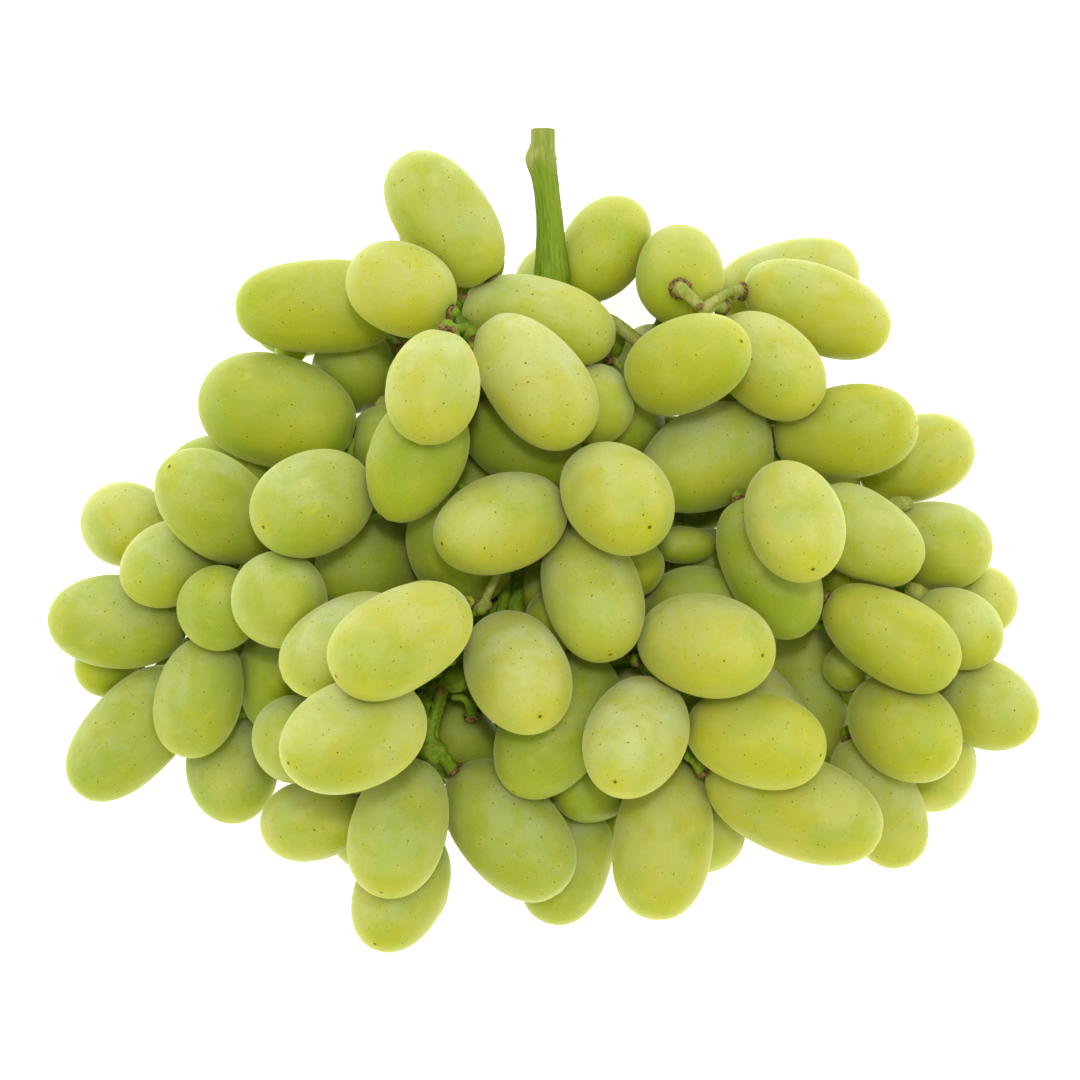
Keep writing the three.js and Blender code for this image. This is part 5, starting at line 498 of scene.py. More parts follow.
# side branches: radius, points
BRANCHES = [
    (1.47, [(-3.59, 5.61, 25.88), (-3.5, 5.61, 26.7)]),
    (1.23, [(-3.5, 5.61, 26.7), (-2.67, 5.65, 33.55)]),
    (0.85, [(-2.67, 5.65, 33.55), (-0.42, 6.04, 35.81), (2.18, 7.54, 38.7), (7, 14.61, 46.2)]),
    (1.08, [(-2.67, 5.65, 33.55), (-2.75, 5.72, 35.05)]),
    (0.85, [(-2.75, 5.72, 35.05), (1.78, 6.82, 40.2), (3.28, 7.92, 43.2), (4, 8.61, 46.2)]),
    (0.85, [(-2.75, 5.72, 35.05), (-8.03, 9.12, 41.7), (-14, 10.39, 47.27), (-17, 11.02, 48.77), (-20, 11.5, 49.17), (-29, 11.72, 49.17), (-35, 13.11, 47.7)]),
    (1.08, [(-3.5, 5.61, 26.7), (2.91, 6.01, 33.37)]),
    (0.85, [(2.91, 6.01, 33.37), (7, 4.11, 40.2)]),
    (0.85, [(2.91, 6.01, 33.37), (5.5, 7.11, 35.7)]),
    (1.08, [(-15.86, -21.29, 30.3), (-15.5, -21.39, 31.2)]),
    (0.85, [(-15.5, -21.39, 31.2), (-12.64, -18.83, 34.2), (-9.5, -16.89, 38.7)]),
    (0.85, [(-15.5, -21.39, 31.2), (-19.02, -16.86, 37.17), (-19.86, -13.89, 39.8), (-20, -10.89, 41.7)]),
    (1.23, [(-18.06, -24.72, 32.1), (-18.5, -24.39, 32.7)]),
    (1.08, [(-18.5, -24.39, 32.7), (-18.5, -24.37, 47.72), (-18.52, -23.7, 52.88)]),
    (0.85, [(-18.52, -23.7, 52.88), (-18.5, -23.36, 56.72), (-18.36, -18.39, 62.7), (-17.63, -15.54, 65.7), (-16.37, -13.41, 68.7), (-15.64, -12.54, 71.7), (-15.5, -12.39, 74.7)]),
    (0.85, [(-18.52, -23.7, 52.88), (-18.93, -21.3, 55.29), (-20.43, -18.39, 58.06), (-23.03, -15.39, 60.19), (-26, -12.39, 61.2)]),
    (0.85, [(-18.5, -24.39, 32.7), (-21.5, -21.39, 34.2)]),
    (1.23, [(-12.57, 44.76, 36.38), (-12.5, 44.61, 35.7)]),
    (1.08, [(-12.5, 44.61, 35.7), (-13.71, 41.12, 37.63), (-15.18, 40.14, 41.71), (-15.81, 40.13, 47.72), (-17.36, 40.78, 52.85)]),
    (0.85, [(-17.36, 40.78, 52.85), (-17.02, 40.13, 56.72), (-17, 40.11, 73.2)]),
    (0.85, [(-17.36, 40.78, 52.85), (-18.67, 43.2, 54.9), (-18.5, 46.11, 56.7)]),
    (0.85, [(-12.5, 44.61, 35.7), (-8, 46.11, 34.2)]),
    (1.23, [(-3.69, 40.92, 34.12), (-5.58, 37.2, 36.38), (-6.96, 35.9, 37.97)]),
    (1.08, [(-6.96, 35.9, 37.97), (-9.25, 35.72, 40.39), (-11.39, 36.28, 43.88)]),
    (0.85, [(-11.39, 36.28, 43.88), (-12.03, 38.7, 46.3), (-11.59, 41.47, 49.2), (-9.5, 44.61, 53.7)]),
    (0.85, [(-11.39, 36.28, 43.88), (-14.16, 35.19, 47.69), (-17.01, 33.67, 50.27), (-21.5, 29.61, 52.2)]),
    (0.85, [(-6.96, 35.9, 37.97), (-8.02, 34.24, 41.72), (-9.01, 34, 44.7), (-18.5, 31.11, 56.7)]),
    (1.08, [(18.81, -24.86, 28), (19, -24.39, 28.2)]),
    (0.85, [(19, -24.39, 28.2), (20.47, -20.32, 37.2), (20.5, -19.89, 40.2)]),
    (0.85, [(19, -24.39, 28.2), (19.43, -18.39, 24.25), (22, -13.89, 20.7)]),
    (0.85, [(27.3, -36.48, 27.5), (28.14, -36.39, 34.2), (29.5, -36.39, 38.7)]),
    (1.47, [(24.47, -30.69, 28), (25, -30.39, 28.2)]),
    (0.85, [(25, -30.39, 28.2), (23.5, -30.39, 37.2)]),
    (1.36, [(25, -30.39, 28.2), (27.11, -29.51, 28.11)]),
    (1.23, [(27.11, -29.51, 28.11), (31.05, -27.21, 27.76), (36.24, -22.23, 24.9)]),
    (1.08, [(36.24, -22.23, 24.9), (39.24, -20.05, 22.01)]),
    (0.85, [(39.24, -20.05, 22.01), (43.02, -19.9, 20.99), (50.5, -19.78, 20.7), (56.47, -18.25, 20.7), (60.31, -18.94, 20.7), (63.89, -24.39, 20.7), (67, -31.89, 20.7)]),
    (0.85, [(39.24, -20.05, 22.01), (41.6, -18.2, 19.61), (44.5, -16.82, 18.13), (47.5, -15.39, 17.7)]),
    (0.85, [(36.24, -22.23, 24.9), (41.5, -16.89, 23.7)]),
    (0.85, [(27.11, -29.51, 28.11), (32.5, -25.41, 25.64), (37, -24.39, 22.2)]),
    (1.92, [(49.06, 17.82, 21.5), (49, 17.61, 22.2)]),
    (1.08, [(49, 17.61, 22.2), (49, 14.95, 25.3), (48.9, 12.93, 28.88)]),
    (0.85, [(48.9, 12.93, 28.88), (48.89, 13.21, 37.2), (47.5, 14.61, 46.2)]),
    (0.85, [(48.9, 12.93, 28.88), (47.99, 11.37, 31.3), (41.5, 8.61, 38.7)]),
    (1.65, [(49, 17.61, 22.2), (50.64, 15.48, 23.71)]),
    (1.08, [(50.64, 15.48, 23.71), (51.64, 11.37, 28.78)]),
    (0.85, [(51.64, 11.37, 28.78), (52, 5.61, 31.06), (52.4, -0.39, 31.61), (55.18, -6.39, 34.38), (56.5, -10.89, 35.7)]),
    (0.85, [(51.64, 11.37, 28.78), (53.5, 8.61, 34.2)]),
    (1.47, [(50.64, 15.48, 23.71), (54.16, 12.85, 23.6)]),
    (1.36, [(54.16, 12.85, 23.6), (61.68, 10.29, 23.02)]),
    (0.85, [(61.68, 10.29, 23.02), (64.1, 8.41, 23.6), (69.86, 2.61, 23.7), (71.98, -0.39, 23.69), (72.89, -3.39, 23.56), (73.43, -6.39, 22.68), (74.93, -9.39, 20.56), (79, -13.89, 16.2)]),
    (1.23, [(61.68, 10.29, 23.02), (66.92, 6.39, 16.85)]),
    (1.08, [(66.92, 6.39, 16.85), (68.21, 5.68, 15.35)]),
    (0.85, [(68.21, 5.68, 15.35), (70, 4.61, 11.68), (71, 2.46, 8.7), (73, -0.39, 5.7)]),
    (0.85, [(68.21, 5.68, 15.35), (69.51, -0.4, 8.7), (71.64, -3.39, 5.84), (74.5, -6.39, 3.72), (77.5, -9.39, 2.84), (83.5, -15.39, 2.7)]),
    (0.85, [(66.92, 6.39, 16.85), (65.5, 2.61, 11.7)]),
    (0.85, [(54.16, 12.85, 23.6), (56.16, 10.08, 22.69), (57.57, 7.11, 20.56), (59.01, 1.69, 14.73), (61, -0.69, 12.13), (62.96, -3.42, 10.63), (63.42, -6.39, 10.23), (61, -10.89, 10.2)]),
    (0.85, [(49, 17.61, 22.2), (47.5, 20.61, 25.2)]),
    (0.85, [(49, 17.61, 22.2), (55, 23.17, 18.88), (58, 24.64, 16.17), (60.97, 24.64, 13.2), (63.67, 23.17, 10.23), (65.65, 20.57, 7.67), (66.68, 17.61, 6.53), (67, 14.61, 7.2)]),
    (0.85, [(22.46, 40.83, 31.55), (20.53, 37.11, 33.1), (19.26, 34.24, 35.73), (17.5, 31.11, 40.2)]),
    (1.08, [(-22.45, -38.07, 35), (-23, -37.89, 35.7)]),
    (0.85, [(-23, -37.89, 35.7), (-24.1, -36.22, 38.7), (-24.47, -35.22, 41.7), (-24.5, -34.87, 53.7), (-24.5, -33.39, 64.2)]),
    (1.47, [(-22.52, -40.83, 34.75), (-24.91, -42.36, 32.36)]),
    (0.85, [(-24.91, -42.36, 32.36), (-26, -43.89, 32.7)]),
    (0.85, [(-24.91, -42.36, 32.36), (-27.56, -43.53, 31.54), (-33.5, -47.41, 31.2), (-39.5, -48.39, 31.06), (-42.5, -48.39, 30.21), (-48.32, -47.38, 26.26), (-50.09, -45.25, 24.6), (-50, -42.39, 23.7)]),
    (1.23, [(-24.91, -42.36, 32.36), (-25.22, -43.47, 30.81)]),
    (1.08, [(-25.22, -43.47, 30.81), (-23.84, -47.54, 27.34)]),
    (0.85, [(-23.84, -47.54, 27.34), (-21.4, -49.12, 25.62), (-17, -48.39, 25.2)]),
    (0.85, [(-23.84, -47.54, 27.34), (-24.45, -51.42, 24.87), (-24.21, -54.39, 22.31), (-23.58, -57.39, 20.21), (-23, -60.39, 19.2)]),
    (0.85, [(-25.22, -43.47, 30.81), (-30.5, -48.39, 29.3), (-33.5, -51.25, 27.77), (-36.5, -53.38, 25.17), (-39.5, -54.25, 22.2), (-45.5, -54.1, 17.22), (-50, -52.89, 16.2)]),
    (2.13, [(-19.38, -27.12, 33.25), (-20, -27.39, 32.7)]),
    (1.92, [(-20, -27.39, 32.7), (-26.02, -27.39, 32.68), (-31.24, -27.05, 31.94)]),
    (1.36, [(-31.24, -27.05, 31.94), (-38.11, -21.37, 29.88), (-41.85, -18.22, 30.18)]),
    (1.23, [(-41.85, -18.22, 30.18), (-43.35, -17.83, 30.42)]),
    (0.85, [(-43.35, -17.83, 30.42), (-45.61, -16.31, 32.8), (-48.5, -15.53, 35.7), (-53, -15.39, 40.2)]),
    (1.08, [(-43.35, -17.83, 30.42), (-47.03, -18.37, 30.01), (-56.1, -18.47, 31.08), (-59.68, -18.78, 30.35)]),
    (0.85, [(-59.68, -18.78, 30.35), (-63.52, -19.78, 29.97), (-68, -19.89, 29.7)]),
    (0.85, [(-59.68, -18.78, 30.35), (-65, -18.4, 27.13), (-68, -18.39, 26.7)]),
    (0.85, [(-41.85, -18.22, 30.18), (-46.6, -12.39, 33.22), (-48.36, -9.39, 34.05), (-49.53, -6.4, 34.05), (-50.91, -3.54, 33.19), (-53.14, -1.55, 31.19), (-57.5, -1.89, 28.2)]),
    (1.65, [(-31.24, -27.05, 31.94), (-34.3, -26.83, 30.41)]),
    (1.56, [(-34.3, -26.83, 30.41), (-37.24, -26.57, 28.72)]),
    (1.47, [(-37.24, -26.57, 28.72), (-39.6, -25.18, 27.44), (-49.18, -17.5, 19.42)]),
    (1.08, [(-49.18, -17.5, 19.42), (-55.16, -14.62, 17.7)]),
    (0.85, [(-55.16, -14.62, 17.7), (-59.02, -12.23, 17.84), (-61.86, -9.39, 18.57), (-64.13, -6.4, 19.79), (-65.87, -3.53, 20.13), (-69.5, -0.39, 17.7)]),
    (0.85, [(-55.16, -14.62, 17.7), (-57.16, -12.3, 16.81), (-58.57, -9.39, 16.28), (-58.97, -6.39, 15.77), (-59, -3.39, 14.27), (-59, 1.11, 10.2)]),
    (1.23, [(-49.18, -17.5, 19.42), (-53.02, -16.92, 17.84), (-63.6, -16.99, 17.7), (-67.19, -17.66, 17.58)]),
    (0.85, [(-67.19, -17.66, 17.58), (-69.59, -19.99, 17.26), (-72.37, -22.9, 15.77), (-75.5, -27.39, 11.7)]),
    (1.08, [(-67.19, -17.66, 17.58), (-71.69, -18.5, 15.91)]),
    (0.85, [(-71.69, -18.5, 15.91), (-74, -18.39, 16.2)]),
    (0.85, [(-71.69, -18.5, 15.91), (-77, -22.42, 10.81), (-80, -24.69, 8.84), (-84.5, -28.89, 7.2)]),
    (0.85, [(-37.24, -26.57, 28.72), (-39.6, -25.39, 26.55), (-45.5, -20.33, 20.7), (-54.5, -16.46, 11.7), (-57.5, -13.89, 8.7)]),
    (0.85, [(-34.3, -26.83, 30.41), (-45.5, -17.91, 21.72), (-48.5, -17.04, 20.84), (-56, -16.89, 20.7)]),
    (1.08, [(-20, -27.39, 32.7), (-21.48, -30.11, 29.03)]),
    (0.85, [(-21.48, -30.11, 29.03), (-22.6, -31.48, 26.6), (-23, -33.39, 19.2)]),
    (0.85, [(-21.48, -30.11, 29.03), (-21.64, -30.39, 25.18), (-22.52, -30.39, 22.2), (-27.11, -29.38, 16.2), (-29, -27.39, 13.2)]),
    (1.08, [(-20, -27.39, 32.7), (-23.39, -30.11, 29.7)]),
    (0.85, [(-23.39, -30.11, 29.7), (-32, -30.39, 29.27), (-35, -30.39, 27.77), (-41, -30.79, 22.2), (-47, -32.97, 16.2), (-56, -32.99, 7.21), (-62, -35.97, 2.22), (-68, -36.39, 1.2)]),
    (0.85, [(-23.39, -30.11, 29.7), (-24.21, -31.47, 26.7), (-26.32, -31.93, 20.7), (-28.45, -32.33, 17.7), (-30.79, -33.83, 14.7), (-36.5, -39.39, 9.13), (-41, -43.89, 7.2)]),
    (1.08, [(29.93, -42.41, 26.71), (29.5, -42.39, 26.7)]),
    (0.85, [(29.5, -42.39, 26.7), (26.5, -43.89, 26.7)]),
    (0.85, [(29.5, -42.39, 26.7), (20.93, -43.87, 17.7), (19, -43.89, 13.2)]),
    (0.85, [(30.56, -43.76, 26.14), (32.5, -46.89, 31.2)]),
    (1.47, [(-15.44, 45.65, 36.88), (-15.5, 46.11, 37.2)]),
    (0.85, [(-15.5, 46.11, 37.2), (-14.89, 49.07, 35.64), (-13.39, 52.59, 37.38), (-11.79, 53.46, 40.21), (-9.5, 53.61, 43.2)]),
    (1.36, [(-15.5, 46.11, 37.2), (-16.12, 46.72, 33.72)]),
    (1.08, [(-16.12, 46.72, 33.72), (-17.68, 48.49, 32.39)]),
    (0.85, [(-17.68, 48.49, 32.39), (-18.38, 49.08, 35.75), (-18.5, 49.11, 40.2)]),
    (0.85, [(-17.68, 48.49, 32.39), (-23, 49.1, 28.5), (-27.5, 49.11, 26.7)]),
    (1.08, [(-16.12, 46.72, 33.72), (-18.65, 46.13, 30.6), (-30.5, 46.11, 19.2), (-36.5, 45.84, 12.53)]),
    (0.85, [(-36.5, 45.84, 12.53), (-36.93, 45.67, 8.68), (-38.4, 44.17, 5.73), (-40.6, 41.57, 3.13), (-42.07, 38.61, 1.63), (-42.5, 34.11, 1.2)]),
    (0.85, [(-36.5, 45.84, 12.53), (-39.5, 44.61, 10.2)]),
    (0.85, [(22.02, 4.1, 20.9), (21.97, 4.54, 25.2), (21.57, 6.04, 28.2), (19, 10.11, 32.7)]),
    (1.08, [(15.81, -25.21, 26.93), (16, -24.39, 26.7)]),
    (0.85, [(16, -24.39, 26.7), (13, -22.89, 29.7)]),
    (0.85, [(16, -24.39, 26.7), (16, -19.41, 20.7), (16, -18.39, 16.2)]),
    (1.65, [(-4.74, -0.15, 26.62), (-11, -0.39, 22.63), (-17.12, -0.19, 22.28), (-20.97, 1.04, 22.64)]),
    (1.56, [(-20.97, 1.04, 22.64), (-22.76, 1.9, 21.6)]),
    (0.85, [(-22.76, 1.9, 21.6), (-27.51, 6.68, 22.78), (-33.5, 9.59, 24.65), (-36.47, 11.75, 26.41), (-39.03, 14.61, 27.77), (-40.17, 17.61, 28.17), (-39.5, 20.61, 28.2)]),
    (0.85, [(-22.76, 1.9, 21.6), (-27.5, -0.39, 17.7)]),
    (1.36, [(-22.76, 1.9, 21.6), (-23.98, 2.98, 20.26)]),
    (1.23, [(-23.98, 2.98, 20.26), (-28.35, 3.92, 17.47)]),
    (0.85, [(-28.35, 3.92, 17.47), (-33.9, 4.11, 8.7), (-36.53, 4.11, 5.73), (-39.5, 4.11, 3.13), (-42.5, 4.11, 1.63), (-75.5, 3.96, 1.2), (-78.5, 3.12, 1.2), (-84.5, -0.39, 1.2)]),
    (1.08, [(-28.35, 3.92, 17.47), (-29.85, 4.05, 17.31)]),
    (0.85, [(-29.85, 4.05, 17.31), (-47, 4.54, 14.3), (-49.86, 6.04, 12.9), (-53, 10.11, 10.2)]),
    (0.85, [(-29.85, 4.05, 17.31), (-33.53, 3.67, 17.79), (-36.5, 2.17, 18.28), (-41, -1.89, 19.2)]),
    (0.85, [(-23.98, 2.98, 20.26), (-26.01, 5.2, 17.67), (-28.42, 6.67, 14.7), (-32, 7.11, 10.2)]),
    (0.85, [(-20.97, 1.04, 22.64), (-26, 5.18, 28.2), (-29, 6.67, 31.17), (-32, 6.93, 33.88), (-35, 6.09, 35.88), (-38, 4.11, 37.2)]),
    (0.85, [(30.87, -44.44, 25.86), (28, -45.76, 22.2), (22, -49.46, 16.2), (19, -49.89, 13.2)]),
    (0.85, [(1.09, 32.86, 28.02), (5.5, 32.61, 29.22), (10, 32.61, 32.7)]),
    (1.36, [(0.28, 26.63, 25.91), (-0.5, 26.61, 25.2)]),
    (0.85, [(-0.5, 26.61, 25.2), (-9.5, 26.61, 25.34), (-13.57, 26.61, 27.13), (-15.5, 26.61, 31.2)]),
    (0.85, [(-0.5, 26.61, 25.2), (-6.5, 26.61, 23.73), (-15.5, 26.71, 23.59), (-24.5, 28.08, 22.09), (-27.5, 28.1, 21.21), (-33.47, 27.09, 17.26), (-36.1, 24.96, 15.6), (-38, 22.11, 14.7)]),
    (1.08, [(-0.5, 26.61, 25.2), (-6.4, 29.36, 20.49), (-8.8, 30.05, 17.02)]),
    (0.85, [(-8.8, 30.05, 17.02), (-8.61, 32.02, 13.18), (-8, 32.61, 11.7)]),
    (0.85, [(-8.8, 30.05, 17.02), (-9.5, 29.61, 13.2)]),
    (0.85, [(-9.24, -14.33, 26.69), (-12.5, -10.89, 23.7)]),
    (1.56, [(31.81, -46.47, 25), (32.5, -46.89, 25.2)]),
    (1.36, [(32.5, -46.89, 25.2), (38.5, -48.1, 22.28), (44.5, -48.39, 19.6), (47.5, -48.39, 18.4), (56.52, -48.37, 17.24), (61.87, -47.51, 14.07)]),
    (0.85, [(61.87, -47.51, 14.07), (64.51, -43.9, 13.75), (65.36, -41.29, 15.14), (65.5, -39.39, 17.7)]),
    (1.23, [(61.87, -47.51, 14.07), (63.51, -47.4, 12.54)]),
    (0.85, [(63.51, -47.4, 12.54), (67.03, -44.27, 11.81), (73, -40.49, 11.81), (83.5, -30.39, 13.2)]),
    (1.08, [(63.51, -47.4, 12.54), (64.89, -47.6, 11.05)]),
    (0.85, [(64.89, -47.6, 11.05), (68.52, -48.37, 8.13), (74.5, -48.39, 4.2)]),
    (0.85, [(64.89, -47.6, 11.05), (67.11, -46.15, 9.6), (70, -44.52, 8.73), (76, -39.82, 7.49), (79, -38.36, 7.23), (82, -38.36, 7.2), (86.5, -40.89, 7.2)]),
    (0.85, [(32.5, -46.89, 25.2), (32.07, -48.79, 22.2), (28.98, -53.38, 16.2), (28.18, -54.25, 13.2), (28.44, -54.39, 10.2), (29.93, -54.39, 7.23), (35.5, -54.39, 2.7)]),
    (0.85, [(32.5, -46.89, 25.2), (38.07, -50.99, 19.2), (39.57, -52.49, 16.2), (40, -54.39, 10.2)]),
    (1.08, [(37.8, 7.78, 19.27), (39.34, 5.74, 17.7), (41.2, 3.59, 14.7), (42.57, 2.31, 11.7), (42.97, 0.67, 8.7), (42.81, -5.55, 2.6)]),
    (0.85, [(42.81, -5.55, 2.6), (45.09, -7.99, 1.55), (50.5, -13.46, 1.63), (53.36, -14.96, 3.13), (55.49, -15.36, 5.73), (56.5, -15.39, 8.7)]),
    (0.85, [(42.81, -5.55, 2.6), (39.98, -7.56, 1.55), (35.5, -9.39, 1.2)]),
    (1.08, [(2.48, -53.19, 19.09), (4.42, -52.91, 16.32), (9.11, -53.25, 12.86)]),
    (0.85, [(9.11, -53.25, 12.86), (10, -54.39, 13.2)]),
    (0.85, [(9.11, -53.25, 12.86), (11.5, -51.39, 10.2)]),
    (0.85, [(12.69, -26.31, 25.6), (13.98, -25.9, 19.2), (15.74, -26.04, 16.21), (17.37, -26.91, 13.34), (19, -30.39, 10.2)]),
    (0.85, [(15.66, 3.59, 21.8), (16, -4.89, 22.2)]),
    (1.23, [(0.75, -47.07, 19.91), (-3.89, -46.5, 13.85)]),
    (1.08, [(-3.89, -46.5, 13.85), (-5.13, -46.76, 12.35)]),
    (0.85, [(-5.13, -46.76, 12.35), (-4.86, -46.9, 8.68), (-3.07, -47.29, 4.6), (-0.5, -48.39, 2.7)]),
    (0.85, [(-5.13, -46.76, 12.35), (-11, -47.51, 7.6), (-14, -48.51, 5.73), (-20, -51.57, 2.52), (-23, -52.57, 1.52), (-29, -52.89, 1.34), (-33.5, -52.89, 2.7)]),
    (0.85, [(-3.89, -46.5, 13.85), (-5, -45.39, 11.7)]),
    (1.08, [(2.18, 49.2, 32.05), (2.5, 49.11, 31.2)]),
    (0.85, [(2.5, 49.11, 31.2), (5.5, 49.11, 26.7)]),
    (0.85, [(2.5, 49.11, 31.2), (-0.5, 51.1, 28.34), (-3.5, 51.96, 26.22), (-8, 52.11, 25.2)]),
    (0.85, [(23.77, 40.39, 31.91), (26.5, 42.67, 28.2), (29.47, 44.17, 25.2), (32.07, 44.57, 22.2), (33.67, 44.61, 19.2), (35.21, 44.75, 13.2), (35.47, 45.62, 10.23), (35.5, 47.75, 7.63), (35.5, 52.11, 5.7)]),
    (1.23, [(0.87, 30.76, 27.34), (1, 31.11, 26.7)]),
    (1.08, [(1, 31.11, 26.7), (4, 31.11, 26.27), (7, 31.11, 24.77), (10, 31.07, 22.17), (13.02, 30.65, 19.2), (17.86, 27.55, 14.72)]),
    (0.85, [(17.86, 27.55, 14.72), (20.5, 25.11, 14.7)]),
    (0.85, [(17.86, 27.55, 14.72), (18.01, 25.69, 11.07), (17.5, 25.11, 10.2)]),
    (0.85, [(1, 31.11, 26.7), (9.67, 35.18, 17.7), (11.65, 35.57, 14.7), (13, 35.46, 8.71), (13.43, 34.59, 5.84), (16, 31.11, 2.7)]),
    (0.85, [(11.52, 46.4, 33.07), (11.53, 46.11, 26.7), (12.89, 46.11, 17.7), (12.86, 46.14, 8.7), (11.98, 46.54, 5.7), (8.5, 49.11, 1.2)]),
    (1.08, [(-2.32, 12, 25.08), (-2, 11.61, 20.7), (-2.68, 11.61, 14.02)]),
    (0.85, [(-2.68, 11.61, 14.02), (-8, 11.61, 9.1), (-11, 11.61, 7.2)]),
    (0.85, [(-2.68, 11.61, 14.02), (-2, 11.61, 8.7)]),
    (0.85, [(12.07, -26.53, 25.33), (10.18, -19.89, 22.81), (8.5, -16.89, 22.2)]),
    (0.85, [(-22.58, -39.45, 34.92), (-24.1, -39.39, 31.2), (-24.5, -39.39, 26.7)]),
    (0.85, [(44.54, 12.94, 20.35), (42.22, 16.1, 18.28), (40.72, 18.97, 15.91), (40, 22.11, 11.7)]),
    (1.08, [(-13.69, -18.62, 28.91), (-14, -18.39, 28.2)]),
    (0.85, [(-14, -18.39, 28.2), (-14, -19.89, 11.7)]),
    (0.85, [(-14, -18.39, 28.2), (-20, -12.53, 23.99), (-23, -10.27, 22.72), (-26, -8.52, 20.56), (-30.99, -3.79, 14.7), (-32, -1.89, 11.7)]),
    (0.85, [(-1.2, 17.61, 24.42), (0.51, 16.63, 20.7), (2.64, 14.9, 17.7), (5.5, 13.53, 14.7), (8.5, 13.11, 11.7)]),
    (0.85, [(27.69, 39.08, 33), (30.86, 39.47, 29.7), (32.98, 40.73, 26.7), (33.86, 41.43, 23.7), (33.99, 41.17, 20.7), (34, 38.61, 16.2)]),
    (0.85, [(-5.08, -16.73, 25.62), (-9.07, -16.89, 19.2), (-9.5, -16.89, 16.2)]),
    (0.85, [(-1.96, -32.25, 22.81), (-6.07, -31.49, 16.2), (-6.5, -30.39, 13.2)]),
    (0.85, [(1.35, 35.68, 28.92), (0.97, 36.3, 19.2), (0.57, 37.4, 16.2), (-0.93, 38.29, 13.23), (-3.53, 38.58, 10.63), (-6.5, 38.64, 9.13), (-9.5, 39.01, 8.73), (-12.5, 40.11, 8.7)]),
    (1.23, [(-19.61, -27.8, 33.5), (-20, -27.39, 34.2)]),
    (0.85, [(-20, -27.39, 34.2), (-21.9, -24.39, 37.2), (-26, -19.89, 41.7)]),
    (0.85, [(-20, -27.39, 34.2), (-23.37, -27.8, 40.2), (-25.57, -28.92, 43.2), (-26.78, -30.29, 46.2), (-26, -31.89, 52.2)]),
    (0.85, [(-20, -27.39, 34.2), (-26, -27.25, 34.09), (-29, -26.38, 33.5), (-32, -24.25, 32.27), (-40.57, -15.39, 26.21), (-42.5, -10.89, 25.2)]),
    (0.85, [(38.43, 8.09, 19.23), (38.5, 8.61, 23.7)]),
    (0.85, [(-0.95, -39.52, 21.43), (-3.5, -39.39, 17.7), (-9.5, -39.69, 11.84), (-12.5, -40.31, 9.72), (-18.5, -40.89, 8.7)]),
    (0.85, [(-2.6, 10.59, 25.25), (1, 10.11, 28.2)]),
    (0.85, [(21.81, 41.05, 31.36), (24.6, 46.14, 25.63), (24.96, 49.11, 24.11), (24.86, 52.07, 23.44), (23.1, 55.73, 22.46), (22, 56.61, 22.2)]),
    (0.85, [(1.52, -49.79, 19.55), (-5, -50.91, 19.17), (-8, -53, 18.79), (-11, -55.47, 17.56), (-17, -58.38, 13.09), (-19.97, -60.54, 10.23), (-24.5, -66.39, 5.7)]),
    (0.85, [(-0.64, 20.41, 24.08), (-8, 20.61, 23.84), (-11, 20.58, 24.72), (-13.86, 20.29, 26.84), (-15.99, 19.4, 29.71), (-16.86, 18.3, 32.7), (-17, 17.61, 37.2)]),
    (0.85, [(-2.61, -9.38, 22), (-5.32, -12.47, 25.77)]),
    (0.85, [(28.32, 0.94, 28), (26.73, 3.34, 25.14), (26.24, 4.6, 20.36)]),
    (0.85, [(-53.28, 40.59, 18), (-49.95, 41.89, 17.71), (-44, 46.37, 17.7), (-41, 47.38, 17.7), (-35, 47.06, 17.76), (-32, 46.32, 18.52), (-17.28, 46.11, 31.74), (-15.55, 46.02, 35.38), (-15.44, 45.65, 36.88)]),
    (0.85, [(63.89, -26.83, 23), (63.4, -24.31, 21.43), (60.4, -18.72, 20.7), (56.49, -18.13, 20.7), (50.5, -19.84, 20.7), (41.5, -19.95, 21.3), (38.5, -20.71, 22.8), (32.5, -25.89, 27.38), (29.5, -28.62, 28.14), (24.47, -30.69, 28)]),
    (0.85, [(-17.84, -28.58, 36), (-16.2, -25.95, 32.98), (-17.33, -23.57, 31.5)]),
    (0.85, [(-24.02, -33.38, 39), (-23.83, -36.7, 37.24), (-22.45, -38.07, 35)]),
    (0.85, [(-8.26, -13.74, 25), (-7.93, -13.71, 26.39)]),
]
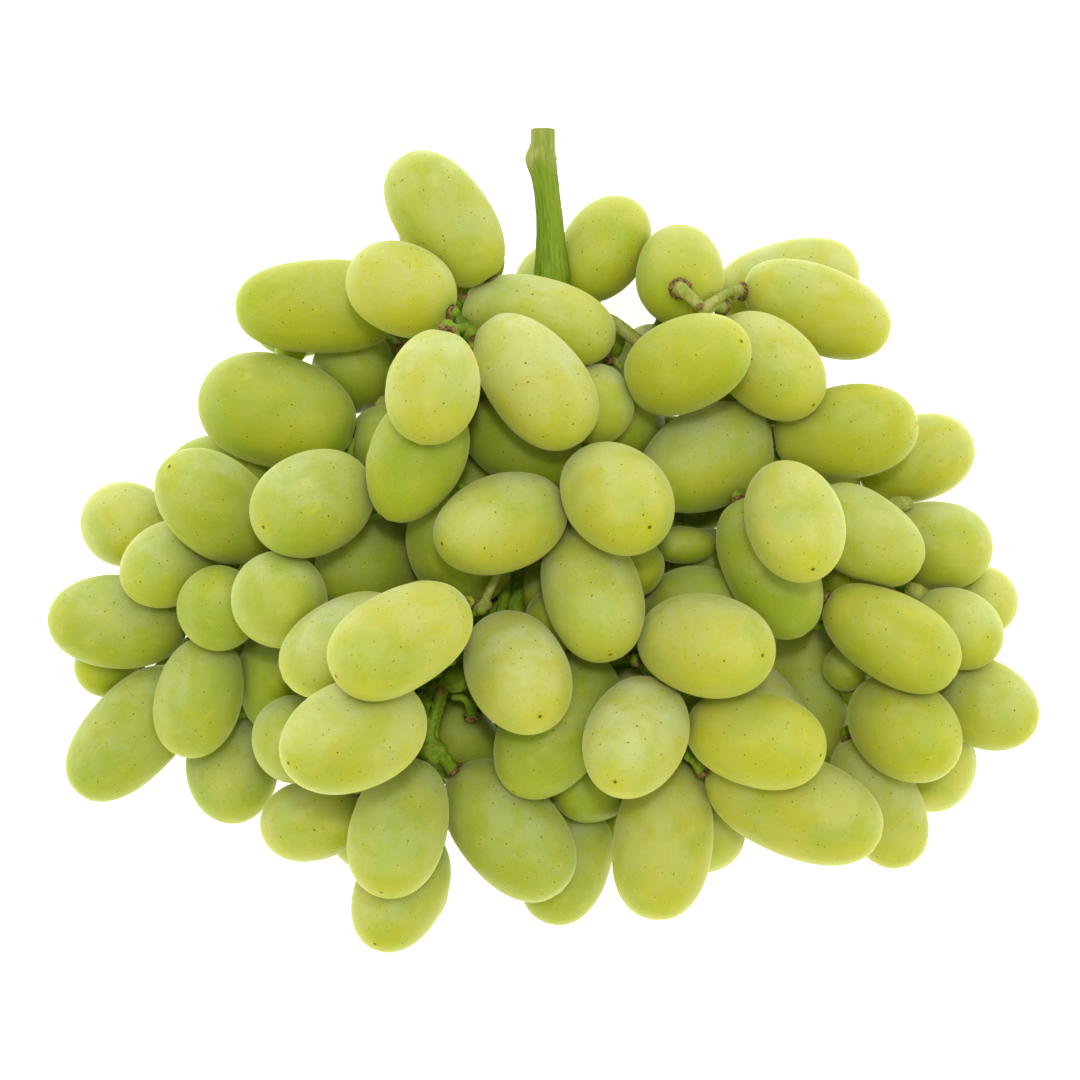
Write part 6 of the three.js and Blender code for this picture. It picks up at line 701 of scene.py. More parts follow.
# pedicels: berry index, stem end of the berry, point outside it, point on the branch
PEDICELS = [
    (0, [(8.55, 14.17, 47.63), (7.89, 14.79, 46.32), (7, 14.61, 46.2)]),
    (1, [(-9.49, -18.1, 39.75), (-9.93, -17.3, 38.43), (-9.5, -16.89, 38.7)]),
    (2, [(3.07, 7.42, 47.33), (4.25, 7.84, 46.33), (4, 8.61, 46.2)]),
    (3, [(-15.13, -12.2, 76.31), (-13.86, -11.49, 75.65), (-15.5, -12.39, 74.7)]),
    (4, [(-18.91, 41.06, 74.13), (-18.57, 42.62, 74.11), (-17, 40.11, 73.2)]),
    (5, [(-11.18, 43.98, 56.61), (-12.17, 45.23, 56.46), (-9.5, 44.61, 53.7)]),
    (6, [(21.96, -19.53, 41.49), (20.93, -19.38, 40.27), (20.5, -19.89, 40.2)]),
    (7, [(30.53, -37.32, 39.66), (29.2, -37.02, 38.81), (29.5, -36.39, 38.7)]),
    (8, [(23.16, -31.81, 38.84), (23.6, -31.03, 37.51), (23.5, -30.39, 37.2)]),
    (9, [(47.28, 13.36, 47.82), (46.99, 14.35, 46.59), (47.5, 14.61, 46.2)]),
    (10, [(19.03, 31.67, 41.13), (17.93, 31.25, 40.04), (17.5, 31.11, 40.2)]),
    (11, [(-25.15, -33.28, 65.56), (-23.98, -32.82, 64.57), (-24.5, -33.39, 64.2)]),
    (12, [(-26.18, -46.14, 33.88), (-25.86, -44.86, 32.98), (-26, -43.89, 32.7)]),
    (13, [(6.47, 2.33, 40.89), (6.11, 3.61, 40), (7, 4.11, 40.2)]),
    (14, [(-19.66, 28.57, 57.27), (-19.02, 29.99, 56.93), (-18.5, 31.11, 56.7)]),
    (15, [(-37, 12.21, 48.46), (-35.95, 12.77, 47.39), (-35, 13.11, 47.7)]),
    (16, [(-18.33, 45.99, 56.34), (-16.93, 45.36, 56.79), (-18.5, 46.11, 56.7)]),
    (17, [(-27.62, -13.93, 61.57), (-26.27, -13.15, 61.21), (-26, -12.39, 61.2)]),
    (18, [(-53.49, -14.27, 42.8), (-53.58, -14.61, 41.24), (-53, -15.39, 40.2)]),
    (20, [(58.64, -11.98, 36.7), (57.3, -11.17, 36.37), (56.5, -10.89, 35.7)]),
    (21, [(27, -45.73, 26.71), (27.18, -44.18, 26.38), (26.5, -43.89, 26.7)]),
    (22, [(34.14, -47.96, 30.98), (32.68, -47.42, 30.64), (32.5, -46.89, 31.2)]),
    (23, [(-10.79, 52.92, 43.38), (-9.87, 51.66, 43.02), (-9.5, 53.61, 43.2)]),
    (24, [(-16.1, 48.82, 40.12), (-17.61, 49.23, 39.79), (-18.5, 49.11, 40.2)]),
    (25, [(-30.07, 49.01, 27.07), (-28.5, 49.03, 26.75), (-27.5, 49.11, 26.7)]),
    (26, [(48.28, 20.74, 27.28), (46.79, 20.57, 26.74), (47.5, 20.61, 25.2)]),
    (27, [(20.68, 10.93, 32.78), (19.26, 10.29, 32.41), (19, 10.11, 32.7)]),
    (28, [(11.82, -24.59, 30.74), (12.64, -23.37, 30.11), (13, -22.89, 29.7)]),
    (29, [(-48.74, -41.86, 25.69), (-48.43, -41.99, 24.12), (-50, -42.39, 23.7)]),
    (30, [(-39.18, 22.64, 26.64), (-37.67, 22.24, 26.29), (-39.5, 20.61, 28.2)]),
    (31, [(-58.54, -0.88, 29.84), (-57.68, -1.68, 28.76), (-57.5, -1.89, 28.2)]),
    (32, [(-67.67, -18.82, 30.8), (-67.86, -19.59, 29.41), (-68, -19.89, 29.7)]),
    (33, [(55.44, 7.53, 34.2), (54.11, 8.34, 33.84), (53.5, 8.61, 34.2)]),
    (34, [(40.03, 8.27, 39.88), (39.38, 9.69, 39.56), (41.5, 8.61, 38.7)]),
    (35, [(17.48, -50, 15.44), (18.48, -49.8, 14.21), (19, -49.89, 13.2)]),
    (36, [(-17.59, -47.71, 28.03), (-18.61, -46.52, 27.69), (-17, -48.39, 25.2)]),
    (37, [(10.57, 32.07, 34.02), (10.55, 32.72, 32.55), (10, 32.61, 32.7)]),
    (39, [(67.83, -32.7, 21.88), (67.04, -32.02, 20.66), (67, -31.89, 20.7)]),
    (40, [(-15.61, 26.19, 32.78), (-16.99, 26.92, 32.43), (-15.5, 26.61, 31.2)]),
    (41, [(-13.21, -9.76, 25.94), (-12.8, -10.65, 24.67), (-12.5, -10.89, 23.7)]),
    (42, [(64.61, -42.04, 18.42), (63.94, -40.63, 18.09), (65.5, -39.39, 17.7)]),
    (43, [(-70.74, -0.93, 19.56), (-69.9, -0.43, 18.29), (-69.5, -0.39, 17.7)]),
    (44, [(-67.92, -20.37, 27.59), (-67.47, -18.88, 27.24), (-68, -18.39, 26.7)]),
    (45, [(37.73, -25.27, 22.33), (36.75, -24.06, 21.95), (37, -24.39, 22.2)]),
    (46, [(55.2, -15.64, 9.15), (55.09, -14.08, 8.79), (56.5, -15.39, 8.7)]),
    (47, [(-24.17, -62.43, 20.57), (-23.63, -61.34, 19.53), (-23, -60.39, 19.2)]),
    (48, [(-50.29, -54.06, 18.3), (-50.15, -53.02, 17.09), (-50, -52.89, 16.2)]),
    (49, [(-41.62, 33.85, 3.1), (-41.82, 33.54, 1.54), (-42.5, 34.11, 1.2)]),
    (50, [(80.47, -14.95, 17.93), (79.67, -14.49, 16.62), (79, -13.89, 16.2)]),
    (51, [(74.59, -0.83, 6.94), (73.59, -0.78, 5.69), (73, -0.39, 5.7)]),
    (52, [(67.58, 13.73, 8.14), (66.09, 13.26, 7.8), (67, 14.61, 7.2)]),
    (54, [(-28.38, -0.78, 19.18), (-27.55, -0.37, 17.88), (-27.5, -0.39, 17.7)]),
    (55, [(9.26, -56.2, 14.25), (9.74, -54.72, 13.89), (10, -54.39, 13.2)]),
    (56, [(19.18, -30.51, 11.76), (19.26, -29.88, 10.3), (19, -30.39, 10.2)]),
    (57, [(16.29, -5.56, 24.46), (15.94, -5.57, 22.9), (16, -4.89, 22.2)]),
    (58, [(24.01, -14.41, 22.44), (23.01, -14.43, 21.19), (22, -13.89, 20.7)]),
    (59, [(-22.02, -35.31, 19.03), (-22.89, -34.02, 18.67), (-23, -33.39, 19.2)]),
    (60, [(-0.56, -50.1, 3.27), (-0.26, -48.69, 2.57), (-0.5, -48.39, 2.7)]),
    (61, [(84.76, -29.84, 13.78), (83.8, -29.32, 12.62), (83.5, -30.39, 13.2)]),
    (62, [(76.3, -48.2, 4.79), (74.91, -47.96, 4.04), (74.5, -48.39, 4.2)]),
    (63, [(85.45, -14.49, 3.73), (84, -14.85, 3.15), (83.5, -15.39, 2.7)]),
    (64, [(-56.21, -18.1, 21.71), (-56.32, -16.54, 21.34), (-56, -16.89, 20.7)]),
    (65, [(-67.45, -38.59, 2.7), (-67.57, -37.32, 1.72), (-68, -36.39, 1.2)]),
    (66, [(-76.13, -28.98, 12.67), (-75.07, -27.84, 12.3), (-75.5, -27.39, 11.7)]),
    (67, [(-75.27, -18.04, 17.3), (-73.73, -18.13, 16.86), (-74, -18.39, 16.2)]),
    (68, [(-85.95, 0.24, 3.12), (-85.02, -0.44, 2.01), (-84.5, -0.39, 1.2)]),
    (69, [(-54.92, 11.67, 10.93), (-53.37, 11.5, 10.57), (-53, 10.11, 10.2)]),
    (70, [(6.04, 50.8, 26.62), (5.18, 49.5, 26.27), (5.5, 49.11, 26.7)]),
    (71, [(37.13, 52.01, 5.65), (35.6, 51.68, 5.33), (35.5, 52.11, 5.7)]),
    (72, [(35.11, -56.43, 3.58), (35.12, -55.11, 2.68), (35.5, -54.39, 2.7)]),
    (73, [(-33.06, -55.05, 3.35), (-32.82, -53.73, 2.47), (-33.5, -52.89, 2.7)]),
    (74, [(-86.6, -28.23, 6.62), (-85.02, -28.47, 6.68), (-84.5, -28.89, 7.2)]),
    (75, [(35.97, -8.78, 1.76), (36.07, -9.12, 0.2), (35.5, -9.39, 1.2)]),
    (76, [(64.67, 1.71, 13.32), (64.83, 2.64, 12.03), (65.5, 2.61, 11.7)]),
    (77, [(20.76, 24.84, 16.87), (21.21, 24.9, 15.34), (20.5, 25.11, 14.7)]),
    (78, [(17.68, 32.98, 3.85), (16.63, 32.07, 3.06), (16, 31.11, 2.7)]),
    (79, [(7.6, 49.56, 3.15), (8.37, 48.66, 2.08), (8.5, 49.11, 1.2)]),
    (80, [(-11.43, 10.89, 9.63), (-10.92, 10.91, 8.11), (-11, 11.61, 7.2)]),
    (81, [(-37.1, 21.35, 16.36), (-37.76, 21.39, 14.9), (-38, 22.11, 14.7)]),
    (82, [(8.03, -16.95, 23.7), (8.68, -17.01, 22.24), (8.5, -16.89, 22.2)]),
    (83, [(62.67, -11.98, 9.76), (61.4, -11.01, 9.78), (61, -10.89, 10.2)]),
    (84, [(-61.26, 0.23, 9.76), (-59.95, 1.15, 9.77), (-59, 1.11, 10.2)]),
    (85, [(20.07, -43.54, 11.38), (18.48, -43.66, 11.48), (19, -43.89, 13.2)]),
    (86, [(-33.17, 8.02, 10.57), (-31.87, 7.08, 10.66), (-32, 7.11, 10.2)]),
    (87, [(41.95, -54.71, 9.46), (40.39, -54.36, 9.47), (40, -54.39, 10.2)]),
    (88, [(19.03, 23.57, 10.38), (17.81, 24.61, 10.4), (17.5, 25.11, 10.2)]),
    (89, [(-10.05, 31.56, 11.05), (-8.63, 32.28, 11.18), (-8, 32.61, 11.7)]),
    (90, [(-26.65, -39.9, 25.52), (-25.2, -39.56, 26.1), (-24.5, -39.39, 26.7)]),
    (91, [(-8.91, 28.6, 12.87), (-10.44, 28.91, 13.2), (-9.5, 29.61, 13.2)]),
    (92, [(-57.55, -15.74, 8.67), (-56.61, -14.45, 8.67), (-57.5, -13.89, 8.7)]),
    (93, [(42.39, 21.44, 11.07), (41.01, 22.26, 11.15), (40, 22.11, 11.7)]),
    (94, [(18.55, -18.39, 15.98), (17.07, -17.81, 16.2), (16, -18.39, 16.2)]),
    (95, [(-2.75, -45.62, 10.91), (-4.28, -46.02, 11.17), (-5, -45.39, 11.7)]),
    (96, [(-12.12, -19.72, 11.19), (-13.71, -19.58, 11.27), (-14, -19.89, 11.7)]),
    (97, [(-32.22, -2.57, 10.84), (-30.67, -2.17, 10.96), (-32, -1.89, 11.7)]),
    (98, [(-31.37, -27.02, 12.04), (-29.82, -27.15, 12.43), (-29, -27.39, 13.2)]),
    (99, [(9.65, 11.48, 11.16), (8.92, 12.9, 11.29), (8.5, 13.11, 11.7)]),
    (100, [(33.96, 37.73, 16.83), (32.45, 38.21, 16.62), (34, 38.61, 16.2)]),
    (101, [(-11.09, -15.67, 15.09), (-10.14, -16.85, 15.59), (-9.5, -16.89, 16.2)]),
    (102, [(48.26, -14.45, 16.01), (47.61, -15.52, 17), (47.5, -15.39, 17.7)]),
    (103, [(-8.9, -30.37, 12.58), (-7.41, -30.38, 13.15), (-6.5, -30.39, 13.2)]),
    (104, [(-7.14, 45.11, 34.66), (-6.97, 45.55, 36.19), (-8, 46.11, 34.2)]),
    (105, [(-14.4, 41.65, 9.3), (-13.13, 40.68, 9.28), (-12.5, 40.11, 8.7)]),
    (106, [(-28.43, -20.15, 42.34), (-26.88, -19.78, 42.54), (-26, -19.89, 41.7)]),
    (107, [(-40.9, 45.24, 10.2), (-39.61, 44.35, 10.5), (-39.5, 44.61, 10.2)]),
    (108, [(-27.16, -32.91, 51.8), (-25.74, -32.18, 51.7), (-26, -31.89, 52.2)]),
    (109, [(-9.88, 53.56, 24.85), (-8.7, 52.49, 24.64), (-8, 52.11, 25.2)]),
    (110, [(-21.92, -21.37, 32.03), (-21.09, -21.51, 33.38), (-21.5, -21.39, 34.2)]),
    (111, [(-21.25, 30.1, 49.85), (-21.1, 29.88, 51.42), (-21.5, 29.61, 52.2)]),
    (112, [(40.01, 8.4, 23.51), (38.61, 9.15, 23.68), (38.5, 8.61, 23.7)]),
    (113, [(42.48, -15.67, 23.95), (41.28, -16.66, 23.58), (41.5, -16.89, 23.7)]),
    (114, [(12.79, -51.83, 9.83), (11.72, -50.69, 10.17), (11.5, -51.39, 10.2)]),
    (115, [(-20.6, -41.78, 7.79), (-19.21, -41.01, 7.96), (-18.5, -40.89, 8.7)]),
    (116, [(3.09, 10.05, 27.86), (1.54, 9.87, 28.21), (1, 10.11, 28.2)]),
    (117, [(-2.42, 9.54, 8.36), (-2.35, 11.12, 8.54), (-2, 11.61, 8.7)]),
    (118, [(-45.09, -9.95, 25.05), (-43.51, -10.07, 24.86), (-42.5, -10.89, 25.2)]),
    (119, [(-41.72, -0.89, 20.05), (-40.77, -2.07, 19.52), (-41, -1.89, 19.2)]),
    (120, [(87.8, -41.12, 7.4), (86.46, -41.98, 7.49), (86.5, -40.89, 7.2)]),
    (121, [(-25.11, -37.84, 36.39), (-23.53, -37.67, 36.22), (-23, -37.89, 35.7)]),
    (122, [(23.75, 55.67, 21.21), (22.87, 55.96, 22.51), (22, 56.61, 22.2)]),
    (123, [(7.04, 7.92, 36.5), (5.59, 7.86, 35.83), (5.5, 7.11, 35.7)]),
    (124, [(-21.03, -11.03, 43.12), (-20.38, -10.15, 41.96), (-20, -10.89, 41.7)]),
    (125, [(-25.43, -68.42, 6.57), (-25.07, -66.87, 6.42), (-24.5, -66.39, 5.7)]),
    (126, [(-43.4, -43.06, 6.66), (-41.92, -43.65, 6.61), (-41, -43.89, 7.2)]),
    (127, [(-39.19, 3.9, 37.31), (-37.78, 3.18, 37.04), (-38, 4.11, 37.2)]),
    (128, [(-18.64, 16.75, 37.25), (-17.14, 16.93, 36.71), (-17, 17.61, 37.2)]),
    (53, [(27.87, 51.35, 45.7), (30.58, 48.46, 46.3), (32.99, 46.66, 43)]),
    (38, [(42.22, 54.71, 26.07), (36.9, 47.99, 38.8), (33.19, 46.46, 43)]),
    (19, [(38.46, 46.53, 33.17), (35.63, 46.29, 39.5), (33.2, 46.47, 42.8)]),
]
# berries that never grew, left on the stems: centre, radius
UNDEVELOPED = [
    (-2.61, -9.38, 22, 5.2),
    (28.32, 0.94, 28, 4.8),
    (-53.28, 40.59, 18, 3.39),
    (63.89, -26.83, 23, 4.91),
    (-17.84, -28.58, 36, 2.9),
    (-24.02, -33.38, 39, 1.25),
    (-8.26, -13.74, 25, 2.25),
]
MM = 0.001
RNG = np.random.RandomState(7)
NB = len(BERRIES)


def srgb(r, g, b):
    def lin(v):
        v = v / 255.0
        return v / 12.92 if v <= 0.04045 else ((v + 0.055) / 1.055) ** 2.4
    return (lin(r), lin(g), lin(b), 1.0)


# ---------------------------------------------------------------- mesh helpers
def make_mesh(name, verts, faces, attrs=None, smooth=True):
    """verts in mm, (n, 3); faces as lists of indices; attrs: name -> (n,) or (n, 3)."""
    me = bpy.data.meshes.new(name)
    me.from_pydata((np.asarray(verts, float) * MM).tolist(), [], faces)
    me.validate()
    if smooth:
        me.polygons.foreach_set("use_smooth", np.ones(len(me.polygons), bool))
    for k, v in (attrs or {}).items():
        v = np.asarray(v, np.float32)
        if v.ndim == 1:
            me.attributes.new(k, "FLOAT", "POINT").data.foreach_set("value", v)
        else:
            me.attributes.new(k, "FLOAT_VECTOR", "POINT").data.foreach_set("vector", v.ravel())
    me.update()
    ob = bpy.data.objects.new(name, me)
    bpy.context.scene.collection.objects.link(ob)
    return ob


def frame_of(u):
    u = np.asarray(u, float)
    u = u / np.linalg.norm(u)
    h = np.array([0.0, 0, 1]) if abs(u[2]) < 0.9 else np.array([1.0, 0, 0])
    e1 = np.cross(u, h)
    e1 /= np.linalg.norm(e1)
    return e1, np.cross(u, e1), u


# ---------------------------------------------------------------- berries
C = np.array([b[1:4] for b in BERRIES], float)
U = np.array([b[4:7] for b in BERRIES], float)
U /= np.linalg.norm(U, axis=1)[:, None]
HL = np.array([b[7] for b in BERRIES], float)
HW = np.array([b[8] for b in BERRIES], float)
EN = np.array([b[9] for b in BERRIES], float)
TA = np.array([b[10] for b in BERRIES], float)
TONE = np.array([b[11] for b in BERRIES], float)
BLOOM = np.array([b[12] for b in BERRIES], float)
SCAR = np.array([b[13] for b in BERRIES], float)
IDX = {b[0]: i for i, b in enumerate(BERRIES)}
FLATS = [[] for _ in range(NB)]
for a, b, x, y, z, off in CONTACTS:
    nrm = np.array([x, y, z], float)
    k = np.linalg.norm(nrm)
    nrm, off = nrm / k, off / k
    FLATS[a].append((nrm, off))
    FLATS[b].append((-nrm, -off))

SEG, ROWS = 72, 56


def berry_arrays(i, seg=SEG, rows=ROWS):
    """Vertices in mm, faces, and the attributes of one berry. Row 0 is the tip."""
    rng = np.random.RandomState(1000 + i)
    e1, e2, u = frame_of(U[i])
    # rows closer together at both ends
    s = np.linspace(0, 1, rows + 1)
    a = math.pi * (s - 0.11 * np.sin(2 * math.pi * s) / (2 * math.pi) * 2.0)
    a = a[1:-1]
    lon = np.linspace(0, 2 * math.pi, seg, endpoint=False)
    A, LON = np.meshgrid(a, lon, indexing="ij")
    n = EN[i]
    r = (np.abs(np.cos(A)) ** n + np.sin(A) ** n) ** (-1.0 / n)
    x = r * np.cos(A)
    rad = r * np.sin(A) * (1 + TA[i] * x) * HW[i]
    # slight uneven growth: two and three soft lobes that wander along the berry
    p2, p3, p4 = rng.rand(3) * 2 * math.pi
    lob = 0.010 * np.cos(2 * (LON - p2) + 0.8 * x) + 0.006 * np.cos(3 * (LON - p3) - 1.1 * x) + 0.004 * np.cos(5 * (LON - p4) + 2.0 * x)
    rad = rad * (1 + lob * np.sin(A) ** 1.5)
    ax = x * HL[i]
    lx, ly = rad * np.cos(LON), rad * np.sin(LON)
    # shallow seat of the pedicel at the stem end, slight flat at the tip
    seat = np.exp(-((rad / 1.9) ** 2)) * (x < 0)
    ax = ax + 0.55 * seat
    nub = np.exp(-((rad / 0.9) ** 2)) * (x > 0)
    ring = np.exp(-(((rad - 1.5) / 0.8) ** 2)) * (x > 0)
    ax = ax + 0.10 * nub - 0.09 * ring
    L3 = np.stack([lx.ravel(), ly.ravel(), ax.ravel()], 1)
    tip = np.array([[0, 0, HL[i] + 0.10]])
    end = np.array([[0, 0, -HL[i] + 0.55]])
    L3 = np.concatenate([tip, L3, end])
    xx = np.concatenate([[1.0], x.ravel(), [-1.0]])
    V = C[i] + L3[:, :1] * e1 + L3[:, 1:2] * e2 + L3[:, 2:3] * u
    V0 = V.copy()
    eps = 0.35
    for _ in range(2):
        for nrm, off in FLATS[i]:
            over = V @ nrm - (off - 0.02)
            d = (over - np.sqrt(over * over + eps * eps)) * 0.5 - over
            d = np.where(over > -3.0, d, 0.0)
            d = d * np.clip((over + 3.0) / 1.5, 0, 1)
            V += d[:, None] * nrm
        over = -(V[:, 2] - 0.03)
        d = (over - np.sqrt(over * over + eps * eps)) * 0.5 - over
        d = np.where(over > -3.0, d, 0.0) * np.clip((over + 3.0) / 1.5, 0, 1)
        V[:, 2] -= d
    m = len(a)
    faces = []
    for k in range(seg):
        k2 = (k + 1) % seg
        faces.append([0, 1 + k, 1 + k2])
    for j in range(m - 1):
        b0, b1 = 1 + j * seg, 1 + (j + 1) * seg
        for k in range(seg):
            k2 = (k + 1) % seg
            faces.append([b0 + k, b1 + k, b1 + k2, b0 + k2])
    last = 1 + m * seg
    b0 = 1 + (m - 1) * seg
    for k in range(seg):
        k2 = (k + 1) % seg
        faces.append([b0 + k, last, b0 + k2])
    tipd = np.linalg.norm(L3 - L3[0], axis=1)
    stemd = np.linalg.norm(L3 - L3[-1], axis=1)
    shift = rng.rand(3) * 200
    attrs = {
        "lp": L3 + shift,
        "ax": xx,
        "tipd": tipd,
        "stemd": stemd,
        "tone": np.full(len(V), TONE[i]),
        "bloom": np.full(len(V), BLOOM[i]),
        "scar": np.full(len(V), SCAR[i]),
        "rnd": np.full(len(V), rng.rand()),
        "press": np.linalg.norm(V - V0, axis=1),
    }
    return V, faces, attrs


# ---------------------------------------------------------------- materials
class Nodes:
    """A small helper that adds and links shader nodes."""

    def __init__(self, name):
        self.mat = bpy.data.materials.new(name)
        self.mat.use_nodes = True
        self.t = self.mat.node_tree
        self.t.nodes.clear()
        self.out = self.t.nodes.new("ShaderNodeOutputMaterial")
        self.bsdf = self.t.nodes.new("ShaderNodeBsdfPrincipled")
        self.t.links.new(self.bsdf.outputs["BSDF"], self.out.inputs["Surface"])

    def link(self, a, b):
        self.t.links.new(a, b)

    def put(self, sock, v):
        if isinstance(v, bpy.types.NodeSocket):
            self.link(v, sock)
        else:
            sock.default_value = v

    def attr(self, name, out="Fac"):
        n = self.t.nodes.new("ShaderNodeAttribute")
        n.attribute_name = name
        return n.outputs[out]

    def math(self, op, a, b=0.0, c=0.0, clamp=False):
        n = self.t.nodes.new("ShaderNodeMath")
        n.operation = op
        n.use_clamp = clamp
        self.put(n.inputs[0], a)
        self.put(n.inputs[1], b)
        self.put(n.inputs[2], c)
        return n.outputs[0]

    def ramp(self, v, lo, hi, a=0.0, b=1.0, smooth=True):
        n = self.t.nodes.new("ShaderNodeMapRange")
        n.interpolation_type = "SMOOTHSTEP" if smooth else "LINEAR"
        n.clamp = True
        self.put(n.inputs["Value"], v)
        self.put(n.inputs["From Min"], lo)
        self.put(n.inputs["From Max"], hi)
        self.put(n.inputs["To Min"], a)
        self.put(n.inputs["To Max"], b)
        return n.outputs["Result"]

    def mix(self, fac, a, b, mode="MIX"):
        n = self.t.nodes.new("ShaderNodeMix")
        n.data_type = "RGBA"
        n.blend_type = mode
        self.put(n.inputs[0], fac)
        self.put(n.inputs[6], a)
        self.put(n.inputs[7], b)
        return n.outputs[2]

    def scale(self, vec, x, y, z):
        n = self.t.nodes.new("ShaderNodeVectorMath")
        n.operation = "MULTIPLY"
        self.put(n.inputs[0], vec)
        n.inputs[1].default_value = (x, y, z)
        return n.outputs[0]

    def noise(self, vec, scale, detail=2.0, rough=0.5, dist=0.0):
        n = self.t.nodes.new("ShaderNodeTexNoise")
        self.put(n.inputs["Vector"], vec)
        n.inputs["Scale"].default_value = scale
        n.inputs["Detail"].default_value = detail
        n.inputs["Roughness"].default_value = rough
        n.inputs["Distortion"].default_value = dist
        return n.outputs["Fac"]

    def voronoi(self, vec, scale, feature="F1", rand=1.0, out="Distance"):
        n = self.t.nodes.new("ShaderNodeTexVoronoi")
        n.feature = feature
        self.put(n.inputs["Vector"], vec)
        n.inputs["Scale"].default_value = scale
        n.inputs["Randomness"].default_value = rand
        return n.outputs[out]

    def bump(self, h, strength, dist):
        n = self.t.nodes.new("ShaderNodeBump")
        n.inputs["Strength"].default_value = strength
        n.inputs["Distance"].default_value = dist
        self.put(n.inputs["Height"], h)
        return n.outputs["Normal"]


def berry_material():
    m = Nodes("berry_skin")
    lp = m.attr("lp", "Vector")
    tone = m.attr("tone")
    bloom = m.attr("bloom")
    scar = m.attr("scar")
    # flesh colour: from deep green to yellow-green
    base = m.mix(tone, srgb(136, 160, 4), srgb(185, 185, 34))
    # broad patches of the skin, some yellower, some greener
    slow = m.noise(lp, 0.075, 2.0, 0.5, 0.4)
    base = m.mix(m.ramp(slow, 0.46, 0.74, 0.0, 0.40), base, srgb(196, 192, 34))
    slow2 = m.noise(m.scale(lp, 1, 1, 0.6), 0.12, 2.0, 0.5, 0.2)
    base = m.mix(m.ramp(slow2, 0.46, 0.70, 0.0, 0.42), base, srgb(146, 172, 14))
    # bright yellow blotches
    blot = m.noise(lp, 0.26, 2.0, 0.5, 0.5)
    base = m.mix(m.ramp(blot, 0.60, 0.76, 0.0, 0.36), base, srgb(202, 196, 18))
    # very faint veins that run from end to end under the skin
    vein = m.voronoi(m.scale(lp, 0.55, 0.55, 0.13), 1.0, "DISTANCE_TO_EDGE")
    base = m.mix(m.ramp(vein, 0.0, 0.10, 0.05, 0.0), base, srgb(216, 220, 130))
    # saturated skin round the tip and the stem end
    tipd = m.attr("tipd")
    base = m.mix(m.ramp(tipd, 0.8, 4.5, 0.32, 0.0), base, srgb(186, 186, 20))
    stemd = m.attr("stemd")
    base = m.mix(m.ramp(stemd, 1.0, 7.0, 0.5, 0.0), base, srgb(142, 166, 10))
    # powdery bloom, a real white film, with painted light on it: paler on the side facing +Y and up, towards the lamps
    nrm = m.t.nodes.new("ShaderNodeNewGeometry").outputs["Normal"]
    sep = m.t.nodes.new("ShaderNodeSeparateXYZ")
    m.link(nrm, sep.inputs[0])
    # painted light: the bloom is whiter on the side that faces +Y and up, the lit side
    painted_lit_side = m.ramp(m.math("ADD", sep.outputs["Y"], m.math("MULTIPLY", sep.outputs["Z"], 0.15)), -0.85, 0.95, 0.16, 1.0)
    bl = m.noise(lp, 0.13, 3.0, 0.55, 0.5)
    bl2 = m.noise(lp, 2.2, 3.0, 0.7, 0.0)
    bloom_and_painted_light = m.math("MULTIPLY", m.ramp(bl, 0.30, 0.70, 0.35, 1.0), m.ramp(bl2, 0.25, 0.75, 0.82, 1.0))
    bloom_and_painted_light = m.math("MULTIPLY", m.math("MULTIPLY", bloom_and_painted_light, painted_lit_side), m.math("MULTIPLY", bloom, 0.60))
    base = m.mix(bloom_and_painted_light, base, srgb(214, 224, 196))
    # lenticels: a faint yellow halo and a tiny dark dot
    v1 = m.t.nodes.new("ShaderNodeTexVoronoi")
    m.link(lp, v1.inputs["Vector"])
    v1.inputs["Scale"].default_value = 0.47
    rs = m.t.nodes.new("ShaderNodeSeparateXYZ")
    m.link(v1.outputs["Color"], rs.inputs[0])
    dm = m.math("DIVIDE", v1.outputs["Distance"], 0.47)
    base = m.mix(m.ramp(dm, 0.20, 0.60, 0.25, 0.0), base, srgb(202, 194, 50))
    dot = m.math("MULTIPLY", m.ramp(dm, 0.12, 0.27, 1.0, 0.0), m.ramp(rs.outputs["X"], 0.0, 1.0, 0.45, 1.0, False))
    base = m.mix(dot, base, srgb(82, 94, 16))
    d2 = m.voronoi(lp, 0.80, "F1", 0.9)
    dm2 = m.math("DIVIDE", d2, 0.80)
    base = m.mix(m.ramp(dm2, 0.07, 0.18, 0.55, 0.0), base, srgb(100, 106, 20))
    # rare brown specks and scuffs
    sc = m.noise(lp, 1.3, 4.0, 0.65, 1.2)
    base = m.mix(m.ramp(sc, 0.72, 0.78, 0.0, 0.28), base, srgb(140, 128, 46))
    # small scar at the tip with a yellow halo
    base = m.mix(m.math("MULTIPLY", m.ramp(tipd, 0.3, 2.0, 0.50, 0.0), scar), base, srgb(188, 186, 10))
    base = m.mix(m.math("MULTIPLY", m.ramp(tipd, 0.26, 0.52, 0.92, 0.0), scar), base, srgb(80, 72, 10))
    m.put(m.bsdf.inputs["Base Color"], base)
    # roughness follows the bloom together with its painted light on the lit side
    rough = m.ramp(bloom_and_painted_light, 0.0, 0.4, 0.42, 0.60)
    m.put(m.bsdf.inputs["Roughness"], rough)
    b = m.bsdf.inputs
    b["Subsurface Weight"].default_value = 1.0
    b["Subsurface Radius"].default_value = (1.0, 1.0, 0.30)
    b["Subsurface Scale"].default_value = 0.0115
    b["IOR"].default_value = 1.38
    b["Specular IOR Level"].default_value = 0.20
    b["Sheen Weight"].default_value = 0.34
    b["Sheen Roughness"].default_value = 0.40
    b["Sheen Tint"].default_value = (0.92, 1.0, 0.42, 1.0)
    fine = m.noise(lp, 3.0, 3.0, 0.6, 0.0)
    wob = m.noise(lp, 0.35, 2.0, 0.5, 0.0)
    h = m.math("ADD", m.math("MULTIPLY", fine, 0.05), m.math("MULTIPLY", wob, 0.8))
    m.put(m.bsdf.inputs["Normal"], m.bump(h, 0.30, 0.0006))
    return m.mat


